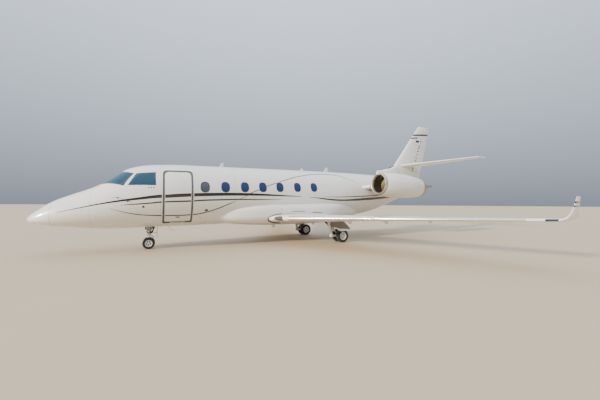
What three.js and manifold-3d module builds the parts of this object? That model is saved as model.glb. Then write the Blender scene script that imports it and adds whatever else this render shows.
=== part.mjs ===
// Business jet parked on its landing gear. Lengths are in millimetres.
// +X points aft, +Y to the aircraft's right side and +Z up. The origin is on the ground, at mid length.

import * as THREE from 'three';
import { mergeVertices } from 'three/addons/utils/BufferGeometryUtils.js';
import Module from 'manifold-3d';

const wasm = await Module();
wasm.setup();

// Driving dimensions of the whole aircraft
const LENGTH = 18970;
const HALF_SPAN = 8850;
const FIN_HEIGHT = 6530;
const WHEELBASE = 7405;
const HALF_TRACK = 1650;
const CABIN_RADIUS = 1172;
const WALL = 80;
const SEAM = 0.3;
const NOSE_DOWN_SLOPE = 0.02;
const MOVING_GAP = 8;

// A station is a distance behind the nose tip, and this turns it into x.
const at = (station) => station - LENGTH / 2;

// A distance measured aft along the level floor line also climbs a little, because the jet sits nose down.
const climb = (station, reference) => NOSE_DOWN_SLOPE * (station - reference);

// Finishes
const finish = (color, roughness, metalness = 0) =>
  new THREE.MeshStandardMaterial({ color, roughness, metalness });
const paintWhite = () => finish('#ecebe6', 0.25);
const paintGrey = () => finish('#9a9da0', 0.35);
const polishedMetal = () => finish('#d5d6d8', 0.15, 1);
const bareMetal = () => finish('#8d8f92', 0.4, 1);
const darkGlass = () => finish('#23434c', 0.08);
const rubber = () => finish('#17181a', 0.8);
const panelPlastic = () => finish('#2c2e31', 0.6);
const leather = () => finish('#cbb892', 0.55);
const carpet = () => finish('#9b8c74', 0.9);

// Solids: three.js geometry goes in, and manifold does the cutting and joining
function solid(geometry) {
  const bare = geometry.clone();
  bare.deleteAttribute('normal');
  bare.deleteAttribute('uv');
  const merged = mergeVertices(bare, 0.001);
  const mesh = new wasm.Mesh({
    numProp: 3,
    vertProperties: new Float32Array(merged.attributes.position.array),
    triVerts: new Uint32Array(merged.index.array),
  });
  mesh.merge();
  const result = new wasm.Manifold(mesh);
  if (result.volume() >= 0) return result;
  const flipped = Uint32Array.from(merged.index.array);
  for (let k = 0; k < flipped.length; k += 3) {
    const keep = flipped[k];
    flipped[k] = flipped[k + 1];
    flipped[k + 1] = keep;
  }
  const turned = new wasm.Mesh({
    numProp: 3,
    vertProperties: new Float32Array(merged.attributes.position.array),
    triVerts: flipped,
  });
  turned.merge();
  return new wasm.Manifold(turned);
}

function geometryOf(body) {
  const mesh = body.getMesh();
  const geometry = new THREE.BufferGeometry();
  geometry.setAttribute('position', new THREE.BufferAttribute(new Float32Array(mesh.vertProperties), 3));
  geometry.setIndex(new THREE.BufferAttribute(new Uint32Array(mesh.triVerts), 1));
  return geometry;
}

const joined = (pieces) => pieces.reduce((whole, piece) => whole.add(piece));

function block(x0, x1, y0, y1, z0, z1) {
  const geometry = new THREE.BoxGeometry(x1 - x0, y1 - y0, z1 - z0);
  geometry.translate((x0 + x1) / 2, (y0 + y1) / 2, (z0 + z1) / 2);
  return solid(geometry);
}

// A round bar or cone from one point to another
const BAR_SIDES = 12;

function bar(from, to, radiusFrom, radiusTo = radiusFrom, sides = BAR_SIDES) {
  const start = new THREE.Vector3(...from);
  const end = new THREE.Vector3(...to);
  const along = end.clone().sub(start);
  const geometry = new THREE.CylinderGeometry(radiusTo, radiusFrom, along.length(), sides);
  const turn = new THREE.Quaternion().setFromUnitVectors(new THREE.Vector3(0, 1, 0), along.normalize());
  geometry.applyQuaternion(turn);
  geometry.translate((start.x + end.x) / 2, (start.y + end.y) / 2, (start.z + end.z) / 2);
  return solid(geometry);
}

// The bore that leaves a seam's gap round a shaft with the same number of flat sides
const boreRadius = (shaftRadius) => (shaftRadius + SEAM) / Math.cos(Math.PI / BAR_SIDES);

// A closed body through rings with equal numbers of points, with flat ends
function loft(rings) {
  const count = rings[0].length;
  const positions = rings.flat(2);
  const index = [];
  for (let r = 0; r + 1 < rings.length; r += 1) {
    for (let k = 0; k < count; k += 1) {
      const a = r * count + k;
      const b = r * count + ((k + 1) % count);
      const halfway = k >= count / 2; // the diagonals mirror each other, so that left and right are alike
      if (halfway) index.push(a, b, b + count, a, b + count, a + count);
      else index.push(a, b, a + count, b, b + count, a + count);
    }
  }
  const lastStart = (rings.length - 1) * count;
  for (const [ring, start, forward] of [[rings[0], 0, false], [rings[rings.length - 1], lastStart, true]]) {
    for (const [a, b, c] of THREE.ShapeUtils.triangulateShape(flatOutline(ring), [])) {
      index.push(start + a, start + (forward ? b : c), start + (forward ? c : b));
    }
  }
  const geometry = new THREE.BufferGeometry();
  geometry.setAttribute('position', new THREE.Float32BufferAttribute(positions, 3));
  geometry.setIndex(index);
  return solid(geometry);
}

// A ring's outline in its own plane, turning anticlockwise
function flatOutline(ring) {
  const normal = new THREE.Vector3();
  ring.forEach((point, k) => {
    const next = ring[(k + 1) % ring.length];
    normal.add(new THREE.Vector3(...point).cross(new THREE.Vector3(...next)));
  });
  normal.normalize();
  const turn = new THREE.Quaternion().setFromUnitVectors(normal, new THREE.Vector3(0, 0, 1));
  return ring.map((point) => {
    const turned = new THREE.Vector3(...point).applyQuaternion(turn);
    return new THREE.Vector2(turned.x, turned.y);
  });
}

// A prism with the outline [[a, b], ...] in the plane across one axis, from low to high along that axis
function prism(outline, axis, low, high) {
  const shape = new THREE.Shape(outline.map(([a, b]) => new THREE.Vector2(a, b)));
  const geometry = new THREE.ExtrudeGeometry(shape, { depth: high - low, bevelEnabled: false });
  geometry.translate(0, 0, low);
  if (axis === 'y') geometry.applyMatrix4(new THREE.Matrix4().makeBasis(
    new THREE.Vector3(1, 0, 0), new THREE.Vector3(0, 0, 1), new THREE.Vector3(0, 1, 0)));
  if (axis === 'x') geometry.applyMatrix4(new THREE.Matrix4().makeBasis(
    new THREE.Vector3(0, 1, 0), new THREE.Vector3(0, 0, 1), new THREE.Vector3(1, 0, 0)));
  return solid(geometry);
}

// An outline with its corners rounded off, all by one radius or each by its own
function roundedOutline(corners, radii) {
  const outline = [];
  const steps = 3;
  corners.forEach((corner, k) => {
    const radius = Array.isArray(radii) ? radii[k] : radii;
    const here = new THREE.Vector2(...corner);
    const before = new THREE.Vector2(...corners[(k + corners.length - 1) % corners.length]).sub(here);
    const after = new THREE.Vector2(...corners[(k + 1) % corners.length]).sub(here);
    const reach = Math.min(radius, before.length() / 2.2, after.length() / 2.2);
    const from = here.clone().add(before.setLength(reach));
    const to = here.clone().add(after.setLength(reach));
    const curve = new THREE.QuadraticBezierCurve(from, here, to);
    curve.getPoints(steps).forEach((point) => outline.push([point.x, point.y]));
  });
  return outline;
}

// An oval outline, squarer than an ellipse
function oval(centreA, centreB, halfA, halfB, power = 2.5, sides = 12) {
  return Array.from({ length: sides }, (_, k) => {
    const angle = (2 * Math.PI * k) / sides;
    const c = Math.cos(angle);
    const s = Math.sin(angle);
    return [
      centreA + halfA * Math.sign(c) * Math.abs(c) ** (2 / power),
      centreB + halfB * Math.sign(s) * Math.abs(s) ** (2 / power),
    ];
  });
}

// A body turned round the X direction: profile rows are [distance, radius], from a start point
function turned(profile, origin, direction, sides = 28) {
  const points = profile.map(([distance, radius]) => new THREE.Vector2(radius, distance));
  if (profile[0][1] > 0) points.push(points[0].clone());
  const geometry = new THREE.LatheGeometry(points, sides);
  const way = new THREE.Vector3(...direction).normalize();
  geometry.applyQuaternion(new THREE.Quaternion().setFromUnitVectors(new THREE.Vector3(0, 1, 0), way));
  geometry.translate(...origin);
  return solid(geometry);
}

const mirrored = (body) => body.mirror([0, 1, 0]);

// The jet's pieces are collected here, each with its name and finish
const jet = new THREE.Group();
jet.name = 'business_jet';

function place(name, body, material) {
  const mesh = new THREE.Mesh(geometryOf(body), material);
  mesh.name = name;
  jet.add(mesh);
}

// A piece and its mirror image. The body that comes in is the right-hand one.
function placePair(name, body, material) {
  place(`${name}_right`, body, material());
  place(`${name}_left`, mirrored(body), material());
}

// Fuselage sections, in mm: station, half width, top, height of the widest point, bottom
const FUSELAGE = [
  [0, 35, 1165, 1133, 1100],
  [90, 165, 1286, 1140, 1030],
  [275, 300, 1448, 1160, 980],
  [640, 480, 1720, 1215, 912],
  [1100, 645, 1940, 1300, 855],
  [1700, 815, 2208, 1440, 800],
  [1900, 865, 2327, 1490, 786],
  [2410, 970, 2710, 1610, 770],
  [2620, 1005, 2857, 1660, 772],
  [2930, 1055, 2978, 1750, 776],
  [3250, 1095, 3050, 1840, 782],
  [3700, 1142, 3100, 1925, 788],
  [4290, CABIN_RADIUS, 3138, 1966, 794],
  [5460, CABIN_RADIUS, 3162, 1990, 818],
  [11200, CABIN_RADIUS, 3267, 2100, 930],
  [11800, 1158, 3272, 2112, 962],
  [12600, 1110, 3274, 2165, 1085],
  [13920, 980, 3264, 2290, 1330],
  [15240, 790, 3215, 2490, 1789],
  [16400, 580, 3160, 2650, 2165],
  [17420, 385, 3100, 2780, 2452],
  [18150, 250, 3016, 2830, 2655],
  [18750, 150, 2965, 2838, 2715],
  [18970, 105, 2915, 2812, 2745],
];
const SKIN_SIDES = 26;

// One elliptical ring, offset inwards by inset
function bodyRing([station, halfWidth, top, middle, bottom], inset) {
  return Array.from({ length: SKIN_SIDES }, (_, k) => {
    const angle = (2 * Math.PI * k) / SKIN_SIDES;
    const up = Math.cos(angle);
    const rise = up > 0 ? top - middle - inset : middle - bottom - inset;
    return [at(station), (halfWidth - inset) * Math.sin(angle), middle + rise * up];
  });
}

// A section between two rows of the table
function sectionAt(station) {
  const next = FUSELAGE.findIndex((row) => row[0] >= station);
  if (FUSELAGE[next][0] === station || next === 0) return FUSELAGE[next];
  const low = FUSELAGE[next - 1];
  const high = FUSELAGE[next];
  const share = (station - low[0]) / (high[0] - low[0]);
  return low.map((value, k) => value + share * (high[k] - value));
}

function bodyBetween(from, to, inset) {
  const inner = FUSELAGE.filter(([station]) => station > from && station < to);
  return loft([sectionAt(from), ...inner, sectionAt(to)].map((row) => bodyRing(row, inset)));
}

const NOSE_SEAM = 640;
const COCKPIT_SEAM = 1700;
const DOOR_FRAME_SEAM = 3700;
const MID_CABIN_SEAM = 6240;
const AFT_BULKHEAD = 11500;
const CONE_SEAM = 17420;
const skin = bodyBetween(0, LENGTH, 0);
const skinWithGap = bodyBetween(0, LENGTH, -SEAM);
const cabinSpace = bodyBetween(COCKPIT_SEAM - 1, CONE_SEAM - 260, WALL);
const cabinSpaceWithGap = bodyBetween(COCKPIT_SEAM - 1, CONE_SEAM - 261, WALL + SEAM);

const slab = (from, to) => block(at(from) + SEAM / 2, at(to) - SEAM / 2, -3000, 3000, -100, 8000);
const skinPanel = (from, to) => skin.intersect(slab(from, to)).subtract(cabinSpace);

// Windscreen panes and side panes, by the corners of the right-hand ones: station, y, height
const FRONT_PANE = [[1800, 32, 2262], [2560, 822, 2262], [2872, 690, 2668], [2520, 300, 2732], [2455, 32, 2748]];
const SIDE_PANE = [[2748, 950, 2278], [3005, 755, 2655], [3530, 800, 2735], [3552, 1070, 2278]];
const PANE_THICKNESS = 24;

// A prism across a slanted opening, standing square on the plane through its corners
function paneCutter(corners, shrink, corner) {
  const points = corners.map(([station, y, z]) => new THREE.Vector3(at(station), y, z));
  const centre = points.reduce((sum, p) => sum.add(p), new THREE.Vector3()).divideScalar(points.length);
  const normal = new THREE.Vector3();
  points.forEach((p, k) => {
    const next = points[(k + 1) % points.length];
    normal.add(p.clone().sub(centre).cross(next.clone().sub(centre)));
  });
  normal.normalize();
  const across = new THREE.Vector3(1, 0, 0).projectOnPlane(normal).normalize();
  const up = normal.clone().cross(across);
  const flat = points.map((p) => {
    const arm = p.clone().sub(centre);
    const length = arm.length();
    arm.setLength(length - shrink * 1.3);
    return [arm.dot(across), arm.dot(up)];
  });
  const outline = roundedOutline(flat, corner);
  const shape = new THREE.Shape(outline.map(([a, b]) => new THREE.Vector2(a, b)));
  const geometry = new THREE.ExtrudeGeometry(shape, { depth: 520, bevelEnabled: false });
  geometry.translate(0, 0, -260);
  geometry.applyMatrix4(new THREE.Matrix4().makeBasis(across, up, normal));
  geometry.translate(centre.x, centre.y, centre.z);
  return solid(geometry);
}

const paneShell = skin.subtract(bodyBetween(COCKPIT_SEAM - 1, DOOR_FRAME_SEAM + 1, PANE_THICKNESS));
const frontHole = paneCutter(FRONT_PANE, 0, 60);
const sideHole = paneCutter(SIDE_PANE, 0, 70);
const inPanes = block(at(COCKPIT_SEAM), at(DOOR_FRAME_SEAM), 0, 2000, 2000, 3400);
const frontPane = paneShell.intersect(paneCutter(FRONT_PANE, SEAM, 60)).intersect(inPanes);
const sidePane = paneShell.intersect(paneCutter(SIDE_PANE, SEAM, 70)).intersect(inPanes);

// Entrance door on the left side: a curved panel hinged at its sill, with steps inside
const DOOR_FROM = 3790;
const DOOR_TO = 4705;
const DOOR_SILL = 985;
const DOOR_TOP = 2810;
const DOOR_TOP_CORNER = 150;
const DOOR_SILL_CORNER = 40;
const DOOR_OPENING_DEG = 106;
const DOOR_CENTRE = (DOOR_FROM + DOOR_TO) / 2;

function doorway(shrink) {
  const sheared = (station, height) => [at(station), height + climb(station, DOOR_CENTRE)];
  const corners = [
    sheared(DOOR_FROM + shrink, DOOR_SILL + shrink),
    sheared(DOOR_TO - shrink, DOOR_SILL + shrink),
    sheared(DOOR_TO - shrink, DOOR_TOP - shrink),
    sheared(DOOR_FROM + shrink, DOOR_TOP - shrink),
  ];
  const radii = [DOOR_SILL_CORNER, DOOR_SILL_CORNER, DOOR_TOP_CORNER, DOOR_TOP_CORNER];
  return prism(roundedOutline(corners, radii), 'y', -1500, -330);
}

// The hinge line runs along the sill, just outside the skin
const doorSection = sectionAt(DOOR_CENTRE);
const sillDrop = (doorSection[3] - DOOR_SILL) / (doorSection[3] - doorSection[4]);
const HINGE_Y = -(doorSection[1] * Math.sqrt(1 - sillDrop ** 2) + 6);
const HINGE_Z = DOOR_SILL;
const hingePoint = (station) => [at(station), HINGE_Y, HINGE_Z + climb(station, DOOR_CENTRE)];

// Hinge knuckles along the sill: every second one is the door's
const KNUCKLE_RADIUS = 13;
const KNUCKLE_ENDS = [4000, 4100, 4200, 4300, 4400, 4500];
const WEB_WIDTH = 45;
const WEB_HEIGHT = 20;

function knuckles(onDoor, radius, end, withWeb) {
  const pieces = [];
  for (let k = onDoor ? 1 : 0; k + 1 < KNUCKLE_ENDS.length; k += 2) {
    const [from, to] = [KNUCKLE_ENDS[k] + end, KNUCKLE_ENDS[k + 1] - end];
    pieces.push(bar(hingePoint(from), hingePoint(to), radius, radius, 8));
    const low = hingePoint((from + to) / 2)[2] + (onDoor ? 5 : -5 - WEB_HEIGHT);
    const web = block(at(from) + 3, at(to) - 3, HINGE_Y, HINGE_Y + WEB_WIDTH, low, low + WEB_HEIGHT);
    if (withWeb) pieces.push(web);
  }
  return joined(pieces);
}

// Steps are drawn where they lie with the door open, then folded up with it
function doorSteps() {
  const width = 560;
  const from = at(DOOR_CENTRE) - width / 2;
  const to = at(DOOR_CENTRE) + width / 2;
  const stepRows = [[-760, 760], [-1010, 600], [-1290, 455], [-1590, 345]]; // y of the step's inner edge, height
  const stepDepth = 250;
  const treads = stepRows.map(([y, z]) => block(from, to, y - stepDepth, y, z, z + 30));
  const cheek = [[-720, 790], [-1000, 640], [-1300, 500], [-1620, 385], [-1900, 340], [-1860, 200], [-1500, 205],
    [-1150, 360], [-900, 560]];
  const cheeks = [from - 30, to].map((x) => prism(cheek, 'x', x, x + 30));
  const steps = joined([...treads, ...cheeks]);
  return turnAbout(steps, hingePoint(DOOR_CENTRE), [1, 0, NOSE_DOWN_SLOPE], -DOOR_OPENING_DEG);
}

function turnAbout(body, pivot, axis, degrees) {
  const turn = new THREE.Matrix4().makeTranslation(...pivot);
  turn.multiply(new THREE.Matrix4().makeRotationAxis(new THREE.Vector3(...axis).normalize(), degrees * Math.PI / 180));
  turn.multiply(new THREE.Matrix4().makeTranslation(-pivot[0], -pivot[1], -pivot[2]));
  return body.transform(turn.elements);
}

const doorPanel = skin.intersect(doorway(MOVING_GAP)).subtract(bodyBetween(3600, 4900, WALL));
const stepsInside = doorSteps().intersect(bodyBetween(3600, 4900, WALL - 20));
const doorBody = doorPanel.subtract(knuckles(false, KNUCKLE_RADIUS + 5, -5, false));
place('airstair_door', joined([doorBody, stepsInside, knuckles(true, KNUCKLE_RADIUS, SEAM / 2, true)]), paintWhite());

// Cabin windows: station of each centre, alike on both sides
const WINDOW_STATIONS = [5137, 5868, 6611, 7343, 8087, 8898, 9714];
const WINDOW_HALF_WIDTH = 155;
const WINDOW_HALF_HEIGHT = 192;
const windowHeight = (station) => 2259 + 0.029 * (station - WINDOW_STATIONS[0]);

function windowPrisms(shrink, inner, outer) {
  return joined(WINDOW_STATIONS.map((station) => prism(
    oval(at(station), windowHeight(station), WINDOW_HALF_WIDTH - shrink, WINDOW_HALF_HEIGHT - shrink),
    'y', inner, outer)));
}

const rightWindows = windowPrisms(0, 850, 1400);
const windowHoles = rightWindows.add(mirrored(rightWindows));

// Nose gear bay, cut through the belly under the cockpit floor
const NOSE_AXLE = 3335;
const NOSE_BAY = block(at(NOSE_AXLE) - 150, at(NOSE_AXLE) + 260, -170, 170, 600, 1040);

// Fuselage skins
const paneHoles = joined([frontHole, sideHole, mirrored(frontHole), mirrored(sideHole)]);
place('radome', skin.intersect(slab(0, NOSE_SEAM)), paintWhite());
place('nose_section', skin.intersect(slab(NOSE_SEAM, COCKPIT_SEAM)), paintWhite());
place('cockpit_shell', skinPanel(COCKPIT_SEAM, DOOR_FRAME_SEAM).subtract(paneHoles).subtract(NOSE_BAY), paintWhite());
const forwardShell = skinPanel(DOOR_FRAME_SEAM, MID_CABIN_SEAM).subtract(doorway(0)).subtract(windowHoles)
  .subtract(knuckles(true, KNUCKLE_RADIUS + 5, -5, false));
place('forward_cabin_shell', forwardShell.add(knuckles(false, KNUCKLE_RADIUS, SEAM / 2, true)), paintWhite());
place('centre_cabin_shell', skinPanel(MID_CABIN_SEAM, AFT_BULKHEAD).subtract(windowHoles), paintWhite());
place('aft_fuselage', skinPanel(AFT_BULKHEAD, CONE_SEAM), paintWhite());

// Tail cone with the auxiliary power unit's exhaust hollow at its end
const EXHAUST_DEPTH = 160;
const exhaust = bar([at(LENGTH) - EXHAUST_DEPTH, 0, 2830], [at(LENGTH) + 10, 0, 2830], 60, 66, 14);
place('tail_cone', skin.intersect(slab(CONE_SEAM, LENGTH + 1)).subtract(exhaust), paintGrey());

placePair('windscreen', frontPane, darkGlass);
placePair('cockpit_side_window', sidePane, darkGlass);

// Cabin panes, joined by the clear strip behind the wall's lining
const STRIP_FROM = WINDOW_STATIONS[0] - 240;
const STRIP_TO = WINDOW_STATIONS[6] + 240;
const stripShell = bodyBetween(STRIP_FROM, STRIP_TO, WALL + SEAM).subtract(bodyBetween(STRIP_FROM, STRIP_TO, WALL + 10));
const stripOutline = [
  [at(STRIP_FROM) + 1, windowHeight(STRIP_FROM) - 230],
  [at(STRIP_TO) - 1, windowHeight(STRIP_TO) - 230],
  [at(STRIP_TO) - 1, windowHeight(STRIP_TO) + 230],
  [at(STRIP_FROM) + 1, windowHeight(STRIP_FROM) + 230],
];
const strip = stripShell.intersect(prism(stripOutline, 'y', 700, 1300));
const plugs = windowPrisms(SEAM, 850, 1400).intersect(bodyBetween(STRIP_FROM, STRIP_TO, 5))
  .subtract(bodyBetween(STRIP_FROM - 1, STRIP_TO + 1, WALL + 9));
placePair('cabin_window_strip', strip.add(plugs), darkGlass);

// Cabin floor, cut to the wall, with the door's steps left clear
const FLOOR_HEIGHT = 1145;
const FLOOR_FROM = 1960;
const FLOOR_TO = 11420;
const FLOOR_THICKNESS = 40;
const floorZ = (station) => FLOOR_HEIGHT + climb(station, DOOR_CENTRE);
const floorSide = [
  [at(FLOOR_FROM), floorZ(FLOOR_FROM) - FLOOR_THICKNESS],
  [at(FLOOR_TO), floorZ(FLOOR_TO) - FLOOR_THICKNESS],
  [at(FLOOR_TO), floorZ(FLOOR_TO)],
  [at(FLOOR_FROM), floorZ(FLOOR_FROM)],
];
const stepWell = block(at(DOOR_FROM) - 20, at(DOOR_TO) + 20, -1300, -420, 900, 1400);
const floorPlate = prism(floorSide, 'y', -1200, 1200).intersect(cabinSpaceWithGap).subtract(stepWell);
place('cabin_floor', floorPlate, carpet());

// Instrument panel with its glareshield and the two control columns
const PANEL_STATION = 2300;
function instrumentPanel() {
  const side = [
    [at(PANEL_STATION) - 130, 1500],
    [at(PANEL_STATION), 1500],
    [at(PANEL_STATION) + 60, 2080],
    [at(PANEL_STATION) + 120, 2100],
    [at(PANEL_STATION) + 110, 2140],
    [at(PANEL_STATION) - 330, 2150],
    [at(PANEL_STATION) - 330, 2080],
    [at(PANEL_STATION) - 130, 2050],
  ];
  const board = prism(side, 'y', -1000, 1000);
  const pedestal = block(at(PANEL_STATION) - 60, at(PANEL_STATION) + 640, -120, 120, floorZ(2300) + 16, 1640);
  const columns = [-450, 450].map((y) => {
    const foot = [at(PANEL_STATION) - 10, y, 1700];
    const top = [at(PANEL_STATION) + 200, y, 1790];
    const grip = block(at(PANEL_STATION) + 185, at(PANEL_STATION) + 215, y - 140, y + 140, 1775, 1815);
    return bar(foot, top, 22, 22, 12).add(grip);
  });
  return joined([board, pedestal, ...columns]).intersect(cabinSpaceWithGap);
}
place('instrument_panel', instrumentPanel(), panelPlastic());

// A seat facing forward: floor z, centre station, y, and sizes of cushion and back
function seat(station, y, width, facing, backHeight) {
  const floor = floorZ(station);
  const x = at(station);
  const seatTop = floor + 430;
  const piece = (from, to, y0, y1, z0, z1) =>
    block(Math.min(x + facing * from, x + facing * to), Math.max(x + facing * from, x + facing * to), y0, y1, z0, z1);
  const half = width / 2;
  return joined([
    piece(-230, 250, y - half, y + half, seatTop - 130, seatTop),
    piece(-180, 200, y - half * 0.5, y + half * 0.5, floor + 20, seatTop - 129),
    piece(180, 300, y - half, y + half, seatTop - 60, seatTop + backHeight),
    piece(190, 285, y - half * 0.6, y + half * 0.6, seatTop + backHeight - 1, seatTop + backHeight + 170),
    piece(-160, 240, y - half - 60, y - half + 1, seatTop - 90, seatTop + 190),
    piece(-160, 240, y + half - 1, y + half + 60, seatTop - 90, seatTop + 190),
  ]);
}

// Two rails under a row of seats, lying on the floor
function seatRails(from, to, ys) {
  const rails = ys.map((y) => {
    const side = [
      [at(from), floorZ(from) + SEAM],
      [at(to), floorZ(to) + SEAM],
      [at(to), floorZ(to) + 24],
      [at(from), floorZ(from) + 24],
    ];
    return prism(side, 'y', y - 30, y + 30);
  });
  return joined(rails);
}

const PILOT_Y = 450;
const PILOT_STATION = 2990;
const pilotSeat = seat(PILOT_STATION, PILOT_Y, 420, 1, 560)
  .add(seatRails(PILOT_STATION - 260, PILOT_STATION + 280, [PILOT_Y - 90, PILOT_Y + 90]));
placePair('pilot_seat', pilotSeat, leather);

// Cabin seats in facing pairs along each side: station and facing (1 looks forward)
const SEAT_Y = 560;
const CABIN_SEATS = [[5450, -1], [6500, 1], [8300, -1], [9350, 1]];
const seatRow = joined([
  ...CABIN_SEATS.map(([station, facing]) => seat(station, SEAT_Y, 480, facing, 520)),
  seatRails(5200, 9700, [SEAT_Y - 110, SEAT_Y + 90]),
]);
placePair('cabin_seats', seatRow.intersect(cabinSpaceWithGap), leather);

// Bulkheads: one behind the cockpit with a doorway, one closed at the cabin's rear
const FRONT_BULKHEAD = 3620;
const bulkheadSlab = (station, thickness) =>
  block(at(station), at(station) + thickness, -1300, 1300, 400, 3600).intersect(cabinSpaceWithGap);
const floorCut = prism([
  [at(3000), 500], [at(12000), 500], [at(12000), floorZ(12000) + SEAM], [at(3000), floorZ(3000) + SEAM]],
  'y', -1300, 1300);
const cockpitDoorway = block(at(FRONT_BULKHEAD) - 10, at(FRONT_BULKHEAD) + 60, -310, 310, 900, 2860);
place('cockpit_bulkhead', bulkheadSlab(FRONT_BULKHEAD, 40).subtract(floorCut).subtract(cockpitDoorway), leather());
place('rear_bulkhead', bulkheadSlab(FLOOR_TO + 20, 40), leather());

// Belly fairing round the wing's centre: station, half width, bottom, widest height, top inside the fuselage
const FAIRING = [
  [5620, 780, 930, 1250, 1500],
  [6000, 960, 860, 1250, 1600],
  [6500, 1110, 805, 1260, 1720],
  [7200, 1215, 760, 1270, 1800],
  [7870, 1250, 737, 1280, 1830],
  [9800, 1250, 745, 1300, 1900],
  [10700, 1215, 790, 1330, 1930],
  [11600, 1060, 905, 1400, 1900],
  [12300, 800, 1040, 1480, 1800],
  [12680, 560, 1150, 1500, 1700],
];
const FAIRING_POWER = 2.7;

function fairingRing([station, halfWidth, bottom, middle, top], grow) {
  return Array.from({ length: SKIN_SIDES }, (_, k) => {
    const angle = (2 * Math.PI * k) / SKIN_SIDES;
    const c = Math.cos(angle);
    const s = Math.sin(angle);
    const rise = (c > 0 ? top - middle : middle - bottom) + grow;
    return [
      at(station),
      (halfWidth + grow) * Math.sign(s) * Math.abs(s) ** (2 / FAIRING_POWER),
      middle + rise * Math.sign(c) * Math.abs(c) ** (2 / FAIRING_POWER),
    ];
  });
}

const fairingBody = loft(FAIRING.map((row) => fairingRing(row, 0)));
const fairingWithGap = loft(FAIRING.map((row) => fairingRing(row, SEAM)));
place('belly_fairing', fairingBody.subtract(skinWithGap), paintWhite());

// Aerofoil ring: leading edge point, chord, thickness share, rise of the trailing edge, and span direction
const FOIL_STEPS = 8;
function foilRing(leading, chord, thickness, rise, upright = false) {
  const half = (t) => 5 * thickness * (0.2969 * Math.sqrt(t) - 0.126 * t - 0.3516 * t ** 2
    + 0.2843 * t ** 3 - 0.1015 * t ** 4);
  const fractions = Array.from({ length: FOIL_STEPS + 1 }, (_, k) => (1 - Math.cos((Math.PI * k) / FOIL_STEPS)) / 2);
  const upper = fractions.slice().reverse().map((t) => [t, half(t)]);
  const lower = fractions.slice(1).map((t) => [t, -half(t)]);
  return [...upper, ...lower].map(([t, offset]) => {
    const along = t * chord;
    if (upright) return [leading[0] + along, leading[1] + offset * chord, leading[2] + t * rise];
    return [leading[0] + along, leading[1], leading[2] + offset * chord + t * rise];
  });
}

// Wing sections of the right-hand wing: y, leading edge station, leading edge height, chord, thickness, rise
const WING = [
  [900, 7348, 1062, 2990, 0.125, -25],
  [1150, 7517, 1069, 2890, 0.125, -22],
  [4400, 9710, 1176, 1750, 0.11, 16],
  [8400, 11792, 1284, 1012, 0.10, 28],
  [8660, 11925, 1296, 965, 0.095, 28],
];
const wingRings = WING.map(([y, station, z, chord, thickness, rise]) =>
  foilRing([at(station), y, z], chord, thickness, rise));
const wingBody = loft(wingRings);

// Straight line between two wing sections at one share of the chord
function wingPoint(y, share) {
  const next = WING.findIndex((row) => row[0] >= y);
  const low = WING[next - 1];
  const high = WING[next];
  const part = (y - low[0]) / (high[0] - low[0]);
  const row = low.map((value, k) => value + part * (high[k] - value));
  return [at(row[1]) + share * row[3], y, row[2] + share * row[5], row[3], row[4]];
}

// Plan outline of a movable piece: from its hinge line, square to it, for a reach aft (or forward if negative)
function planOutline(from, to, reach, grow, behind) {
  const line = new THREE.Vector2(to[0] - from[0], to[1] - from[1]).normalize();
  const square = new THREE.Vector2(line.y, -line.x);
  const start = new THREE.Vector2(from[0], from[1]).addScaledVector(line, -grow).addScaledVector(square, behind);
  const end = new THREE.Vector2(to[0], to[1]).addScaledVector(line, grow).addScaledVector(square, behind);
  const far = square.clone().multiplyScalar(reach);
  return [start, end, end.clone().add(far), start.clone().add(far)].map((p) => [p.x, p.y]);
}

const planPrism = (outline) => prism(outline, 'z', 0, 7000);

// A plate square to a hinge line, at a share of its length: outline points are [aft, up] from the line
function hingePlate(from, to, share, outline, low, high) {
  const start = new THREE.Vector3(...from);
  const end = new THREE.Vector3(...to);
  const along = end.clone().sub(start).normalize();
  const aft = along.clone().cross(new THREE.Vector3(0, 0, 1)).normalize();
  const up = aft.clone().cross(along);
  const shape = new THREE.Shape(outline.map(([a, b]) => new THREE.Vector2(a, b)));
  const geometry = new THREE.ExtrudeGeometry(shape, { depth: high - low, bevelEnabled: false });
  geometry.translate(0, 0, low);
  geometry.applyMatrix4(new THREE.Matrix4().makeBasis(aft, up, along));
  const foot = start.lerp(end, share);
  geometry.translate(foot.x, foot.y, foot.z);
  return solid(geometry);
}

const lowered = ([x, y, z], drop) => [x, y, z - drop];

// Flap: hinged below the wing, so it runs aft as it goes down
const FLAP_SHARE = 0.74;
const flapFrom = wingPoint(2450, FLAP_SHARE);
const flapTo = wingPoint(6050, FLAP_SHARE);
const flapBody = wingBody.intersect(planPrism(planOutline(flapFrom, flapTo, 1400, 0, MOVING_GAP)));
const FLAP_DROP = [230, 150];
const flapLine = [lowered(flapFrom, FLAP_DROP[0]), lowered(flapTo, FLAP_DROP[1])];
const BRACKET_SHARES = [0.12, 0.5, 0.88];
const flapArms = BRACKET_SHARES.map((share) => {
  const rise = FLAP_DROP[0] + share * (FLAP_DROP[1] - FLAP_DROP[0]);
  const outline = [[-22, -22], [22, -22], [190, rise - 36], [190, rise], [14, rise], [14, 60], [-22, 22]];
  return hingePlate(...flapLine, share, outline, 0, 18);
});
const flapBrackets = BRACKET_SHARES.map((share) => {
  const rise = FLAP_DROP[0] + share * (FLAP_DROP[1] - FLAP_DROP[0]);
  const outline = [[-22, -22], [22, -22], [26, 10], [0, 40], [-12, rise], [-420, rise], [-300, rise - 90], [-90, 0]];
  return hingePlate(...flapLine, share, outline, -40 - SEAM, -SEAM);
});
const flap = joined([flapBody, ...flapArms]);
const flapBay = planPrism(planOutline(flapFrom, flapTo, 1400, MOVING_GAP, 0));

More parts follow.
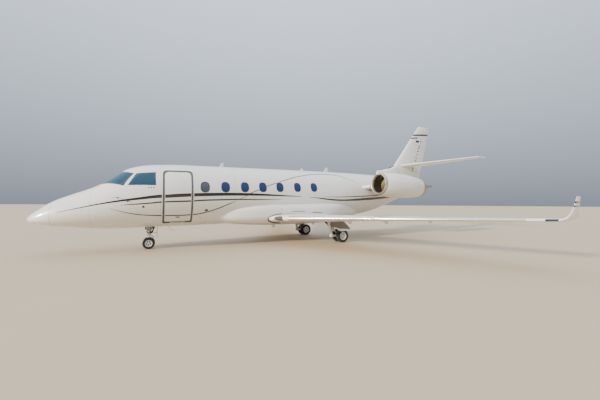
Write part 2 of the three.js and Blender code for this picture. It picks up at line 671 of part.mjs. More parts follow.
// Slat: the front of the outer wing, swinging forward and down about a line below it
const SLAT_SHARE = 0.13;
const slatFrom = wingPoint(4600, SLAT_SHARE);
const slatTo = wingPoint(8050, SLAT_SHARE);
const slatBody = wingBody.intersect(planPrism(planOutline(slatFrom, slatTo, -700, 0, -MOVING_GAP)));
const SLAT_DROP = 450;
const slatLine = [lowered(slatFrom, SLAT_DROP), lowered(slatTo, SLAT_DROP)];
const ARM_SHARES = [0.2, 0.8];
const ARM_STEP = 8; // degrees along the arc

// The slat's curved arm is a sector of a ring round the hinge line, and its runner in the wing is a little larger
function armOutline(fromDegrees, toDegrees, innerRadius, outerRadius) {
  const steps = Math.round((toDegrees - fromDegrees) / ARM_STEP);
  const angles = Array.from({ length: steps + 1 }, (_, k) => (fromDegrees + k * ARM_STEP) * Math.PI / 180);
  const outer = angles.map((angle) => [outerRadius * Math.sin(angle), outerRadius * Math.cos(angle)]);
  const inner = angles.map((angle) => [innerRadius * Math.sin(angle), innerRadius * Math.cos(angle)]);
  return [...outer, ...inner.reverse()];
}
const chordLoss = Math.cos(ARM_STEP * Math.PI / 360);
const armSector = armOutline(-8, 24, SLAT_DROP - 12, SLAT_DROP + 12);
const runnerSector = armOutline(-4, 28, (SLAT_DROP - 12) * chordLoss - SEAM, (SLAT_DROP + 12 + SEAM) / chordLoss);
const slatArms = ARM_SHARES.map((share) => hingePlate(...slatLine, share, armSector, -15, 15));
const slatRunners = ARM_SHARES.map((share) => hingePlate(...slatLine, share, runnerSector, -15 - SEAM, 15 + SEAM));
const slat = joined([slatBody, ...slatArms]);
const slatBay = planPrism(planOutline(slatFrom, slatTo, -700, MOVING_GAP, 0));

// A surface that turns about a line inside it: round nose, and the matching hollow in what carries it
const NOSE_FIT = 0.96;
const PIN_RADIUS = 12;
function hingedSurface(whole, from, to, radiusFrom, radiusTo, region, bay) {
  const nose = bar(from, to, radiusFrom * NOSE_FIT, radiusTo * NOSE_FIT, 10);
  const line = new THREE.Vector3(...to).sub(new THREE.Vector3(...from)).normalize().multiplyScalar(MOVING_GAP);
  const low = [from[0] - line.x, from[1] - line.y, from[2] - line.z];
  const high = [to[0] + line.x, to[1] + line.y, to[2] + line.z];
  const hollow = bar(low, high, radiusFrom + MOVING_GAP, radiusTo + MOVING_GAP, 10);
  const reach = 1 - SEAM / MOVING_GAP;
  const pin = bar(
    from.map((value, k) => value - reach * line.getComponent(k)),
    to.map((value, k) => value + reach * line.getComponent(k)), PIN_RADIUS, PIN_RADIUS, 6);
  return { surface: joined([whole.intersect(region), nose, pin]), hollow: hollow.add(bay) };
}

const AILERON_SHARE = 0.74;
const halfThickness = (point, share) => point[3] * 5 * point[4] * (0.2969 * Math.sqrt(share) - 0.126 * share
  - 0.3516 * share ** 2 + 0.2843 * share ** 3 - 0.1015 * share ** 4);
const aileronFrom = wingPoint(6230, AILERON_SHARE);
const aileronTo = wingPoint(8250, AILERON_SHARE);
const aileron = hingedSurface(
  wingBody, aileronFrom.slice(0, 3), aileronTo.slice(0, 3),
  halfThickness(aileronFrom, AILERON_SHARE), halfThickness(aileronTo, AILERON_SHARE),
  planPrism(planOutline(aileronFrom, aileronTo, 900, 0, 0)),
  planPrism(planOutline(aileronFrom, aileronTo, 900, MOVING_GAP, 0)));

// Jacking pad under the wing
const WING_PAD = [at(9650), 2750, 960];
const wingPad = bar([WING_PAD[0], WING_PAD[1], WING_PAD[2]], [WING_PAD[0], WING_PAD[1], 1150], 60, 60, 12);

const openWing = [flapBay, slatBay, aileron.hollow, ...slatRunners].reduce((body, cut) => body.subtract(cut), wingBody);
const wing = joined([openWing, wingPad, ...flapBrackets])
  .subtract(fairingWithGap).subtract(skinWithGap);
placePair('wing', wing, paintWhite);
placePair('flap', flap, paintWhite);
placePair('slat', slat, polishedMetal);
placePair('aileron', aileron.surface, paintWhite);

// Winglet: y, leading edge station, height, chord, thickness share
const WINGLET = [
  [8660 + SEAM, 11925, 1296, 965, 0.095],
  [8735, 12020, 1345, 800, 0.09],
  [8800, 12150, 1500, 560, 0.085],
  [HALF_SPAN - 8, 12330, 1865, 270, 0.08],
];
const wingletRings = WINGLET.map(([y, station, z, chord, thickness], k) => {
  const ring = foilRing([at(station), 0, 0], chord, thickness, k === 0 ? 28 : 12);
  const tilt = [0, 0.75, 1.25, 1.35][k]; // how far each section leans over, in radians
  return ring.map(([x, , offset]) => [x, y - offset * Math.sin(tilt), z + offset * Math.cos(tilt)]);
});
placePair('winglet', loft(wingletRings), paintWhite);

// Fin: leading edge station, height, chord, thickness share
const FIN = [
  [15010, 3000, 2790, 0.10],
  [17786, 6400, 1010, 0.095],
  [17900, 6460, 900, 0.06],
];
const finRing = ([station, z, chord, thickness], grow) =>
  foilRing([at(station) - grow, 0, z], chord + 2 * grow, thickness + (2 * grow) / chord, 0, true);
const finBody = loft(FIN.map((row) => finRing(row, 0)));
const finWithGap = loft(FIN.map((row) => finRing(row, SEAM)));
const finWithClearance = loft(FIN.map((row) => finRing(row, MOVING_GAP)));
const TAIL_LIGHT_Z = 6425;
const finTop = joined([
  bar([at(18250), 0, TAIL_LIGHT_Z], [at(18900), 0, TAIL_LIGHT_Z], 34, 20, 16),
  bar([at(18380), 0, 6440], [at(18380), 0, FIN_HEIGHT], 45, 26, 16),
]);

// Rudder, on its raked hinge line: station and height at its foot and head
const RUDDER_FOOT = [17040, 3545];
const RUDDER_HEAD = [18150, 6175];
const finHalfThickness = (station, z) => {
  const share = (z - FIN[0][1]) / (FIN[1][1] - FIN[0][1]);
  const leading = FIN[0][0] + share * (FIN[1][0] - FIN[0][0]);
  const chord = FIN[0][2] + share * (FIN[1][2] - FIN[0][2]);
  const part = (station - leading) / chord;
  return chord * 0.5 * (0.2969 * Math.sqrt(part) - 0.126 * part - 0.3516 * part ** 2 + 0.2843 * part ** 3
    - 0.1015 * part ** 4);
};

function sideOutline([s0, z0], [s1, z1], reach, grow) {
  const line = new THREE.Vector2(s1 - s0, z1 - z0).normalize();
  const square = new THREE.Vector2(line.y, -line.x).multiplyScalar(reach);
  const start = new THREE.Vector2(at(s0), z0).addScaledVector(line, -grow);
  const end = new THREE.Vector2(at(s1), z1).addScaledVector(line, grow);
  return [start, end, end.clone().add(square), start.clone().add(square)].map((p) => [p.x, p.y]);
}

const rudder = hingedSurface(
  finBody,
  [at(RUDDER_FOOT[0]), 0, RUDDER_FOOT[1]],
  [at(RUDDER_HEAD[0]), 0, RUDDER_HEAD[1]],
  finHalfThickness(...RUDDER_FOOT), finHalfThickness(...RUDDER_HEAD),
  prism(sideOutline(RUDDER_FOOT, RUDDER_HEAD, 1600, 0), 'y', -400, 400),
  prism(sideOutline(RUDDER_FOOT, RUDDER_HEAD, 1600, MOVING_GAP), 'y', -400, 400));
// The tailplane turns on a pin through the fin: station and height
const TRIM_PIVOT = [16900, 3955];
const PIVOT_RADIUS = 14;
const trimBore = bar(
  [at(TRIM_PIVOT[0]), -200, TRIM_PIVOT[1]], [at(TRIM_PIVOT[0]), 200, TRIM_PIVOT[1]], boreRadius(PIVOT_RADIUS));
place('fin', finBody.subtract(trimBore).subtract(rudder.hollow).subtract(skinWithGap).add(finTop), paintWhite());
place('rudder', rudder.surface.subtract(bodyBetween(15000, LENGTH, -MOVING_GAP)), paintWhite());

// Dorsal fairing ahead of the fin, with a small ram inlet at its front: station, half width, top
const DORSAL = [
  [14480, 70, 3540],
  [14900, 105, 3610],
  [15250, 125, 3700],
  [15750, 130, 3870],
  [16050, 110, 3885],
];
const dorsalRings = DORSAL.map(([station, halfWidth, top]) => [
  [at(station), -halfWidth * 1.9, 3050],
  [at(station), halfWidth * 1.9, 3050],
  [at(station), halfWidth * 1.3, 3290],
  [at(station), halfWidth, top - 90],
  [at(station), halfWidth * 0.5, top - 12],
  [at(station), 0, top],
  [at(station), -halfWidth * 0.5, top - 12],
  [at(station), -halfWidth, top - 90],
  [at(station), -halfWidth * 1.3, 3290],
]);
const ramInlet = bar([at(14400), 0, 3440], [at(14640), 0, 3450], 42, 34, 10);
place('dorsal_fairing', loft(dorsalRings).subtract(skinWithGap).subtract(finWithGap).subtract(ramInlet), paintWhite());

// Tailplane half: y, leading edge station, height, chord, thickness share, rise
const TAILPLANE = [
  [0, 16104, 3940, 1668, 0.10, 12],
  [200, 16217, 3950, 1613, 0.10, 12],
  [3340, 17996, 4110, 770, 0.09, 12],
  [3430, 18080, 4116, 690, 0.06, 10],
];
const tailBody = loft(TAILPLANE.map(([y, station, z, chord, thickness, rise]) =>
  foilRing([at(station), y, z], chord, thickness, rise)));
const ELEVATOR_SHARE = 0.68;
function tailPoint(y) {
  const [low, high] = [TAILPLANE[1], TAILPLANE[2]];
  const part = (y - low[0]) / (high[0] - low[0]);
  const row = low.map((value, k) => value + part * (high[k] - value));
  return [at(row[1]) + ELEVATOR_SHARE * row[3], y, row[2] + ELEVATOR_SHARE * row[5], row[3], row[4]];
}
const elevatorFrom = tailPoint(640);
const elevatorTo = tailPoint(3200);
const elevator = hingedSurface(
  tailBody, elevatorFrom.slice(0, 3), elevatorTo.slice(0, 3),
  halfThickness(elevatorFrom, ELEVATOR_SHARE), halfThickness(elevatorTo, ELEVATOR_SHARE),
  planPrism(planOutline(elevatorFrom, elevatorTo, 800, 0, 0)),
  planPrism(planOutline(elevatorFrom, elevatorTo, 800, MOVING_GAP, 0)));
const rudderSwing = planPrism([
  [at(17000), -200], [at(17000), 130], [at(17200), 140], [at(18200), 560], [at(18200), -200]]);
const trimPin = bar([at(TRIM_PIVOT[0]), SEAM, TRIM_PIVOT[1]], [at(TRIM_PIVOT[0]), 220, TRIM_PIVOT[1]], PIVOT_RADIUS);
const tailplane = tailBody.subtract(elevator.hollow).subtract(rudderSwing).subtract(finWithClearance).add(trimPin);
placePair('tailplane', tailplane.intersect(block(at(15000), at(19500), SEAM, 4000, 3000, 5000)), paintWhite);
placePair('elevator', elevator.surface, paintWhite);

// Engine nacelle: distance behind the inlet's lip, radius, first outside and then back along the duct
const ENGINE = [at(12774), 1850, 2620];
const ENGINE_AXIS = [1, 0, -0.035];
const NACELLE_OUTSIDE = [
  [0, 462], [18, 482], [70, 505], [260, 548], [620, 585], [1000, 595], [1700, 580], [2300, 520], [2960, 418]];
const NACELLE_INSIDE = [
  [2960, 392], [2500, 425], [1700, 440], [900, 436], [250, 412], [90, 416], [12, 445]];
const engineLine = (distance) => {
  const way = new THREE.Vector3(...ENGINE_AXIS).normalize();
  return [ENGINE[0] + way.x * distance, ENGINE[1], ENGINE[2] + way.z * distance];
};
const nacelle = turned([...NACELLE_OUTSIDE, ...NACELLE_INSIDE], ENGINE, ENGINE_AXIS, 28);
const nacelleOutside = turned(
  [[-1, 0], [-1, 462], ...NACELLE_OUTSIDE.slice(1).map(([d, r]) => [d, r + SEAM]), [2961, 0]], ENGINE, ENGINE_AXIS, 28);
placePair('nacelle', nacelle, paintWhite);

// Engine core: one plain block held by guide vanes that reach the duct's wall
const CORE = [[800, 0], [800, 150], [860, 210], [1000, 235], [1900, 235], [2500, 170], [2780, 60], [2800, 0]];
const VANE_COUNT = 8;
function engineCore() {
  const core = turned(CORE, ENGINE, ENGINE_AXIS, 18);
  const shaft = bar(engineLine(700 + SEAM), engineLine(810), 40);
  const ductFill = turned(
    [[900, 0], [900, 436 - SEAM], [1700, 440 - SEAM], [1700, 0]], ENGINE, ENGINE_AXIS, 28);
  const vanes = Array.from({ length: VANE_COUNT }, (_, k) => {
    const angle = (2 * Math.PI * k) / VANE_COUNT;
    const vane = block(1000, 1200, -9, 9, 200, 470);
    const turn = new THREE.Matrix4().makeTranslation(...ENGINE);
    turn.multiply(new THREE.Matrix4().makeRotationY(Math.atan2(-ENGINE_AXIS[2], 1)));
    turn.multiply(new THREE.Matrix4().makeRotationX(angle));
    return vane.transform(turn.elements).intersect(ductFill);
  });
  return joined([core, shaft, ...vanes]);
}
placePair('engine_core', engineCore(), bareMetal);

// Fan: spinner, hub and twisted blades, on the core's shaft with a running gap
const FAN_RADIUS = 416;
const BLADE_COUNT = 12;
function fan() {
  const hub = turned([[440, 0], [470, 62], [540, 118], [600, 140], [700, 150], [700, 0]], ENGINE, ENGINE_AXIS, 18);
  const sweepLimit = turned([[560, 0], [560, FAN_RADIUS], [696, FAN_RADIUS], [696, 0]], ENGINE, ENGINE_AXIS, 28);
  const blades = Array.from({ length: BLADE_COUNT }, (_, k) => {
    const rows = [[120, 0.5], [460, 1.0]]; // radius and pitch of each blade section
    const rings = rows.map(([radius, pitch]) => {
      const chord = 74;
      return [[-chord, 0], [0, -8], [chord, 0], [0, 8]].map(([a, b]) => [
        628 + a * Math.cos(pitch) - b * Math.sin(pitch), a * Math.sin(pitch) + b * Math.cos(pitch), radius]);
    });
    const turn = new THREE.Matrix4().makeTranslation(...ENGINE);
    turn.multiply(new THREE.Matrix4().makeRotationY(Math.atan2(-ENGINE_AXIS[2], 1)));
    turn.multiply(new THREE.Matrix4().makeRotationX((2 * Math.PI * k) / BLADE_COUNT));
    return loft(rings).transform(turn.elements).intersect(sweepLimit);
  });
  return joined([hub, ...blades]);
}
placePair('fan', fan(), bareMetal);

// Pylon between the fuselage side and the nacelle: y, leading edge station, height, chord
const PYLON = [
  [700, 12250, 2440, 2500],
  [1250, 12620, 2520, 2250],
  [1850, 13000, 2560, 2000],
];
const pylon = loft(PYLON.map(([y, station, z, chord]) => foilRing([at(station), y, z], chord, 0.13, -60)))
  .subtract(nacelleOutside).subtract(skinWithGap).intersect(block(at(12000), at(15500), 700, 1700, 2000, 3200));
placePair('pylon', pylon, paintGrey);

// Wheel profile in its own frame: distance across the tyre, radius, for half a tyre's width and its radius
function wheelProfile(halfWidth, radius) {
  const rim = radius * 0.56;
  return [
    [-halfWidth * 0.55, 0], [-halfWidth * 0.55, rim * 0.5], [-halfWidth * 0.86, rim],
    [-halfWidth, radius * 0.76], [-halfWidth * 0.86, radius * 0.93],
    [-halfWidth * 0.45, radius], [halfWidth * 0.45, radius],
    [halfWidth * 0.86, radius * 0.93], [halfWidth, radius * 0.76],
    [halfWidth * 0.86, rim], [halfWidth * 0.55, rim * 0.5], [halfWidth * 0.55, 0],
  ];
}

// Twin wheels on one live axle, with a spacer between each hub and the bearing
const WHEEL_SIDES = 16;

function twinWheels(centre, spacing, halfWidth, radius, axleRadius, bearingHalfWidth) {
  const wheels = [-1, 1].map((side) => turned(
    wheelProfile(halfWidth, radius), [centre[0], centre[1] + side * spacing, centre[2]], [0, 1, 0], WHEEL_SIDES));
  const axle = bar(
    [centre[0], centre[1] - spacing, centre[2]], [centre[0], centre[1] + spacing, centre[2]], axleRadius);
  const spacers = [-1, 1].map((side) => bar(
    [centre[0], centre[1] + side * (bearingHalfWidth + 2 * SEAM), centre[2]],
    [centre[0], centre[1] + side * spacing, centre[2]], axleRadius * 1.6));
  return joined([...wheels, axle, ...spacers]);
}

// Nose gear: a leg in its bay, a steered lower strut inside it, and twin wheels
const NOSE_WHEEL_RADIUS = 205;
const NOSE_X = at(NOSE_AXLE);
const NOSE_AXLE_RADIUS = 20;
const NOSE_BEARING_HALF_WIDTH = 62;
const STRUT_RADIUS = 36;
const NOSE_LEG_FOOT = 520;
const noseAxle = [NOSE_X, 0, NOSE_WHEEL_RADIUS];
place('nose_wheels', twinWheels(
  noseAxle, 150, 62, NOSE_WHEEL_RADIUS, NOSE_AXLE_RADIUS, NOSE_BEARING_HALF_WIDTH), rubber());

const steeredStrut = joined([
  bar([NOSE_X, 0, 235], [NOSE_X, 0, 700], STRUT_RADIUS),
  bar([NOSE_X, 0, NOSE_LEG_FOOT - 40], [NOSE_X, 0, NOSE_LEG_FOOT - 2 * SEAM], 58, 58, 10),
  bar(
    [NOSE_X, -NOSE_BEARING_HALF_WIDTH, NOSE_WHEEL_RADIUS],
    [NOSE_X, NOSE_BEARING_HALF_WIDTH, NOSE_WHEEL_RADIUS], 48, 48, 10),
  block(NOSE_X - 110, NOSE_X - 30, -28, 28, 205, 255),
  block(NOSE_X + 30, NOSE_X + 130, -26, 26, 330, 352),
  bar([NOSE_X, 0, 300], [NOSE_X, 0, 380], 50, 50, 10),
]).subtract(bar([NOSE_X, -80, NOSE_WHEEL_RADIUS], [NOSE_X, 80, NOSE_WHEEL_RADIUS], boreRadius(NOSE_AXLE_RADIUS)));
place('nose_steering', steeredStrut, bareMetal());

const noseLeg = joined([
  bar([NOSE_X, 0, NOSE_LEG_FOOT], [NOSE_X, 0, 1000], 66, 66, 10),
  bar([NOSE_X, -170 + SEAM, 900], [NOSE_X, 170 - SEAM, 900], 40, 40, 8),
  bar([NOSE_X + 30, 0, 640], [NOSE_X + 235, 0, 930], 26, 26, 10),
  bar([NOSE_X + 225, -170 + SEAM, 915], [NOSE_X + 225, 170 - SEAM, 915], 24, 24, 10),
  block(NOSE_X - 95, NOSE_X - 55, -60, 60, 560, 680),
]).subtract(bar([NOSE_X, 0, 400], [NOSE_X, 0, 720], boreRadius(STRUT_RADIUS)));
place('nose_leg', noseLeg, paintWhite());

// Main gear: a leg under the wing, a trailing arm with the axle's bearing, and a shock strut behind the leg
const MAIN_AXLE = NOSE_AXLE + WHEELBASE;
const MAIN_WHEEL_RADIUS = 285;
const MAIN_X = at(MAIN_AXLE);
const mainAxle = [MAIN_X, HALF_TRACK, MAIN_WHEEL_RADIUS];
const MAIN_AXLE_RADIUS = 28;
const MAIN_BEARING_HALF_WIDTH = 76;
placePair('main_wheels', twinWheels(
  mainAxle, 170, 84, MAIN_WHEEL_RADIUS, MAIN_AXLE_RADIUS, MAIN_BEARING_HALF_WIDTH), rubber);

const KNEE = [MAIN_X - 440, HALF_TRACK, 300];
const LEG_TOP = [MAIN_X - 590, HALF_TRACK, 1060];
const SHOCK_TOP = [MAIN_X - 480, HALF_TRACK, 800];
const acrossLeg = (x, z, halfWidth) => [[x, HALF_TRACK - halfWidth, z], [x, HALF_TRACK + halfWidth, z]];
const mainLeg = joined([
  bar(KNEE, LEG_TOP, 62, 78, 10),
  bar(...acrossLeg(KNEE[0], KNEE[2], 60), 70, 70, 10),
  bar(KNEE, [MAIN_X, HALF_TRACK, MAIN_WHEEL_RADIUS], 52, 44, 10),
  bar(...acrossLeg(MAIN_X, MAIN_WHEEL_RADIUS, MAIN_BEARING_HALF_WIDTH), 60, 60, 10),
  bar([MAIN_X - 150, HALF_TRACK, 320], SHOCK_TOP, 34, 46, 10),
  bar([SHOCK_TOP[0] - 90, HALF_TRACK, 850], [SHOCK_TOP[0] + 40, HALF_TRACK, 780], 40, 40, 10),
  bar(...acrossLeg(LEG_TOP[0], 985, 190), 46, 46, 8),
]).subtract(bar(...acrossLeg(MAIN_X, MAIN_WHEEL_RADIUS, 90), boreRadius(MAIN_AXLE_RADIUS)));
const wingSection = (grow) => loft(WING.map(([y, station, z, chord, thickness, rise]) =>
  foilRing([at(station) - grow, y, z], chord + 2 * grow, thickness + (2 * grow) / chord, rise)));
const wingWithGap = wingSection(SEAM);
placePair('main_leg', mainLeg.subtract(wingWithGap), paintWhite);

// Main gear door: a plate outboard of the leg, hanging from the wing
const doorPlate = prism([
  [MAIN_X - 760, 1100], [MAIN_X - 190, 1100], [MAIN_X + 315, 600], [MAIN_X + 300, 560], [MAIN_X - 240, 600],
  [MAIN_X - 720, 740]], 'y', 1962, 1984);
placePair('main_gear_door', doorPlate.subtract(wingWithGap).intersect(block(-9000, 9000, 0, 9000, 0, 1090)), paintWhite);

export default jet;
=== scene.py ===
# Business jet parked on its gear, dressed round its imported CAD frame.
# Metres; +X points aft, +Y to the jet's right side and +Z up. A station is a distance behind the nose tip.
import math

import bmesh
import bpy
from mathutils import Matrix, Vector


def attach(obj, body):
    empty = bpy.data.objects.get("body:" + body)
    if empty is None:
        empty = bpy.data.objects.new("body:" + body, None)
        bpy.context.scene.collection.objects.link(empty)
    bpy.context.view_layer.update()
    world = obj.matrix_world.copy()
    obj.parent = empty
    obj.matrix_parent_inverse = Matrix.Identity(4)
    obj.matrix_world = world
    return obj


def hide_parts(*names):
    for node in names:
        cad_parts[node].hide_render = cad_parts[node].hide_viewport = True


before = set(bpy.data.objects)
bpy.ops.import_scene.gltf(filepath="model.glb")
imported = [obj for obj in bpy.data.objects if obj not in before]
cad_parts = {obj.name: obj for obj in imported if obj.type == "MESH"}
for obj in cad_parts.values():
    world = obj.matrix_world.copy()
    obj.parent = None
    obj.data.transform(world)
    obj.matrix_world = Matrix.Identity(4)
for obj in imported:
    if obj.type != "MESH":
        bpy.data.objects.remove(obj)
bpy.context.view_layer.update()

# Camera: an ordinary wide lens at a standing person's eye height, ahead of the left wing.
# Place, aim and roll were solved from the jet's known length, wheelbase and fin height.
PHOTO_WIDTH = 600
FOCAL_LENGTH_PX = 272.9
SENSOR_MM = 36
CAMERA_PLACE = Vector((-5.8794, -11.5045, 1.6496))
CAMERA_YAW = math.radians(27.566)
CAMERA_PITCH = math.radians(0.8816)
CAMERA_ROLL = math.radians(0.2386)

camera_data = bpy.data.cameras.new("photo_camera")
camera_data.sensor_width = SENSOR_MM
camera_data.lens = SENSOR_MM * FOCAL_LENGTH_PX / PHOTO_WIDTH
camera = bpy.data.objects.new("photo_camera", camera_data)
bpy.context.scene.collection.objects.link(camera)
bpy.context.scene.camera = camera
forward = Vector((
    math.sin(CAMERA_YAW) * math.cos(CAMERA_PITCH),
    math.cos(CAMERA_YAW) * math.cos(CAMERA_PITCH),
    math.sin(CAMERA_PITCH)))
level_right = Vector((math.cos(CAMERA_YAW), -math.sin(CAMERA_YAW), 0))
level_up = level_right.cross(forward)
right = level_right * math.cos(CAMERA_ROLL) + level_up * math.sin(CAMERA_ROLL)
up = level_up * math.cos(CAMERA_ROLL) - level_right * math.sin(CAMERA_ROLL)
camera.matrix_world = Matrix((
    (right.x, up.x, -forward.x, CAMERA_PLACE.x),
    (right.y, up.y, -forward.y, CAMERA_PLACE.y),
    (right.z, up.z, -forward.z, CAMERA_PLACE.z),
    (0, 0, 0, 1)))


# Floor and light: a plain pale floor, a soft sky that brightens overhead and one broad soft sun.
# The sun stands low ahead of the nose, a little to its left, so the top and the leading edges are lit.
FLOOR_SIZE = 900
SUN_DIRECTION = Vector((0.93, 0.15, -0.30))
HORIZON_GLOW = 0.42
ZENITH_GLOW = 2.30


def linear(hex_colour):
    """An sRGB hex colour as linear red, green, blue and alpha."""
    parts = [int(hex_colour[k:k + 2], 16) / 255 for k in (1, 3, 5)]
    return [c / 12.92 if c <= 0.04045 else ((c + 0.055) / 1.055) ** 2.4 for c in parts] + [1]


def add(tree, kind, values=(), links=(), **settings):
    """Adds one node with its settings, socket values and the links that come in."""
    node = tree.nodes.new(kind)
    for key, value in settings.items():
        setattr(node, key, value)
    for socket, value in values:
        node.inputs[socket].default_value = value
    for socket, source in links:
        tree.links.new(source, node.inputs[socket])
    return node


def finish(name, base, roughness, metallic=0.0, grain_mm=0, grain=0.0, tint=0.0, tint_m=1.0, **sockets):
    """A surface whose colour drifts by tint over tint_m metres and whose bump has a grain of grain_mm."""
    material = bpy.data.materials.new(name)
    material.use_nodes = True
    tree = material.node_tree
    shader = tree.nodes["Principled BSDF"]
    shader.inputs["Base Color"].default_value = linear(base)
    shader.inputs["Metallic"].default_value = metallic
    shader.inputs["Roughness"].default_value = roughness
    for socket, value in sockets.items():
        shader.inputs[socket.replace("_", " ")].default_value = value
    place = add(tree, "ShaderNodeTexCoord").outputs["Object"]
    if tint:
        cloud = add(tree, "ShaderNodeTexNoise", [("Scale", 1 / tint_m), ("Detail", 5)], [("Vector", place)])
        low = [c * (1 - tint) for c in linear(base)[:3]] + [1]
        high = [min(1, c * (1 + tint)) for c in linear(base)[:3]] + [1]
        colour = add(tree, "ShaderNodeMix", [(6, low), (7, high)], [(0, cloud.outputs[0])], data_type="RGBA")
        tree.links.new(colour.outputs[2], shader.inputs["Base Color"])
        gloss = add(
            tree, "ShaderNodeMapRange", [(3, roughness * 0.85), (4, roughness * 1.2)],
            [(0, cloud.outputs[0])])
        tree.links.new(gloss.outputs[0], shader.inputs["Roughness"])
    if grain_mm:
        fine = add(
            tree, "ShaderNodeTexNoise", [("Scale", 1000 / grain_mm), ("Detail", 3)], [("Vector", place)])
        bump = add(
            tree, "ShaderNodeBump", [("Strength", grain), ("Distance", grain_mm / 1000)],
            [("Height", fine.outputs[0])])
        tree.links.new(bump.outputs[0], shader.inputs["Normal"])
    return material


def new_piece(name, points, faces, material, sharp=32):
    """A mesh object of its own, smooth except along edges sharper than the angle given in degrees."""
    mesh = bpy.data.meshes.new(name)
    mesh.from_pydata([tuple(p) for p in points], [], faces)
    piece = bpy.data.objects.new(name, mesh)
    bpy.context.scene.collection.objects.link(piece)
    mesh.materials.append(material)
    shade(piece, sharp)
    return piece


def shade(piece, sharp=32):
    """Merges doubles, turns the faces outwards and marks the sharp edges."""
    mesh = piece.data
    work = bmesh.new()
    work.from_mesh(mesh)
    bmesh.ops.remove_doubles(work, verts=work.verts, dist=0.00002)
    bmesh.ops.recalc_face_normals(work, faces=work.faces)
    for face in work.faces:
        face.smooth = True
    for edge in work.edges:
        edge.smooth = edge.calc_face_angle(0) < math.radians(sharp)
    work.to_mesh(mesh)
    work.free()
    return piece


floor_finish = finish("pale_studio_floor", "#c3b092", 0.6, tint=0.02, tint_m=3.0)
half_floor = FLOOR_SIZE / 2
floor = new_piece(
    "studio_floor",
    [(-half_floor, -half_floor, 0), (half_floor, -half_floor, 0),
     (half_floor, half_floor, 0), (-half_floor, half_floor, 0)],
    [(0, 1, 2, 3)], floor_finish)

world = bpy.data.worlds.new("studio_sky")
world.use_nodes = True
sky_light = world.node_tree.nodes["Background"]
sky_light.inputs["Color"].default_value = linear("#d9e4f4")
sky_way = add(world.node_tree, "ShaderNodeTexCoord").outputs["Generated"]
sky_rise = add(world.node_tree, "ShaderNodeSeparateXYZ", links=[(0, sky_way)]).outputs["Z"]
sky_glow = add(
    world.node_tree, "ShaderNodeMapRange", [(1, 0.0), (2, 1.0), (3, HORIZON_GLOW), (4, ZENITH_GLOW)],
    [(0, sky_rise)])
world.node_tree.links.new(sky_glow.outputs[0], sky_light.inputs["Strength"])
bpy.context.scene.world = world
sun_data = bpy.data.lights.new("soft_sun", "SUN")
sun_data.energy = 6.4
sun_data.angle = math.radians(5)
sun_data.color = linear("#fff4e6")[:3]
sun = bpy.data.objects.new("soft_sun", sun_data)
sun.rotation_mode = "QUATERNION"
sun.rotation_quaternion = SUN_DIRECTION.to_track_quat("-Z", "Y")
bpy.context.scene.collection.objects.link(sun)


# Fuselage skins: stretched aluminium panels over frames, filled, rubbed down and sprayed gloss white.
# Seven sections from radome to tail cone, each a closed tube as thick as the wall, with its windows cut.
LENGTH = 18.970
WALL = 0.080
SEAM = 0.0015
SKIN_SIDES = 112
RING_STEP = 0.07
# station, half width, top, height of the widest point, bottom
SECTIONS = [
    (0.000, 0.035, 1.165, 1.133, 1.100),
    (0.090, 0.165, 1.286, 1.140, 1.030),
    (0.275, 0.300, 1.448, 1.160, 0.980),
    (0.640, 0.480, 1.720, 1.215, 0.912),
    (1.100, 0.645, 1.940, 1.300, 0.855),
    (1.700, 0.815, 2.208, 1.440, 0.800),
    (1.900, 0.865, 2.327, 1.490, 0.786),
    (2.410, 0.970, 2.710, 1.610, 0.770),
    (2.620, 1.005, 2.857, 1.660, 0.772),
    (2.930, 1.055, 2.978, 1.750, 0.776),
    (3.250, 1.095, 3.050, 1.840, 0.782),
    (3.700, 1.142, 3.100, 1.925, 0.788),
    (4.290, 1.172, 3.138, 1.966, 0.794),
    (5.460, 1.172, 3.162, 1.990, 0.818),
    (11.200, 1.172, 3.267, 2.100, 0.930),
    (11.800, 1.158, 3.272, 2.112, 0.962),
    (12.600, 1.110, 3.274, 2.165, 1.085),
    (13.920, 0.980, 3.264, 2.290, 1.330),
    (15.240, 0.790, 3.215, 2.490, 1.789),
    (16.400, 0.580, 3.160, 2.650, 2.165),
    (17.420, 0.385, 3.100, 2.780, 2.452),
    (18.150, 0.250, 3.016, 2.830, 2.655),
    (18.750, 0.150, 2.965, 2.838, 2.715),
    (18.970, 0.105, 2.915, 2.812, 2.745),
]
NOSE_SEAM = 0.640
COCKPIT_SEAM = 1.700
DOOR_FRAME_SEAM = 3.700
MID_CABIN_SEAM = 6.240
AFT_BULKHEAD = 11.500
CONE_SEAM = 17.420


def at(station):
    return station - LENGTH / 2


def smooth_row(rows, station):
    """The row at a station, on monotone curves through the table's columns."""
    last = len(rows) - 2
    k = next((n for n in range(last) if rows[n + 1][0] >= station), last)
    span = rows[k + 1][0] - rows[k][0]
    t = min(1, max(0, (station - rows[k][0]) / span))
    row = [station]
    for column in range(1, len(rows[0])):
        steps = [
            (rows[n + 1][column] - rows[n][column]) / (rows[n + 1][0] - rows[n][0])
            for n in (max(k - 1, 0), k, min(k + 1, last))]
        slopes = [
            2 * a * b / (a + b) if a * b > 0 else 0
            for a, b in ((steps[0], steps[1]), (steps[1], steps[2]))]
        low, high = rows[k][column], rows[k + 1][column]
        row.append(
            low * (2 * t ** 3 - 3 * t ** 2 + 1) + slopes[0] * span * (t ** 3 - 2 * t ** 2 + t)
            + high * (3 * t ** 2 - 2 * t ** 3) + slopes[1] * span * (t ** 3 - t ** 2))
    return row


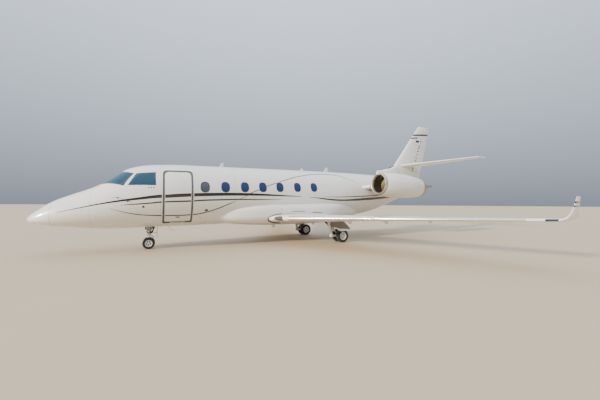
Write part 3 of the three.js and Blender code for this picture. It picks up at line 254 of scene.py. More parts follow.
def skin_row(station):
    """The fuselage section at a station. The nose tip is rounded off like an egg."""
    tip = SECTIONS[1]
    if station >= tip[0]:
        return smooth_row(SECTIONS, min(station, LENGTH))
    share = math.sqrt(max(station, 0) / tip[0])
    middle = tip[3] - 0.007 * (1 - share)
    return [station, tip[1] * share, middle + (tip[2] - tip[3]) * share, middle,
            middle - (tip[3] - tip[4]) * share]


def skin_ring(station, inset=0.0):
    _, half, top, middle, bottom = skin_row(station)
    ring = []
    for k in range(SKIN_SIDES):
        angle = 2 * math.pi * k / SKIN_SIDES
        rise = (top - middle if math.cos(angle) > 0 else middle - bottom) - inset
        ring.append((at(station), (half - inset) * math.sin(angle), middle + rise * math.cos(angle)))
    return ring


def stations_between(start, end, step=RING_STEP):
    count = max(2, round((end - start) / step))
    return [start + (end - start) * k / count for k in range(count + 1)]


def loft(rings, closed=True):
    """Points and faces of a body through rings of equal length, with flat ends if it is closed."""
    count = len(rings[0])
    points = [p for ring in rings for p in ring]
    faces = [
        (r * count + k, r * count + (k + 1) % count, (r + 1) * count + (k + 1) % count, (r + 1) * count + k)
        for r in range(len(rings) - 1) for k in range(count)]
    if closed:
        faces += [tuple(range(count))[::-1], tuple(range(len(points) - count, len(points)))]
    return points, faces


def tube(start, end, outer=0.0, inner=WALL):
    """A closed tube of skin between two stations, between two insets."""
    stops = stations_between(start, end)
    outside = [skin_ring(s, outer) for s in stops]
    inside = [skin_ring(s, inner) for s in reversed(stops)]
    rings = outside + inside
    return loft(rings + [rings[0]], closed=False)


def combined(piece, others, operation="DIFFERENCE"):
    """Cuts or joins other bodies, which are used up, and leaves a plain mesh."""
    for other in others:
        step = piece.modifiers.new("shape", "BOOLEAN")
        step.operation = operation
        step.solver = "MANIFOLD"
        step.object = other
    graph = bpy.context.evaluated_depsgraph_get()
    mesh = bpy.data.meshes.new_from_object(piece.evaluated_get(graph))
    piece.modifiers.clear()
    piece.data = mesh
    for other in others:
        bpy.data.objects.remove(other)
    shade(piece)
    return piece


def copy_of(piece, name):
    twin = bpy.data.objects.new(name, piece.data.copy())
    bpy.context.scene.collection.objects.link(twin)
    return twin


def box_body(low, high):
    corners = [(x, y, z) for x in (low[0], high[0]) for y in (low[1], high[1]) for z in (low[2], high[2])]
    faces = [(0, 1, 3, 2), (4, 6, 7, 5), (0, 4, 5, 1), (2, 3, 7, 6), (0, 2, 6, 4), (1, 5, 7, 3)]
    return new_piece("cutter", corners, faces, gloss_white)


gloss_white = finish(
    "gloss_white_polyurethane_enamel", "#e9e6df", 0.30, grain_mm=9, grain=0.012, tint=0.018, tint_m=0.9,
    Coat_Weight=0.9, Coat_Roughness=0.04)
satin_grey = finish(
    "satin_grey_enamel", "#8f9396", 0.42, grain_mm=9, grain=0.02, tint=0.05, tint_m=0.35)


def outline_prism(outline, low, high, across="y", name="cutter"):
    """A prism along x, y or z on an outline in the other two axes."""
    def placed(a, b, c):
        return {"x": (c, a, b), "y": (a, c, b), "z": (a, b, c)}[across]
    rings = [[placed(a, b, c) for a, b in outline] for c in (low, high)]
    return new_piece(name, *loft(rings), gloss_white)


def rounded(corners, radii, steps=6):
    """An outline with its corners rounded off, each by its own radius."""
    outline = []
    for k, corner in enumerate(corners):
        here = Vector(corner)
        before = Vector(corners[k - 1]) - here
        after = Vector(corners[(k + 1) % len(corners)]) - here
        reach = min(radii[k], before.length / 2.2, after.length / 2.2)
        start = here + before.normalized() * reach
        end = here + after.normalized() * reach
        for n in range(steps + 1):
            t = n / steps
            point = start * (1 - t) ** 2 + here * 2 * t * (1 - t) + end * t ** 2
            outline.append((point.x, point.y))
    return outline


# Openings in the skins: windscreen panes, cabin windows, the entrance and the nose gear's bay
FRONT_PANE = [(1.800, 0.032, 2.262), (2.560, 0.822, 2.262), (2.872, 0.690, 2.668), (2.520, 0.300, 2.732),
              (2.455, 0.032, 2.748)]
SIDE_PANE = [(2.748, 0.950, 2.278), (3.005, 0.755, 2.655), (3.530, 0.800, 2.735), (3.552, 1.070, 2.278)]
WINDOW_STATIONS = [5.137, 5.868, 6.611, 7.343, 8.087, 8.898, 9.714]
WINDOW_HALF = (0.155, 0.192)
DOOR = (3.790, 4.705, 0.985, 2.810)
DOOR_CORNERS = [0.040, 0.040, 0.150, 0.150]
SLOPE = 0.02
NOSE_AXLE = 3.335


def pane_cutter(corners, shrink, corner):
    """A prism standing square on the slanted plane through a pane's corners."""
    points = [Vector((at(s), y, z)) for s, y, z in corners]
    centre = sum(points, Vector()) / len(points)
    normal = Vector()
    for k, point in enumerate(points):
        normal += (point - centre).cross(points[(k + 1) % len(points)] - centre)
    normal.normalize()
    across = Vector((1, 0, 0))
    across = (across - normal * across.dot(normal)).normalized()
    upward = normal.cross(across)
    flat = []
    for point in points:
        arm = point - centre
        arm = arm * (arm.length - shrink * 1.3) / arm.length
        flat.append((arm.dot(across), arm.dot(upward)))
    outline = rounded(flat, [corner] * len(flat))
    rings = [[centre + across * a + upward * b + normal * c for a, b in outline] for c in (-0.26, 0.26)]
    return new_piece("cutter", *loft(rings), gloss_white)


def mirror_of(piece, name):
    """The same piece on the jet's left side."""
    twin = copy_of(piece, name)
    twin.data.transform(Matrix.Scale(-1, 4, (0, 1, 0)))
    twin.data.flip_normals()
    return twin


def window_height(station):
    return 2.259 + 0.029 * (station - WINDOW_STATIONS[0])


def oval(centre_a, centre_b, half_a, half_b, sides=32, power=2.5):
    outline = []
    for k in range(sides):
        c, s = math.cos(2 * math.pi * k / sides), math.sin(2 * math.pi * k / sides)
        outline.append((
            centre_a + half_a * math.copysign(abs(c) ** (2 / power), c),
            centre_b + half_b * math.copysign(abs(s) ** (2 / power), s)))
    return outline


def doorway(shrink):
    """The entrance's outline in side view, sheared to the jet's slight nose-down stance."""
    start, end, sill, top = DOOR
    middle = (start + end) / 2
    corners = [
        (at(s), z + SLOPE * (s - middle))
        for s, z in ((start + shrink, sill + shrink), (end - shrink, sill + shrink),
                     (end - shrink, top - shrink), (start + shrink, top - shrink))]
    return rounded(corners, DOOR_CORNERS)


def skin_cutters(name):
    """The cutters for one section, made afresh because each cut uses them up."""
    cutters = []
    if name == "cockpit_shell":
        for corners, corner in ((FRONT_PANE, 0.060), (SIDE_PANE, 0.070)):
            cutter = pane_cutter(corners, 0, corner)
            cutters += [cutter, mirror_of(cutter, "cutter")]
        cutters.append(box_body((at(NOSE_AXLE) - 0.15, -0.17, 0.6), (at(NOSE_AXLE) + 0.26, 0.17, 1.04)))
    if name == "forward_cabin_shell":
        cutters.append(outline_prism(doorway(0), -1.5, -0.33))
    if name in ("forward_cabin_shell", "centre_cabin_shell"):
        for station in WINDOW_STATIONS:
            if (station < MID_CABIN_SEAM) == (name == "forward_cabin_shell"):
                outline = oval(at(station), window_height(station), *WINDOW_HALF)
                cutters += [outline_prism(outline, 0.85, 1.4), outline_prism(outline, -1.4, -0.85)]
    return cutters


def outward(station, y, z):
    """The skin's normal, from how its ellipse changes along the body."""
    def level(s):
        _, half, top, middle, bottom = skin_row(s)
        rise = top - middle if z > middle else middle - bottom
        return (y / half) ** 2 + ((z - middle) / rise) ** 2
    _, half, top, middle, bottom = skin_row(station)
    rise = top - middle if z > middle else middle - bottom
    along = (level(station + 0.005) - level(max(station - 0.005, 0.0005))) / 0.01
    return Vector((along, 2 * y / half ** 2, 2 * (z - middle) / rise ** 2)).normalized()


def true_normals(piece):
    """Gives the outer skin the loft's own normals, so that cut edges leave no dents in the gloss."""
    mesh = piece.data
    normals = []
    for polygon in mesh.polygons:
        for loop in polygon.loop_indices:
            x, y, z = mesh.vertices[mesh.loops[loop].vertex_index].co
            direction = outward(x + LENGTH / 2, y, z)
            on_skin = direction.dot(polygon.normal) > 0.93
            normals.append(direction if on_skin else polygon.normal)
    mesh.normals_split_custom_set(normals)


def nose_stations(end):
    """Rings close together at the round tip, then evenly spaced."""
    tip = [SECTIONS[1][0] * (k / 12) ** 2 for k in range(12)]
    return [s + 0.0002 for s in tip] + stations_between(SECTIONS[1][0], end, 0.05)


def fixed(piece, body, slot, *nodes):
    """Fixes a piece to a body and hides the imported solids it stands for; its slot is not used."""
    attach(piece, body)
    if nodes:
        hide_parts(*nodes)
    return piece


def skin_section(name, start, end, solid=False):
    if solid:
        stops = nose_stations(end - SEAM) if start == 0 else stations_between(start + SEAM, end - SEAM)
        piece = new_piece(name + "_skin", *loft([skin_ring(s) for s in stops]), gloss_white)
    else:
        piece = new_piece(name + "_skin", *tube(start + SEAM, end - SEAM), gloss_white)
    cutters = skin_cutters(name)
    if cutters:
        combined(piece, cutters)
    true_normals(piece)
    return fixed(piece, "airframe", "airframe_paint", name)


skin_section("radome", 0, NOSE_SEAM, solid=True)
skin_section("nose_section", NOSE_SEAM, COCKPIT_SEAM, solid=True)
skin_section("cockpit_shell", COCKPIT_SEAM, DOOR_FRAME_SEAM)
skin_section("forward_cabin_shell", DOOR_FRAME_SEAM, MID_CABIN_SEAM)
skin_section("centre_cabin_shell", MID_CABIN_SEAM, AFT_BULKHEAD)
skin_section("aft_fuselage", AFT_BULKHEAD, CONE_SEAM)


# Tail cone: fire-proof sheet in satin grey. The auxiliary power unit breathes out through its sooty end.
EXHAUST_DEPTH = 0.160
EXHAUST_HEIGHT = 2.830


def turned(name, profile, origin, direction, material, sides=48, hollow=False, sharp=32):
    """A body of revolution: rows of distance and radius along a direction. A hollow one closes on itself."""
    origin, way = Vector(origin), Vector(direction).normalized()
    first = Vector((0, 0, 1)) if abs(way.z) < 0.9 else Vector((1, 0, 0))
    first = (first - way * first.dot(way)).normalized()
    second = way.cross(first)
    rings = []
    for distance, radius in profile:
        centre = origin + way * distance
        rings.append([
            centre + (first * math.cos(turn) + second * math.sin(turn)) * radius
            for turn in [2 * math.pi * k / sides for k in range(sides)]])
    points, faces = loft(rings + rings[:1], closed=False) if hollow else loft(rings)
    return new_piece(name, points, faces, material, sharp)


def rod(start, end, radius, material, end_radius=None, sides=24, name="cutter", edge=0.0):
    """A round bar or cone with its two rims eased by edge."""
    start, end = Vector(start), Vector(end)
    length = (end - start).length
    last = radius if end_radius is None else end_radius
    profile = [(0, 0), (0, radius - edge), (edge, radius), (length - edge, last),
               (length, last - edge), (length, 0)]
    return turned(name, profile, start, end - start, material, sides)


soot = finish("sooty_heat_stained_steel", "#2b2724", 0.75, metallic=0.3, grain_mm=6, grain=0.2,
              tint=0.4, tint_m=0.05)
cone = new_piece(
    "tail_cone_skin", *loft([skin_ring(s) for s in stations_between(CONE_SEAM + SEAM, LENGTH)]), satin_grey)
combined(cone, [rod(
    (at(LENGTH) - EXHAUST_DEPTH, 0, EXHAUST_HEIGHT),
    (at(LENGTH) + 0.01, 0, EXHAUST_HEIGHT), 0.060, satin_grey,
    0.066, 40)])
true_normals(cone)
fixed(cone, "airframe", "grey_paint", "tail_cone")
liner_profile = [(0, 0.0597), (0.155, 0.0650), (0.155, 0.0625), (0.006, 0.0572), (0.006, 0), (0, 0)]
fixed(turned(
    "tail_exhaust_liner", liner_profile, (at(LENGTH) - EXHAUST_DEPTH, 0, EXHAUST_HEIGHT),
    (1, 0, 0), soot, 40),
    "airframe", "grey_paint")


# Wings: boxes of machined aluminium skins, white above and below, sweeping back to the winglets.
# Each is one foil lofted from root to tip, with the bays of its slat, flap and aileron cut out of it.
MOVING_GAP = 0.008
FOIL_STEPS = 34
WING_ROOT = 1.150
WING_TIP = 8.660
# y, leading edge station, leading edge height, chord, thickness share, rise of the trailing edge
WING = [
    (1.150, 7.517, 1.069, 2.890, 0.125, -0.022),
    (4.400, 9.710, 1.176, 1.750, 0.110, 0.016),
    (8.400, 11.792, 1.284, 1.012, 0.100, 0.028),
    (8.660, 11.925, 1.296, 0.965, 0.095, 0.028),
]
UPRIGHT = math.pi / 2


def straight_row(rows, value):
    """The row at a value of the first column, on straight lines through the table."""
    k = next((n for n in range(len(rows) - 2) if rows[n + 1][0] >= value), len(rows) - 2)
    t = (value - rows[k][0]) / (rows[k + 1][0] - rows[k][0])
    return [a + (b - a) * t for a, b in zip(rows[k], rows[k + 1])]


def half_thickness(share, thickness):
    return 5 * thickness * (
        0.2969 * math.sqrt(share) - 0.126 * share - 0.3516 * share ** 2
        + 0.2843 * share ** 3 - 0.1015 * share ** 4)


def foil_ring(leading, chord, thickness, rise=0.0, lean=0.0):
    """One foil section. Its thickness stands along z, or leans over by an angle towards y."""
    shares = [(1 - math.cos(math.pi * k / FOIL_STEPS)) / 2 for k in range(FOIL_STEPS + 1)]
    outline = [(t, half_thickness(t, thickness)) for t in reversed(shares)]
    outline += [(t, -half_thickness(t, thickness)) for t in shares[1:]]
    ring = []
    for t, half in outline:
        offset = half * chord + t * rise
        ring.append((
            leading[0] + t * chord, leading[1] - offset * math.sin(lean),
            leading[2] + offset * math.cos(lean)))
    return ring


def wing_ring(y):
    _, station, z, chord, thickness, rise = straight_row(WING, y)
    return foil_ring((at(station), y, z), chord, thickness, rise)


def wing_body(name, material):
    stops = stations_between(WING_ROOT, 4.4, 0.3) + stations_between(4.4, 8.4, 0.3)[1:] + [WING_TIP]
    return new_piece(name, *loft([wing_ring(y) for y in stops]), material)


def wing_point(y, share):
    """A point on the wing's chord line, and the half thickness there."""
    _, station, z, chord, thickness, rise = straight_row(WING, y)
    point = Vector((at(station) + share * chord, y, z + share * rise))
    return point, half_thickness(share, thickness) * chord


def plan_cutter(start, end, reach, grow, behind):
    """A tall prism square to a hinge line, reaching aft, or forward if reach is negative."""
    line = Vector((end.x - start.x, end.y - start.y)).normalized()
    square = Vector((line.y, -line.x))
    low = start.xy - line * grow + square * behind
    high = end.xy + line * grow + square * behind
    outline = [low, high, high + square * reach, low + square * reach]
    return outline_prism([tuple(p) for p in outline], 0, 7, across="z")


def gathered(name, pieces):
    """One mesh object out of several of the same finish."""
    work = bmesh.new()
    for piece in pieces:
        work.from_mesh(piece.data)
    mesh = bpy.data.meshes.new(name)
    work.to_mesh(mesh)
    work.free()
    mesh.materials.append(pieces[0].data.materials[0])
    for piece in pieces:
        bpy.data.objects.remove(piece)
    whole = bpy.data.objects.new(name, mesh)
    bpy.context.scene.collection.objects.link(whole)
    return whole


def fixed_pair(piece, body, slot, node=None):
    """Fixes a right-hand piece and its mirror image. A body with two sides has them in its name."""
    base = piece.name
    piece.name = base + "_right"
    for side, one in (("right", piece), ("left", mirror_of(piece, base + "_left"))):
        sided = body if body in ("airframe", "tailplane", "rudder") else f"{body}_{side}"
        fixed(one, sided, slot, *([f"{node}_{side}"] if node else []))


def hinge_plate(start, end, share, outline, low, high, material):
    """A plate square to a hinge line: its outline is aft and up from the line, its thickness along it."""
    along = (end - start).normalized()
    aft = along.cross(Vector((0, 0, 1))).normalized()
    rise = aft.cross(along)
    foot = start.lerp(end, share)
    rings = [[foot + aft * a + rise * b + along * c for a, b in outline] for c in (low, high)]
    return new_piece("plate", *loft(rings), material)


def lowered(point, drop):
    return point - Vector((0, 0, drop))


FLAP_SHARE = 0.74
FLAP_DROPS = (0.230, 0.150)
flap_start, _ = wing_point(2.450, FLAP_SHARE)
flap_end, _ = wing_point(6.050, FLAP_SHARE)
SLAT_SHARE = 0.13
SLAT_DROP = 0.450
slat_start, _ = wing_point(4.600, SLAT_SHARE)
slat_end, _ = wing_point(8.050, SLAT_SHARE)
AILERON_SHARE = 0.74
aileron_start, aileron_root_half = wing_point(6.230, AILERON_SHARE)
aileron_end, aileron_tip_half = wing_point(8.250, AILERON_SHARE)
NOSE_FIT = 0.96
aileron_line = (aileron_end - aileron_start).normalized() * MOVING_GAP
EDGE_SHARE = 0.075
edge_start, _ = wing_point(1.860, EDGE_SHARE)
edge_end, _ = wing_point(4.560, EDGE_SHARE)

wing = wing_body("wing_panel", gloss_white)
wing_cuts = [
    plan_cutter(flap_start, flap_end, 1.4, MOVING_GAP, 0),
    plan_cutter(slat_start, slat_end, -0.7, MOVING_GAP, 0),
    plan_cutter(aileron_start, aileron_end, 0.9, MOVING_GAP, 0),
    rod(aileron_start - aileron_line, aileron_end + aileron_line, aileron_root_half + MOVING_GAP, gloss_white,
        aileron_tip_half + MOVING_GAP, 32),
    plan_cutter(edge_start, edge_end, -0.7, 0.001, 0.0015),
]
combined(wing, wing_cuts)

# Jacking pad: a round steel plate on the underside, beside the main leg
bare_steel = finish("machined_steel", "#8f9194", 0.38, metallic=1.0, grain_mm=5, grain=0.03,
                    tint=0.05, tint_m=0.1)
pad_place = (at(9.650), 2.750, 0.960)
wing_pad = rod(pad_place, (pad_place[0], pad_place[1], 1.150), 0.060, bare_steel, sides=40,
               name="jack_pad", edge=0.004)
fixed_pair(wing_pad, "airframe", "gear_steel")

# Flap brackets: forged arms under the wing that each flap's own arms turn on
gear_white = finish("white_gear_enamel", "#d9d8d2", 0.38, grain_mm=7, grain=0.04, tint=0.05, tint_m=0.25)
flap_line = (lowered(flap_start, FLAP_DROPS[0]), lowered(flap_end, FLAP_DROPS[1]))
flap_arms, flap_brackets = [], []
for share in (0.12, 0.5, 0.88):
    rise = FLAP_DROPS[0] + share * (FLAP_DROPS[1] - FLAP_DROPS[0])
    arm = [(-0.022, -0.022), (0.022, -0.022), (0.19, rise - 0.036), (0.19, rise),
           (0.014, rise), (0.014, 0.06),
           (-0.022, 0.022)]
    flap_arms.append(hinge_plate(*flap_line, share, arm, 0, 0.018, gloss_white))
    bracket = [(-0.022, -0.022), (0.022, -0.022), (0.026, 0.01), (0, 0.04), (-0.012, rise), (-0.42, rise),
               (-0.3, rise - 0.09), (-0.09, 0)]
    flap_brackets.append(hinge_plate(
        *flap_line, share, rounded(bracket, [0.012] * 4 + [0.02, 0.05, 0.16, 0.12]), -0.0403,
        -0.0003, gloss_white))
fixed_pair(gathered("flap_brackets", flap_brackets), "airframe", "airframe_paint")
fixed_pair(wing, "airframe", "airframe_paint", "wing")


# Flaps: riveted aluminium panels, white, each on three arms that turn about a line below the wing.
flap = wing_body("flap_panel", gloss_white)
combined(flap, [plan_cutter(flap_start, flap_end, 1.4, 0, MOVING_GAP)], "INTERSECT")
flap = gathered("flap_panel", [flap] + flap_arms)
fixed_pair(flap, "flap", "airframe_paint", "flap")


# Ailerons: light trailing-edge panels with a round nose that turns inside the wing's hollow.
aileron = wing_body("aileron_panel", gloss_white)
combined(aileron, [plan_cutter(aileron_start, aileron_end, 0.9, 0, 0)], "INTERSECT")
nose = rod(
    aileron_start, aileron_end, aileron_root_half * NOSE_FIT, gloss_white, aileron_tip_half * NOSE_FIT, 32)
combined(aileron, [nose], "UNION")
fixed_pair(aileron, "aileron", "airframe_paint", "aileron")


# Leading edges: stretched aluminium, polished to a mirror because ice forms there and paint would not last.
# The inner one is screwed to the wing, and the outer one is the slat, on two curved steel arms.
polished = finish(
    "polished_aluminium_leading_edge", "#ece7dc", 0.20, metallic=0.85, grain_mm=12, grain=0.01, tint=0.03,
    tint_m=0.3)
inner_edge = wing_body("inner_leading_edge", polished)
combined(inner_edge, [plan_cutter(edge_start, edge_end, -0.7, 0, 0)], "INTERSECT")
fixed_pair(inner_edge, "airframe", "polished_leading_edge")
slat = wing_body("slat_panel", polished)
combined(slat, [plan_cutter(slat_start, slat_end, -0.7, 0, -MOVING_GAP)], "INTERSECT")
slat_line = (lowered(slat_start, SLAT_DROP), lowered(slat_end, SLAT_DROP))
arm_outline = []
for radius, order in ((SLAT_DROP + 0.012, 1), (SLAT_DROP - 0.012, -1)):
    arc = [math.radians(-8 + 2 * k) for k in range(17)][::order]
    arm_outline += [(radius * math.sin(angle), radius * math.cos(angle)) for angle in arc]
slat_arms = [hinge_plate(*slat_line, share, arm_outline, -0.015, 0.015, polished) for share in (0.2, 0.8)]
fixed_pair(gathered("slat_panel", [slat] + slat_arms), "slat", "polished_leading_edge", "slat")


# Winglets: moulded carbon tips, white, curving up from the wing's end to a narrow raked point.
# height, y, leading edge station, chord, thickness share, lean, rise
WINGLET = [
    (1.296, 8.6603, 11.925, 0.965, 0.095, 0.00, 0.028),
    (1.345, 8.735, 12.020, 0.800, 0.090, 0.75, 0.012),
    (1.500, 8.800, 12.130, 0.490, 0.090, 1.25, 0.012),
    (1.865, 8.841, 12.330, 0.240, 0.085, 1.35, 0.012),
]


def winglet_ring(z, grow=0.0):
    _, y, station, chord, thickness, lean, rise = smooth_row(WINGLET, z)
    return foil_ring((at(station) - grow, y, z), chord + 2 * grow, thickness + 2 * grow / chord, rise, lean)


winglet_stops = [1.296 + 0.004 * k for k in range(12)] + stations_between(1.345, 1.865, 0.03)
winglet = new_piece("winglet_blade", *loft([winglet_ring(z) for z in winglet_stops]), gloss_white)
fixed_pair(winglet, "airframe", "airframe_paint", "winglet")


# Fin and rudder: swept, white, the rudder with a round nose in the fin's hollow, a light on the fin's cap.
# height, leading edge station, chord, thickness share
FIN = [
    (3.000, 15.010, 2.790, 0.100),
    (6.400, 17.786, 1.010, 0.095),
    (6.460, 17.900, 0.900, 0.060),
]
RUDDER_FOOT = (17.040, 3.545)
RUDDER_HEAD = (18.150, 6.175)
TRIM_PIVOT = (16.900, 3.955)


def fin_body(name, grow=0.0):
    rings = []
    for z in stations_between(FIN[0][0], FIN[1][0], 0.3) + [FIN[2][0]]:
        _, station, chord, thickness = straight_row(FIN, z)
        rings.append(foil_ring(
            (at(station) - grow, 0, z), chord + 2 * grow, thickness + 2 * grow / chord, lean=UPRIGHT))
    return new_piece(name, *loft(rings), gloss_white)


def fin_half_thickness(station, z):
    _, leading, chord, thickness = straight_row(FIN[:2], z)
    return half_thickness((station - leading) / chord, 0.1) * chord


def rudder_cutter(grow):
    """A prism on the rudder's side, square to its hinge line."""
    foot, head = (Vector((at(s), z)) for s, z in (RUDDER_FOOT, RUDDER_HEAD))
    line = (head - foot).normalized()
    square = Vector((line.y, -line.x)) * 1.6
    outline = [foot - line * grow, head + line * grow, head + line * grow + square,
               foot - line * grow + square]
    return outline_prism([tuple(p) for p in outline], -0.4, 0.4)


rudder_foot, rudder_head = (Vector((at(s), 0, z)) for s, z in (RUDDER_FOOT, RUDDER_HEAD))
rudder_line = (rudder_head - rudder_foot).normalized() * MOVING_GAP
foot_half, head_half = fin_half_thickness(*RUDDER_FOOT), fin_half_thickness(*RUDDER_HEAD)
fin = fin_body("fin_box")
combined(fin, [
    rudder_cutter(MOVING_GAP),
    rod(rudder_foot - rudder_line, rudder_head + rudder_line, foot_half + MOVING_GAP, gloss_white,
        head_half + MOVING_GAP, 32),
])
beacon_mast = turned(
    "beacon_mast", [(0, 0), (0, 0.045), (0.03, 0.044), (0.042, 0.042), (0.042, 0)],
    (at(18.380), 0, 6.440), (0, 0, 1), gloss_white)
light_bar = turned(
    "light_bar", [(0, 0), (0.01, 0.02), (0.06, 0.034), (0.3, 0.031), (0.565, 0.023), (0.565, 0)],
    (at(18.250), 0, 6.425), (1, 0, 0), gloss_white)
fixed(gathered("fin_box", [fin, beacon_mast, light_bar]), "airframe", "airframe_paint", "fin")
rudder = fin_body("rudder_panel")
combined(rudder, [rudder_cutter(0)], "INTERSECT")
combined(rudder, [rod(rudder_foot, rudder_head, foot_half * NOSE_FIT, gloss_white, head_half * NOSE_FIT, 32)],
         "UNION")
rear_clearance = new_piece(
    "cutter", *loft([skin_ring(s, -MOVING_GAP) for s in stations_between(15.0, LENGTH)]), gloss_white)
combined(rudder, [rear_clearance])
fixed(rudder, "rudder", "airframe_paint", "rudder")


# Dorsal fairing: a moulded cover in front of the fin, with a small ram inlet at its front.
# station, half width, top
DORSAL = [
    (14.480, 0.070, 3.540),
    (14.900, 0.105, 3.610),
    (15.250, 0.125, 3.700),
    (15.750, 0.130, 3.870),
    (16.050, 0.110, 3.885),
]


def dorsal_ring(station):
    """Half the ring runs up the right side to the crest, and the other half mirrors it."""
    _, half, top = smooth_row(DORSAL, station)
    rows = [(half * 1.9, 3.05), (half * 1.3, 3.29), (half, top - 0.09), (half * 0.5, top - 0.012), (0, top)]
    side = []
    for k in range(len(rows) - 1):
        for n in range(5):
            y, z = smooth_row([(b, a) for a, b in rows],
                              rows[k][1] + (rows[k + 1][1] - rows[k][1]) * n / 5)[::-1]
            side.append((at(station), y, z))
    return side + [(at(station), 0, top)] + [(x, -y, z) for x, y, z in reversed(side)]


dorsal = new_piece(
    "dorsal_cover", *loft([dorsal_ring(s) for s in stations_between(14.48, 16.05, 0.05)]), gloss_white)
combined(dorsal, [
    fin_body("cutter", 0.0006),
    rod((at(14.400), 0, 3.440), (at(14.640), 0, 3.450), 0.042, gloss_white, 0.034, 32),
])
fixed(dorsal, "airframe", "airframe_paint", "dorsal_fairing")


# Tailplane and elevators: two halves on one trim pin through the fin, white, each with an elevator behind.
# y, leading edge station, height, chord, thickness share, rise
TAILPLANE = [
    (0.000, 16.104, 3.940, 1.668, 0.100, 0.012),
    (0.200, 16.217, 3.950, 1.613, 0.100, 0.012),
    (3.340, 17.996, 4.110, 0.770, 0.090, 0.012),
    (3.430, 18.080, 4.116, 0.690, 0.060, 0.010),
]
ELEVATOR_SHARE = 0.68
RUDDER_SWING = [(17.0, -0.2), (17.0, 0.13), (17.2, 0.14), (18.2, 0.56), (18.2, -0.2)]


def tail_ring(y):
    _, station, z, chord, thickness, rise = straight_row(TAILPLANE, y)
    return foil_ring((at(station), y, z), chord, thickness, rise)


def tail_body(name):
    stops = [0.0003, 0.2] + stations_between(0.2, 3.34, 0.3)[1:] + [3.43]
    return new_piece(name, *loft([tail_ring(y) for y in stops]), gloss_white)


def tail_point(y, share):
    _, station, z, chord, thickness, rise = straight_row(TAILPLANE, y)
    point = Vector((at(station) + share * chord, y, z + share * rise))
    return point, half_thickness(share, thickness) * chord


elevator_start, elevator_root_half = tail_point(0.640, ELEVATOR_SHARE)
elevator_end, elevator_tip_half = tail_point(3.200, ELEVATOR_SHARE)
elevator_line = (elevator_end - elevator_start).normalized() * MOVING_GAP
tailplane = tail_body("tailplane_half")
combined(tailplane, [
    plan_cutter(elevator_start, elevator_end, 0.8, MOVING_GAP, 0),
    rod(elevator_start - elevator_line, elevator_end + elevator_line,
        elevator_root_half + MOVING_GAP, gloss_white,
        elevator_tip_half + MOVING_GAP, 32),
    outline_prism([(at(s), y) for s, y in RUDDER_SWING], 3, 5, across="z"),
    fin_body("cutter", MOVING_GAP),
])
trim_pin = rod(
    (at(TRIM_PIVOT[0]), 0.0003, TRIM_PIVOT[1]), (at(TRIM_PIVOT[0]), 0.22, TRIM_PIVOT[1]), 0.014, bare_steel,
    name="trim_pin")
fixed_pair(tailplane, "tailplane", "airframe_paint", "tailplane")
fixed_pair(trim_pin, "tailplane", "gear_steel")
elevator = tail_body("elevator_panel")
combined(elevator, [plan_cutter(elevator_start, elevator_end, 0.8, 0, 0)], "INTERSECT")
combined(elevator, [rod(
    elevator_start, elevator_end, elevator_root_half * NOSE_FIT, gloss_white,
    elevator_tip_half * NOSE_FIT, 32)],
    "UNION")
fixed_pair(elevator, "elevator", "airframe_paint", "elevator")


# Engine nacelles: polished lip, white cowl doors over the fan and core, and a bare steel exhaust nozzle.
# Each is a body of revolution on a slightly drooped axis, with a real duct right through it.
ENGINE = Vector((at(12.774), 1.850, 2.620))
ENGINE_AXIS = Vector((1, 0, -0.035)).normalized()
# distance behind the lip, radius
NACELLE_OUTSIDE = [
    (0.000, 0.462), (0.018, 0.482), (0.070, 0.505), (0.260, 0.548), (0.620, 0.585), (1.000, 0.595),
    (1.700, 0.580), (2.300, 0.520), (2.960, 0.418)]
NACELLE_INSIDE = [
    (0.000, 0.462), (0.012, 0.445), (0.090, 0.416), (0.250, 0.412), (0.900, 0.436), (1.700, 0.440),
    (2.500, 0.425), (2.960, 0.392)]


WALL_RING_STEP = 0.03


def nacelle_wall(start, end):
    """A closed profile of the nacelle's wall between two distances behind the lip."""
    stops = [start + (end - start) * k / max(8, round((end - start) / WALL_RING_STEP))
             for k in range(max(8, round((end - start) / WALL_RING_STEP)) + 1)]
    if start == 0:
        stops = [end * (k / 16) ** 2 for k in range(17)]
    outside = [(d, smooth_row(NACELLE_OUTSIDE, d)[1]) for d in stops]
    inside = [(d, smooth_row(NACELLE_INSIDE, d)[1]) for d in reversed(stops)]
    return outside + (inside[:-1] if start == 0 else inside)


heat_steel = finish(
    "heat_tinted_stainless_steel", "#b5ada2", 0.34, metallic=1.0, grain_mm=10, grain=0.03,
    tint=0.18, tint_m=0.4)
# The lip's cream-grey is partly the metal's own tone and partly painted shade, darker than the lit metal
# would be
lip_metal = finish(
    "satin_inlet_lip_metal", "#c3b8a2", 0.30, metallic=0.75, grain_mm=10, grain=0.01, tint=0.03, tint_m=0.3)
LIP_DEPTH = 0.105
NOZZLE_START = 2.640
for name, start, end, material, node in (
        ("inlet_lip", 0, LIP_DEPTH, lip_metal, None),
        ("nacelle_cowl", LIP_DEPTH + SEAM, NOZZLE_START - SEAM, gloss_white, "nacelle"),
        ("exhaust_nozzle", NOZZLE_START, 2.960, heat_steel, None)):
    piece = turned(name, nacelle_wall(start, end), ENGINE, ENGINE_AXIS, material, 112, hollow=True)
    fixed_pair(piece, "airframe", "airframe_paint" if node else "engine_metal", node)
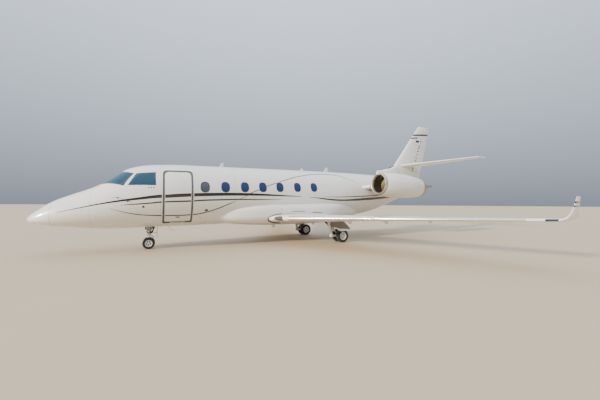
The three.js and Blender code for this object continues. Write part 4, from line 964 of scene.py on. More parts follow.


# Pylons: short stub wings that carry the engines on the fuselage's rear frames, their grey partly painted
# shade.
# y, leading edge station, height, chord
PYLON = [(0.700, 12.250, 2.440, 2.500), (1.250, 12.620, 2.520, 2.250), (1.700, 12.905, 2.549, 2.062)]
pylon_rings = []
for y in stations_between(0.700, 1.700, 0.1):
    _, station, z, chord = straight_row(PYLON, y)
    pylon_rings.append(foil_ring((at(station), y, z), chord, 0.13, -0.06))
# The pylon's satin grey is partly painted shade: it stands for the shaded flanks below the white leading edge
pylon = new_piece("pylon_fairing", *loft(pylon_rings), satin_grey)
outside_line = [(d, smooth_row(NACELLE_OUTSIDE, d)[1] + 0.0005) for d in stations_between(0.02, 2.95, 0.05)]
nacelle_space = turned(
    "cutter", [(-0.2, 0), (-0.2, 0.47)] + outside_line + [(2.95, 0)], ENGINE, ENGINE_AXIS, gloss_white, 112)
PYLON_NOSE_DEPTH = 0.16
nose_rings = []
for y in stations_between(0.700, 1.700, 0.1):
    _, station, z, chord = straight_row(PYLON, y)
    nose_rings.append(foil_ring((at(station) - 0.0012, y, z), chord + 0.0024, 0.13 + 0.0024 / chord, -0.06))
pylon_nose = new_piece("pylon_leading_edge", *loft(nose_rings), gloss_white)
combined(pylon_nose, [outline_prism([
    (at(PYLON[0][1]) - 0.05, PYLON[0][0]), (at(PYLON[0][1]) + PYLON_NOSE_DEPTH, PYLON[0][0]),
    (at(PYLON[2][1]) + PYLON_NOSE_DEPTH, PYLON[2][0]), (at(PYLON[2][1]) - 0.05, PYLON[2][0])],
    2.0, 3.0, across="z")], "INTERSECT")
combined(pylon_nose, [copy_of(nacelle_space, "cutter")])
fixed_pair(pylon_nose, "airframe", "airframe_paint")
combined(pylon, [nacelle_space])
fixed_pair(pylon, "airframe", "grey_paint", "pylon")


# Engine insides: a fan of titanium blades on a spinning hub, an acoustic duct lining and a plain core.
FAN_BLADES = 22
FAN_PLANE = 0.628
BLADE_ROWS = 9
ENGINE_PLACE = Matrix.Translation(ENGINE) @ Matrix.Rotation(math.atan(0.035), 4, "Y")
# The blades' olive-gold tint is painted reflection of the sunlit ground ahead of the engine
titanium = finish(
    "coated_titanium_blade", "#9f9a6c", 0.4, metallic=0.45, grain_mm=4, grain=0.03, tint=0.08, tint_m=0.08)
spinner_paint = finish("black_erosion_coat", "#26272a", 0.42, grain_mm=5, grain=0.05, tint=0.1, tint_m=0.06)
# The lining's dark brown is partly its own colour and partly painted shade for the duct's shadowed inside
duct_lining = finish(
    "perforated_acoustic_lining", "#3d332c", 0.55, metallic=0.3, grain_mm=16, grain=0.25,
    tint=0.12, tint_m=0.2)


def evaluated(piece, tree, **values):
    """Runs a Geometry Nodes tree on a piece with its named inputs set, and leaves one plain mesh."""
    step = piece.modifiers.new("nodes", "NODES")
    step.node_group = tree
    for socket in tree.interface.items_tree:
        key = socket.name.replace(" ", "_")
        if socket.in_out == "INPUT" and key in values:
            step[socket.identifier] = values[key]
    graph = bpy.context.evaluated_depsgraph_get()
    mesh = bpy.data.meshes.new_from_object(piece.evaluated_get(graph))
    piece.modifiers.clear()
    piece.data = mesh
    return piece


def new_tree(name, sockets):
    """An empty node tree with a geometry input and output and more named inputs."""
    tree = bpy.data.node_groups.new(name, "GeometryNodeTree")
    tree.interface.new_socket("Piece", in_out="INPUT", socket_type="NodeSocketGeometry")
    for socket, kind in sockets:
        tree.interface.new_socket(socket, in_out="INPUT", socket_type="NodeSocket" + kind)
    tree.interface.new_socket("Result", in_out="OUTPUT", socket_type="NodeSocketGeometry")
    return tree, add(tree, "NodeGroupInput").outputs


def end_tree(tree, instances, material):
    """The tree's end: real geometry with its finish."""
    real = add(tree, "GeometryNodeRealizeInstances", links=[("Geometry", instances)])
    painted = add(tree, "GeometryNodeSetMaterial",
                  links=[("Geometry", real.outputs[0]), ("Material", material)])
    add(tree, "NodeGroupOutput", links=[(0, painted.outputs[0])])


# Copies of a piece in a ring round the X axis, such as blades, vanes, lugs and bolts
ring_tree, ring_in = new_tree("ring_of_copies", [("Count", "Int"), ("Finish", "Material")])
ring_points = add(ring_tree, "GeometryNodePoints", links=[("Count", ring_in["Count"])])
ring_index = add(ring_tree, "GeometryNodeInputIndex")
ring_share = add(
    ring_tree, "ShaderNodeMath", links=[(0, ring_index.outputs[0]), (1, ring_in["Count"])],
    operation="DIVIDE")
ring_angle = add(
    ring_tree, "ShaderNodeMath", [(1, 2 * math.pi)], [(0, ring_share.outputs[0])], operation="MULTIPLY")
ring_turn = add(ring_tree, "ShaderNodeCombineXYZ", links=[("X", ring_angle.outputs[0])])
ring_copies = add(ring_tree, "GeometryNodeInstanceOnPoints", links=[
    ("Points", ring_points.outputs[0]), ("Instance", ring_in["Piece"]), ("Rotation", ring_turn.outputs[0])])
end_tree(ring_tree, ring_copies.outputs[0], ring_in["Finish"])


def ring_of(seed, count, name, place):
    """A ring of copies of a seed drawn round the X axis, put in its place by a matrix."""
    seed.name = name
    evaluated(seed, ring_tree, Count=count, Finish=seed.data.materials[0])
    seed.data.transform(place)
    return seed


def foil_blade(radii, half_chords, pitches, thickness, plane, material):
    """A twisted blade that stands along z from one radius to another, round the X axis."""
    rings = []
    for k in range(BLADE_ROWS):
        share = k / (BLADE_ROWS - 1)
        radius, half, pitch = (a + (b - a) * share for a, b in (radii, half_chords, pitches))
        top, bottom = [], []
        for n in range(9):
            t = n / 4 - 1
            camber = 0.16 * half * (1 - t * t)
            thick = thickness * (1.15 - share * 0.6) * math.sqrt(max(0.02, 1 - t * t))
            top.append((t * half, camber + thick))
            bottom.append((t * half, camber - thick))
        rings.append([
            (plane + a * math.cos(pitch) - b * math.sin(pitch),
             a * math.sin(pitch) + b * math.cos(pitch), radius)
            for a, b in top + bottom[::-1]])
    return new_piece("blade", *loft(rings), material)


SPINNER = [(0.440, 0), (0.446, 0.022), (0.470, 0.062), (0.505, 0.095), (0.540, 0.118), (0.600, 0.140),
           (0.700, 0.150), (0.700, 0)]
DUCT_LINE = [(d, smooth_row(NACELLE_INSIDE, d)[1]) for d in stations_between(LIP_DEPTH + 0.004, 0.92, 0.04)]
CORE = [(0.800, 0), (0.800, 0.150), (0.860, 0.210), (1.000, 0.235), (1.900, 0.235), (2.500, 0.170),
        (2.780, 0.060), (2.800, 0)]
for side, sign in (("right", 1), ("left", -1)):
    place = Matrix.Diagonal((1, sign, 1, 1)) @ ENGINE_PLACE
    blades = ring_of(
        foil_blade((0.135, 0.4125), (0.066, 0.070), (0.50, 1.02), 0.0042, FAN_PLANE, titanium), FAN_BLADES,
        "fan_blades_" + side, place)
    fixed(shade(blades), "fan_" + side, "engine_metal", "fan_" + side)
    origin = Vector((ENGINE.x, sign * ENGINE.y, ENGINE.z))
    fixed(turned("fan_spinner_" + side, SPINNER, origin, ENGINE_AXIS, spinner_paint, 64), "fan_" + side,
          "engine_metal")
    swirl_rings = []
    for k in range(33):
        share = k / 32
        distance = 0.446 + 0.120 * share
        radius = smooth_row(SPINNER[:7], distance)[1]
        angle = sign * (0.6 + 3.6 * share)
        wide = 0.010 * math.sin(math.pi * min(1, share * 1.1 + 0.03)) + 0.001
        corners = [(-wide, 0.0012), (wide, 0.0012), (wide, -0.002), (-wide, -0.002)]
        swirl_rings.append([
            (distance + a * 0.6, (radius + a * 0.35 + b) * math.sin(angle + sign * a / max(radius, 0.03)),
             (radius + a * 0.35 + b) * math.cos(angle + sign * a / max(radius, 0.03))) for a, b in corners])
    swirl = new_piece("fan_swirl_" + side, *loft(swirl_rings), gloss_white)
    swirl.data.transform(place)
    fixed(shade(swirl), "fan_" + side, "airframe_paint")
    lining = [(d, r - 0.0015) for d, r in DUCT_LINE] + [(d, r + 0.004) for d, r in reversed(DUCT_LINE)]
    fixed(turned("inlet_duct_lining_" + side, lining, origin, ENGINE_AXIS, duct_lining, 96, hollow=True),
          "airframe", "engine_metal")
    rear_line = [(d, smooth_row(NACELLE_INSIDE, d)[1]) for d in stations_between(0.924, 2.6, 0.08)]
    rear = [(d, r - 0.0015) for d, r in rear_line] + [(d, r + 0.004) for d, r in reversed(rear_line)]
    fixed(turned("bypass_duct_lining_" + side, rear, origin, ENGINE_AXIS, heat_steel, 96, hollow=True),
          "airframe", "engine_metal")
    core = turned("engine_core_body_" + side, CORE, origin, ENGINE_AXIS, heat_steel, 64)
    fixed(core, "airframe", "engine_metal", "engine_core_" + side)
    shaft = rod(origin + ENGINE_AXIS * 0.7003, origin + ENGINE_AXIS * 0.81, 0.040, bare_steel,
                name="fan_shaft_" + side)
    fixed(shaft, "airframe", "engine_metal")
    vanes = ring_of(
        foil_blade((0.205, 0.4385), (0.100, 0.085), (0.12, 0.05), 0.0060, 1.100, heat_steel), 8,
        "guide_vanes_" + side, place)
    fixed(shade(vanes), "airframe", "engine_metal")


# Belly fairing: moulded panels, white, blending the wing's centre into the round fuselage.
# station, half width, bottom, height of the widest point, top inside the fuselage
FAIRING = [
    (5.620, 0.780, 0.930, 1.250, 1.500),
    (6.000, 0.960, 0.860, 1.250, 1.600),
    (6.500, 1.110, 0.805, 1.260, 1.720),
    (7.200, 1.215, 0.760, 1.270, 1.800),
    (7.870, 1.250, 0.737, 1.280, 1.830),
    (9.800, 1.250, 0.745, 1.300, 1.900),
    (10.700, 1.215, 0.790, 1.330, 1.930),
    (11.600, 1.060, 0.905, 1.400, 1.900),
    (12.300, 0.800, 1.040, 1.480, 1.800),
    (12.680, 0.560, 1.150, 1.500, 1.700),
]
FAIRING_POWER = 2.7


def fairing_ring(station, grow=0.0):
    _, half, bottom, middle, top = smooth_row(FAIRING, station)
    ring = []
    for k in range(SKIN_SIDES):
        c, s = math.cos(2 * math.pi * k / SKIN_SIDES), math.sin(2 * math.pi * k / SKIN_SIDES)
        rise = (top - middle if c > 0 else middle - bottom) + grow
        ring.append((
            at(station), (half + grow) * math.copysign(abs(s) ** (2 / FAIRING_POWER), s),
            middle + rise * math.copysign(abs(c) ** (2 / FAIRING_POWER), c)))
    return ring


fairing = new_piece(
    "belly_fairing_shell", *loft([fairing_ring(s) for s in stations_between(5.620, 12.680, 0.08)]),
    gloss_white)
fuselage_space = new_piece(
    "cutter", *loft([skin_ring(s, -0.0006) for s in stations_between(5.2, 13.2)]), gloss_white)
combined(fairing, [fuselage_space])
fixed(fairing, "airframe", "airframe_paint", "belly_fairing")


# Entrance door: an airstair hinged along its sill, pressed aluminium skins over a frame, white outside.
# Four carpeted treads between two cheeks lie folded against the cabin when it is shut.
door_middle = (DOOR[0] + DOOR[1]) / 2
HINGE = Vector((at(door_middle), -0.6475, 0.985))
HINGE_AXIS = Vector((1, 0, SLOPE)).normalized()
DOOR_SWING = math.radians(106)
TREADS = [(-0.760, 0.760), (-1.010, 0.600), (-1.290, 0.455), (-1.590, 0.345)]
TREAD_DEPTH = 0.250
STEP_WIDTH = 0.560
CHEEK = [(-0.72, 0.79), (-1.0, 0.64), (-1.3, 0.5), (-1.62, 0.385), (-1.9, 0.34), (-1.86, 0.2), (-1.5, 0.205),
         (-1.15, 0.36), (-0.9, 0.56)]
seal_rubber = finish("dark_grey_seal_rubber", "#484d4c", 0.62, grain_mm=4, grain=0.15, tint=0.08, tint_m=0.2)
step_carpet = finish(
    "looped_wool_carpet", "#7d7262", 0.95, grain_mm=5, grain=0.9, tint=0.12, tint_m=0.05, Sheen_Weight=0.4)
stair_grey = finish("stair_enamel_grey", "#a9abab", 0.45, grain_mm=3, grain=0.15, tint=0.06, tint_m=0.2)
cabin_trim = finish(
    "satin_veneer_trim", "#a89377", 0.42, grain_mm=6, grain=0.05, tint=0.12, tint_m=0.12, Coat_Weight=0.3)


def door_cutter(shrink):
    return outline_prism(doorway(shrink), -1.5, -0.33)


def door_film(outer, inner, shrink, hole=None):
    """A shell of the fuselage between two insets inside the door's outline, with or without a hole."""
    film = new_piece("film", *tube(DOOR[0] - 0.12, DOOR[1] + 0.12, outer, inner), seal_rubber)
    combined(film, [door_cutter(shrink)], "INTERSECT")
    if hole is not None:
        combined(film, [door_cutter(hole)])
    return film


door_skin = door_film(0, WALL, MOVING_GAP)
door_skin.name = "airstair_door_skin"
door_skin.data.materials[0] = gloss_white
true_normals(door_skin)
fixed(door_skin, "airstair_door", "airframe_paint", "airstair_door")
for name, body, outer, inner, shrink, hole in (
        ("door_edge_seal", "airstair_door", -0.0010, 0.006, MOVING_GAP + 0.001, 0.034),
        ("door_frame_seal", "airframe", -0.0010, 0.006, -0.032, -0.001)):
    seal = door_film(outer, inner, shrink, hole)
    seal.name = name
    true_normals(seal)
    fixed(seal, body, "airframe_paint")
gap_seal = door_film(0.004, 0.020, 0.0005, MOVING_GAP - 0.0008)
combined(gap_seal, [box_body((at(DOOR[0]) - 0.2, -1.4, DOOR[2] - 0.3),
                             (at(DOOR[1]) + 0.2, -0.3, DOOR[2] + 0.15))])
gap_seal.name = "door_gap_seal"
true_normals(gap_seal)
fixed(gap_seal, "airframe", "airframe_paint")

folded = (Matrix.Translation(HINGE) @ Matrix.Rotation(-DOOR_SWING, 4, HINGE_AXIS)
          @ Matrix.Translation(-HINGE))
step_low, step_high = HINGE.x - STEP_WIDTH / 2, HINGE.x + STEP_WIDTH / 2
treads, carpets = [], []
for inner_edge_y, height in TREADS:
    for group, shrink, low, high, material in (
            (treads, 0, height, height + 0.026, stair_grey), (carpets, 0.012, height + 0.0255, height + 0.030,
                                                              step_carpet)):
        corners = [(step_low + shrink, inner_edge_y - TREAD_DEPTH + shrink),
                   (step_high - shrink, inner_edge_y - TREAD_DEPTH + shrink),
                   (step_high - shrink, inner_edge_y - shrink), (step_low + shrink, inner_edge_y - shrink)]
        tread = outline_prism(rounded(corners, [0.015] * 4), low, high, across="z", name="tread")
        tread.data.materials[0] = material
        group.append(tread)
for low in (step_low - 0.030, step_high):
    cheek = outline_prism(rounded(CHEEK, [0.03] * len(CHEEK)), low, low + 0.030, across="x", name="cheek")
    cheek.data.materials[0] = stair_grey
    treads.append(cheek)
for name, group, slot in (("airstair_steps", treads, "airframe_paint"),
                          ("airstair_tread_carpet", carpets, "carpet")):
    steps = combined(group[0], group[1:], "UNION")
    steps.name = name
    steps.data.transform(folded)
    cabin_side = new_piece(
        "cutter", *loft([skin_ring(s, WALL - 0.02) for s in stations_between(3.6, 4.9)]), stair_grey)
    combined(steps, [cabin_side], "INTERSECT")
    fixed(steps, "airstair_door", slot)
# Door handle: a flush steel lever in a dark oval recess, low on the door's middle
handle_steel = finish("brushed_handle_steel", "#8f8c86", 0.35, metallic=0.9, grain_mm=4, grain=0.05,
                      tint=0.1, tint_m=0.05)
for name, proud, reach, height, material in (("door_handle_recess", 0.0010, 0.075, 0.024, seal_rubber),
                                             ("door_handle_lever", 0.0030, 0.058, 0.012, handle_steel)):
    plate = new_piece(name, *tube(4.10, 4.40, -proud, 0.002), material)
    combined(plate, [outline_prism(oval(at(4.250), 1.170, reach, height, 32), -1.5, -0.33)], "INTERSECT")
    fixed(shade(plate), "airstair_door", "gear_steel")
lining = door_film(WALL + 0.0003, WALL + 0.010, 0.045)
lining.name = "airstair_door_lining"
lining.data.materials[0] = cabin_trim
fixed(lining, "airstair_door", "bulkhead_trim")

# Hinge knuckles along the sill, by turns the frame's and the door's, on one steel pin
hinge_groups = {"airframe": [], "airstair_door": []}
for k in range(5):
    start, end = 4.000 + 0.1 * k + 0.0008, 4.100 + 0.1 * k - 0.0008
    points = [(at(s), HINGE.y, HINGE.z + SLOPE * (s - door_middle)) for s in (start, end)]
    knuckle = rod(*points, 0.013, gloss_white, sides=24, edge=0.002)
    hinge_groups["airstair_door" if k % 2 else "airframe"].append(knuckle)
for body, group in hinge_groups.items():
    fixed(gathered(body + "_hinge_knuckles", group), body, "airframe_paint")


# Twin wheels: ribbed bias tyres on split magnesium rims in silver enamel, each pair with its axle and bolts.
tyre_rubber = finish(
    "aircraft_tyre_rubber", "#151516", 0.78, grain_mm=6, grain=0.25, tint=0.18, tint_m=0.05,
    Sheen_Weight=0.15, Sheen_Roughness=0.6)
wheel_silver = finish(
    "silver_wheel_enamel", "#dededd", 0.30, metallic=0.25, grain_mm=4, grain=0.05, tint=0.08, tint_m=0.06,
    Coat_Weight=0.3)
carbon_brake = finish("carbon_brake_disc", "#18181a", 0.6, grain_mm=4, grain=0.3, tint=0.2, tint_m=0.03)
GROOVE_DEPTH = 0.005
WHEEL_FACETS = 72


def flowing(points, steps=6):
    """A smooth open line through points, centripetal, so it never swings out, with steps between each two."""
    points = [Vector(p) for p in points]
    ends = [points[0] * 2 - points[1]] + points + [points[-1] * 2 - points[-2]]
    line = []
    for a, b, c, d in zip(ends, ends[1:], ends[2:], ends[3:]):
        first = (b - a).length ** 0.5
        second = first + (c - b).length ** 0.5
        third = second + (d - c).length ** 0.5
        for k in range(steps):
            t = first + (second - first) * k / steps
            low = a.lerp(b, t / first)
            middle = b.lerp(c, (t - first) / (second - first))
            high = c.lerp(d, (t - second) / (third - second))
            left = low.lerp(middle, t / second)
            line.append(left.lerp(middle.lerp(high, (t - first) / (third - first)),
                                  (t - first) / (second - first)))
    return line + [points[-1]]


def tyre_profile(half, radius):
    """A tyre's section: beads, bulging sidewalls and a flat crown with three grooves."""
    wall = [(0.60, 0.585), (0.86, 0.60), (1.00, 0.76), (0.92, 0.905), (0.68, 0.978), (0.46, 1.0)]
    side = [(a, r) for a, r in flowing([(a * half, r * radius) for a, r in wall])]
    crown = []
    for groove in (0.30, 0.0, -0.30):
        for offset, drop in ((0.04, 0), (0.03, 1), (-0.03, 1), (-0.04, 0)):
            crown.append(((groove + offset) * half, radius - drop * GROOVE_DEPTH))
    return side + crown + [(-a, r) for a, r in reversed(side)]


def rim_profile(half, radius):
    rows = [(0.70, 0), (0.70, 0.085), (0.66, 0.105), (0.52, 0.115), (0.46, 0.15), (0.34, 0.19), (0.30, 0.24),
            (0.30, 0.43), (0.42, 0.475), (0.74, 0.505), (0.82, 0.53), (0.84, 0.585),
            (0.76, 0.60), (0.62, 0.578),
            (-0.62, 0.578), (-0.76, 0.60), (-0.84, 0.585), (-0.80, 0.535), (-0.20, 0.50), (-0.20, 0.17),
            (-0.50, 0.14), (-0.55, 0.11), (-0.55, 0)]
    return [(a * half, r * radius) for a, r in rows]


def twin_wheels(name, body, node, centre, spacing, half, radius, axle, bearing, holes):
    tyres, rims, brakes, bolts = [], [], [], []
    for side in (-1, 1):
        middle = Vector(centre) + Vector((0, side * spacing, 0))
        out = Vector((0, side, 0))
        tyres.append(turned("tyre", tyre_profile(half, radius), middle, out, tyre_rubber,
                            WHEEL_FACETS, hollow=True))
        rim = turned("rim", rim_profile(half, radius), middle, out, wheel_silver, WHEEL_FACETS)
        cuts = []
        for k in range(holes):
            angle = 2 * math.pi * (k + 0.5) / holes
            foot = middle + Vector((math.sin(angle), 0, math.cos(angle))) * radius * 0.330
            cuts.append(rod(foot - out * half, foot + out * half, radius * 0.122, wheel_silver, sides=32))
        rims.append(combined(rim, cuts))
        brakes.append(rod(middle - out * half * 0.72, middle - out * half * 0.24, radius * 0.45, carbon_brake,
                          sides=48, edge=0.004))
        seed = rod((half * 0.29, 0, radius * 0.262), (half * 0.38, 0, radius * 0.262),
                   radius * 0.022, bare_steel,
                   sides=6, edge=0.001)
        place = Matrix.Translation(middle) @ Matrix.Rotation(side * math.pi / 2, 4, "Z")
        bolts.append(ring_of(seed, holes, "bolts", place))
    start, end = (Vector(centre) + Vector((0, side * spacing * 0.98, 0)) for side in (-1, 1))
    shafts = [rod(start, end, axle, bare_steel, sides=32)]
    for side in (-1, 1):
        shafts.append(rod(
            Vector(centre) + Vector((0, side * (bearing + 0.0006), 0)),
            Vector(centre) + Vector((0, side * spacing, 0)), axle * 1.6, bare_steel, sides=32, edge=0.002))
    fixed(gathered(name + "_tyres", tyres), body, "tyre_and_hub", node)
    fixed(gathered(name + "_rims", rims), body, "gear_steel")
    fixed(gathered(name + "_brakes", brakes), body, "tyre_and_hub")
    whole = gathered(name + "_axle", shafts + bolts)
    fixed(shade(whole), body, "gear_steel")


NOSE_PLACE = Vector((at(NOSE_AXLE), 0, 0.205))
MAIN_PLACE = Vector((at(NOSE_AXLE + 7.405), 1.650, 0.285))
twin_wheels("nose", "nose_wheels", "nose_wheels", NOSE_PLACE, 0.150, 0.062, 0.205, 0.020, 0.062, 5)
for side, sign in (("right", 1), ("left", -1)):
    centre = Vector((MAIN_PLACE.x, sign * MAIN_PLACE.y, MAIN_PLACE.z))
    twin_wheels("main_" + side, "main_wheels_" + side, "main_wheels_" + side, centre, 0.170,
                0.084, 0.285, 0.028,
                0.076, 5)


# Nose gear: a forged leg in white enamel in its bay, a chromed piston that steers below it, and torque links.
# Two taxi lamps sit on a bracket on the leg, and a small door hangs behind it from the bay's rear edge.
chrome = finish("hard_chrome_piston", "#c9cbcc", 0.10, metallic=1.0, grain_mm=8, grain=0.008,
                tint=0.02, tint_m=0.1)
hose_black = finish("braided_hose_black", "#1e1f21", 0.6, grain_mm=3, grain=0.5, tint=0.2, tint_m=0.02)
lamp_glass = finish(
    "clear_lamp_glass", "#dfe5e6", 0.05, tint=0.02, tint_m=0.1, Transmission_Weight=0.7, IOR=1.5)
lamp_mirror = finish("lamp_reflector", "#d9d9d4", 0.12, metallic=1.0, grain_mm=6, grain=0.2,
                     tint=0.05, tint_m=0.03)
NX = NOSE_PLACE.x


def pipe(points, radius, material, name="pipe", sides=10):
    """A round pipe along a smooth line through points."""
    line = flowing(points, 5)
    rings = []
    for k, point in enumerate(line):
        ahead = (line[min(k + 1, len(line) - 1)] - line[max(k - 1, 0)]).normalized()
        first = Vector((0, 1, 0)) - ahead * ahead.y
        if first.length < 0.2:
            first = Vector((1, 0, 0)) - ahead * ahead.x
        first.normalize()
        second = ahead.cross(first)
        rings.append([
            point + (first * math.cos(turn) + second * math.sin(turn)) * radius
            for turn in [2 * math.pi * n / sides for n in range(sides)]])
    return new_piece(name, *loft(rings), material)


leg = turned("leg", [
    (0, 0.0375), (0, 0.062), (0.004, 0.066), (0.030, 0.066), (0.036, 0.060), (0.150, 0.060), (0.158, 0.068),
    (0.205, 0.068), (0.213, 0.060), (0.330, 0.060), (0.345, 0.066), (0.480, 0.066), (0.480, 0.0375)],
    (NX, 0, 0.520), (0, 0, 1), gear_white, 40, hollow=True)
leg_parts = [
    leg,
    rod((NX, -0.1697, 0.900), (NX, 0.1697, 0.900), 0.040, gear_white, sides=32, edge=0.004),
    rod((NX + 0.030, 0, 0.640), (NX + 0.235, 0, 0.930), 0.026, gear_white, sides=24, edge=0.004),
    rod((NX + 0.225, -0.1697, 0.915), (NX + 0.225, 0.1697, 0.915), 0.024, gear_white, sides=24, edge=0.003),
    rod((NX + 0.045, -0.045, 0.655), (NX + 0.045, 0.045, 0.655), 0.020, gear_white, sides=20, edge=0.003),
    outline_prism(rounded([
        (NX - 0.075, -0.120), (NX - 0.055, -0.120), (NX - 0.045, 0.120), (NX - 0.075, 0.120)], [0.006] * 4),
        0.690, 0.812, across="z", name="lamp_bracket"),
]
lamp_housing = finish("black_lamp_housing", "#2a2a2c", 0.4, grain_mm=3, grain=0.1, tint=0.1, tint_m=0.04)
dark_casting = finish("dark_actuator_casting", "#46443f", 0.45, metallic=0.4, grain_mm=3, grain=0.15,
                      tint=0.1, tint_m=0.05)
lamp_cans = []
for side in (-1, 1):
    lamp_cans.append(turned("lamp_can", [
        (0, 0), (0, 0.044), (0.012, 0.051), (0.050, 0.057), (0.056, 0.057), (0.056, 0.051), (0.022, 0.044),
        (0.012, 0)], (NX - 0.066, side * 0.060, 0.752), (-1, 0, 0), lamp_housing, 36))
    fixed(turned("taxi_lamp_mirror_" + ("right" if side > 0 else "left"), [
        (0, 0), (0, 0.042), (0.024, 0.049), (0.0245, 0.048), (0.008, 0.026), (0.002, 0)],
        (NX - 0.080, side * 0.060, 0.752), (-1, 0, 0), lamp_mirror, 32), "airframe", "gear_steel")
    fixed(turned("taxi_lamp_lens_" + ("right" if side > 0 else "left"), [
        (0, 0), (0, 0.050), (0.006, 0.051), (0.010, 0.036), (0.013, 0)],
        (NX - 0.110, side * 0.060, 0.752), (-1, 0, 0), lamp_glass, 32), "airframe", "cockpit_glass")
fixed(gathered("taxi_lamp_cans", lamp_cans), "airframe", "gear_paint")
# Steering motors: a dark cylinder across the leg with a white cap at each end, and a dark door jack behind it
motor = rod((NX - 0.012, -0.104, 0.640), (NX - 0.012, 0.104, 0.640), 0.066, dark_casting,
            sides=40, edge=0.006)
jack = rod((NX + 0.098, -0.052, 0.610), (NX + 0.196, -0.052, 0.800), 0.021, dark_casting,
           sides=24, edge=0.003)
jack_pins = [rod((x, -0.080, z), (x, 0.080, z), 0.030, dark_casting, sides=24, edge=0.004)
             for x, z in ((NX + 0.090, 0.585), (NX + 0.128, 0.780))]
motor_parts = gathered("nose_steering_motors", [motor, jack] + jack_pins)
fixed(shade(motor_parts), "airframe", "gear_steel")
caps = [rod((NX - 0.012, side * 0.100, 0.640), (NX - 0.012, side * 0.116, 0.640), 0.040, gear_white, sides=36,
            edge=0.004) for side in (-1, 1)]
fixed(gathered("nose_steering_motor_caps", caps), "airframe", "gear_paint")
for part in leg_parts:
    part.data.materials[0] = gear_white
fixed(gathered("nose_leg_casting", leg_parts), "airframe", "gear_paint", "nose_leg")
piston = turned("piston", [(0, 0), (0, 0.036), (0.325, 0.036), (0.325, 0)], (NX, 0, 0.235),
                (0, 0, 1), chrome, 40)
fixed(piston, "nose_steering", "gear_steel", "nose_steering")
steer_parts = [
    turned("collar", [(0, 0.037), (0, 0.055), (0.004, 0.058), (0.035, 0.058),
                      (0.0394, 0.054), (0.0394, 0.037)],
           (NX, 0, 0.480), (0, 0, 1), gear_white, 40, hollow=True),
    turned("bearing", [(-0.0619, 0.0205), (-0.0619, 0.044), (-0.056, 0.048), (0.056, 0.048), (0.0619, 0.044),
                       (0.0619, 0.0205)], NOSE_PLACE, (0, 1, 0), gear_white, 40, hollow=True),
    turned("foot", [(0, 0.030), (0, 0.046), (0.015, 0.050), (0.065, 0.050), (0.080, 0.042), (0.080, 0.030)],
           (NX, 0, 0.300), (0, 0, 1), gear_white, 40, hollow=True),
    rod((NX, 0, 0.235), (NX, 0, 0.310), 0.044, gear_white, 0.040, 32, edge=0.004),
    outline_prism(rounded([
        (NX - 0.110, 0.206), (NX - 0.030, 0.206), (NX - 0.030, 0.254), (NX - 0.110, 0.254)],
        [0.004] * 4), -0.028, 0.028, name="tow_lug"),
]
KNEE_LINK = (NX + 0.165, 0.425)
for y, start, end in ((0.030, (NX + 0.045, 0.497), KNEE_LINK), (-0.030, (NX + 0.045, 0.497), KNEE_LINK),
                      (0.017, (NX + 0.040, 0.340), KNEE_LINK), (-0.017, (NX + 0.040, 0.340), KNEE_LINK)):
    line = Vector((end[0] - start[0], end[1] - start[1])).normalized()
    square = Vector((-line.y, line.x))
    corners = [(start[0] - square.x * 0.020, start[1] - square.y * 0.020),
               (end[0] - square.x * 0.010 + line.x * 0.012, end[1] - square.y * 0.010 + line.y * 0.012),
               (end[0] + square.x * 0.010 + line.x * 0.012, end[1] + square.y * 0.010 + line.y * 0.012),
               (start[0] + square.x * 0.020, start[1] + square.y * 0.020)]
    steer_parts.append(outline_prism(rounded(corners, [0.008] * 4), y - 0.006, y + 0.006, name="torque_link"))
steer_parts.append(rod((KNEE_LINK[0], -0.042, KNEE_LINK[1]), (KNEE_LINK[0], 0.042, KNEE_LINK[1]),
                       0.009, gear_white))
for part in steer_parts:
    part.data.materials[0] = gear_white
fixed(gathered("nose_steering_castings", steer_parts), "nose_steering", "gear_paint")
leg_pipes = [
    pipe([(NX + 0.058, y, 0.53), (NX + 0.066, y, 0.62), (NX + 0.072, y * 1.4, 0.74),
          (NX + 0.078, y * 1.6, 0.95)],
         0.009, hose_black) for y in (-0.030, 0.034)]
leg_pipes += [
    pipe([(NX + 0.040, y, 0.560), (NX + 0.120, y * 1.2, 0.600), (NX + 0.150, y * 1.3, 0.690),
          (NX + 0.110, y * 1.2, 0.800), (NX + 0.095, y, 0.900)], 0.009, hose_black) for y in (-0.085, 0.085)]
fixed(gathered("nose_leg_hoses", leg_pipes), "airframe", "tyre_and_hub")
rear_door_outline = rounded([
    (-0.150, 0.395), (0.150, 0.395), (0.165, 0.480), (0.165, 0.815), (-0.165, 0.815), (-0.165, 0.480)],
    [0.04] * 6)
rear_door = outline_prism(
    rear_door_outline, at(NOSE_AXLE) + 0.262, at(NOSE_AXLE) + 0.276, across="x", name="nose_bay_rear_door")
rear_door.data.materials[0] = dark_casting
fixed(rear_door, "airframe", "airframe_paint")
door_link = rod((NX + 0.060, 0, 0.600), (NX + 0.263, 0, 0.560), 0.009, bare_steel, name="nose_bay_door_link")
fixed(door_link, "airframe", "gear_steel")


# Main gear: a leg under each wing, a trailing arm down to the axle and a shock strut behind the leg.
# Forgings in white enamel, the shock's piston in chrome, and the brakes' pipes along the arm.
MX, MY = MAIN_PLACE.x, MAIN_PLACE.y
KNEE = Vector((MX - 0.440, MY, 0.300))
LEG_TOP = Vector((MX - 0.590, MY, 1.060))
SHOCK_TOP = Vector((MX - 0.480, MY, 0.800))
SHOCK_FOOT = Vector((MX - 0.150, MY, 0.320))


def across_leg(x, z, half, radius, material, edge=0.004):
    return rod((x, MY - half, z), (x, MY + half, z), radius, material, sides=36, edge=edge)


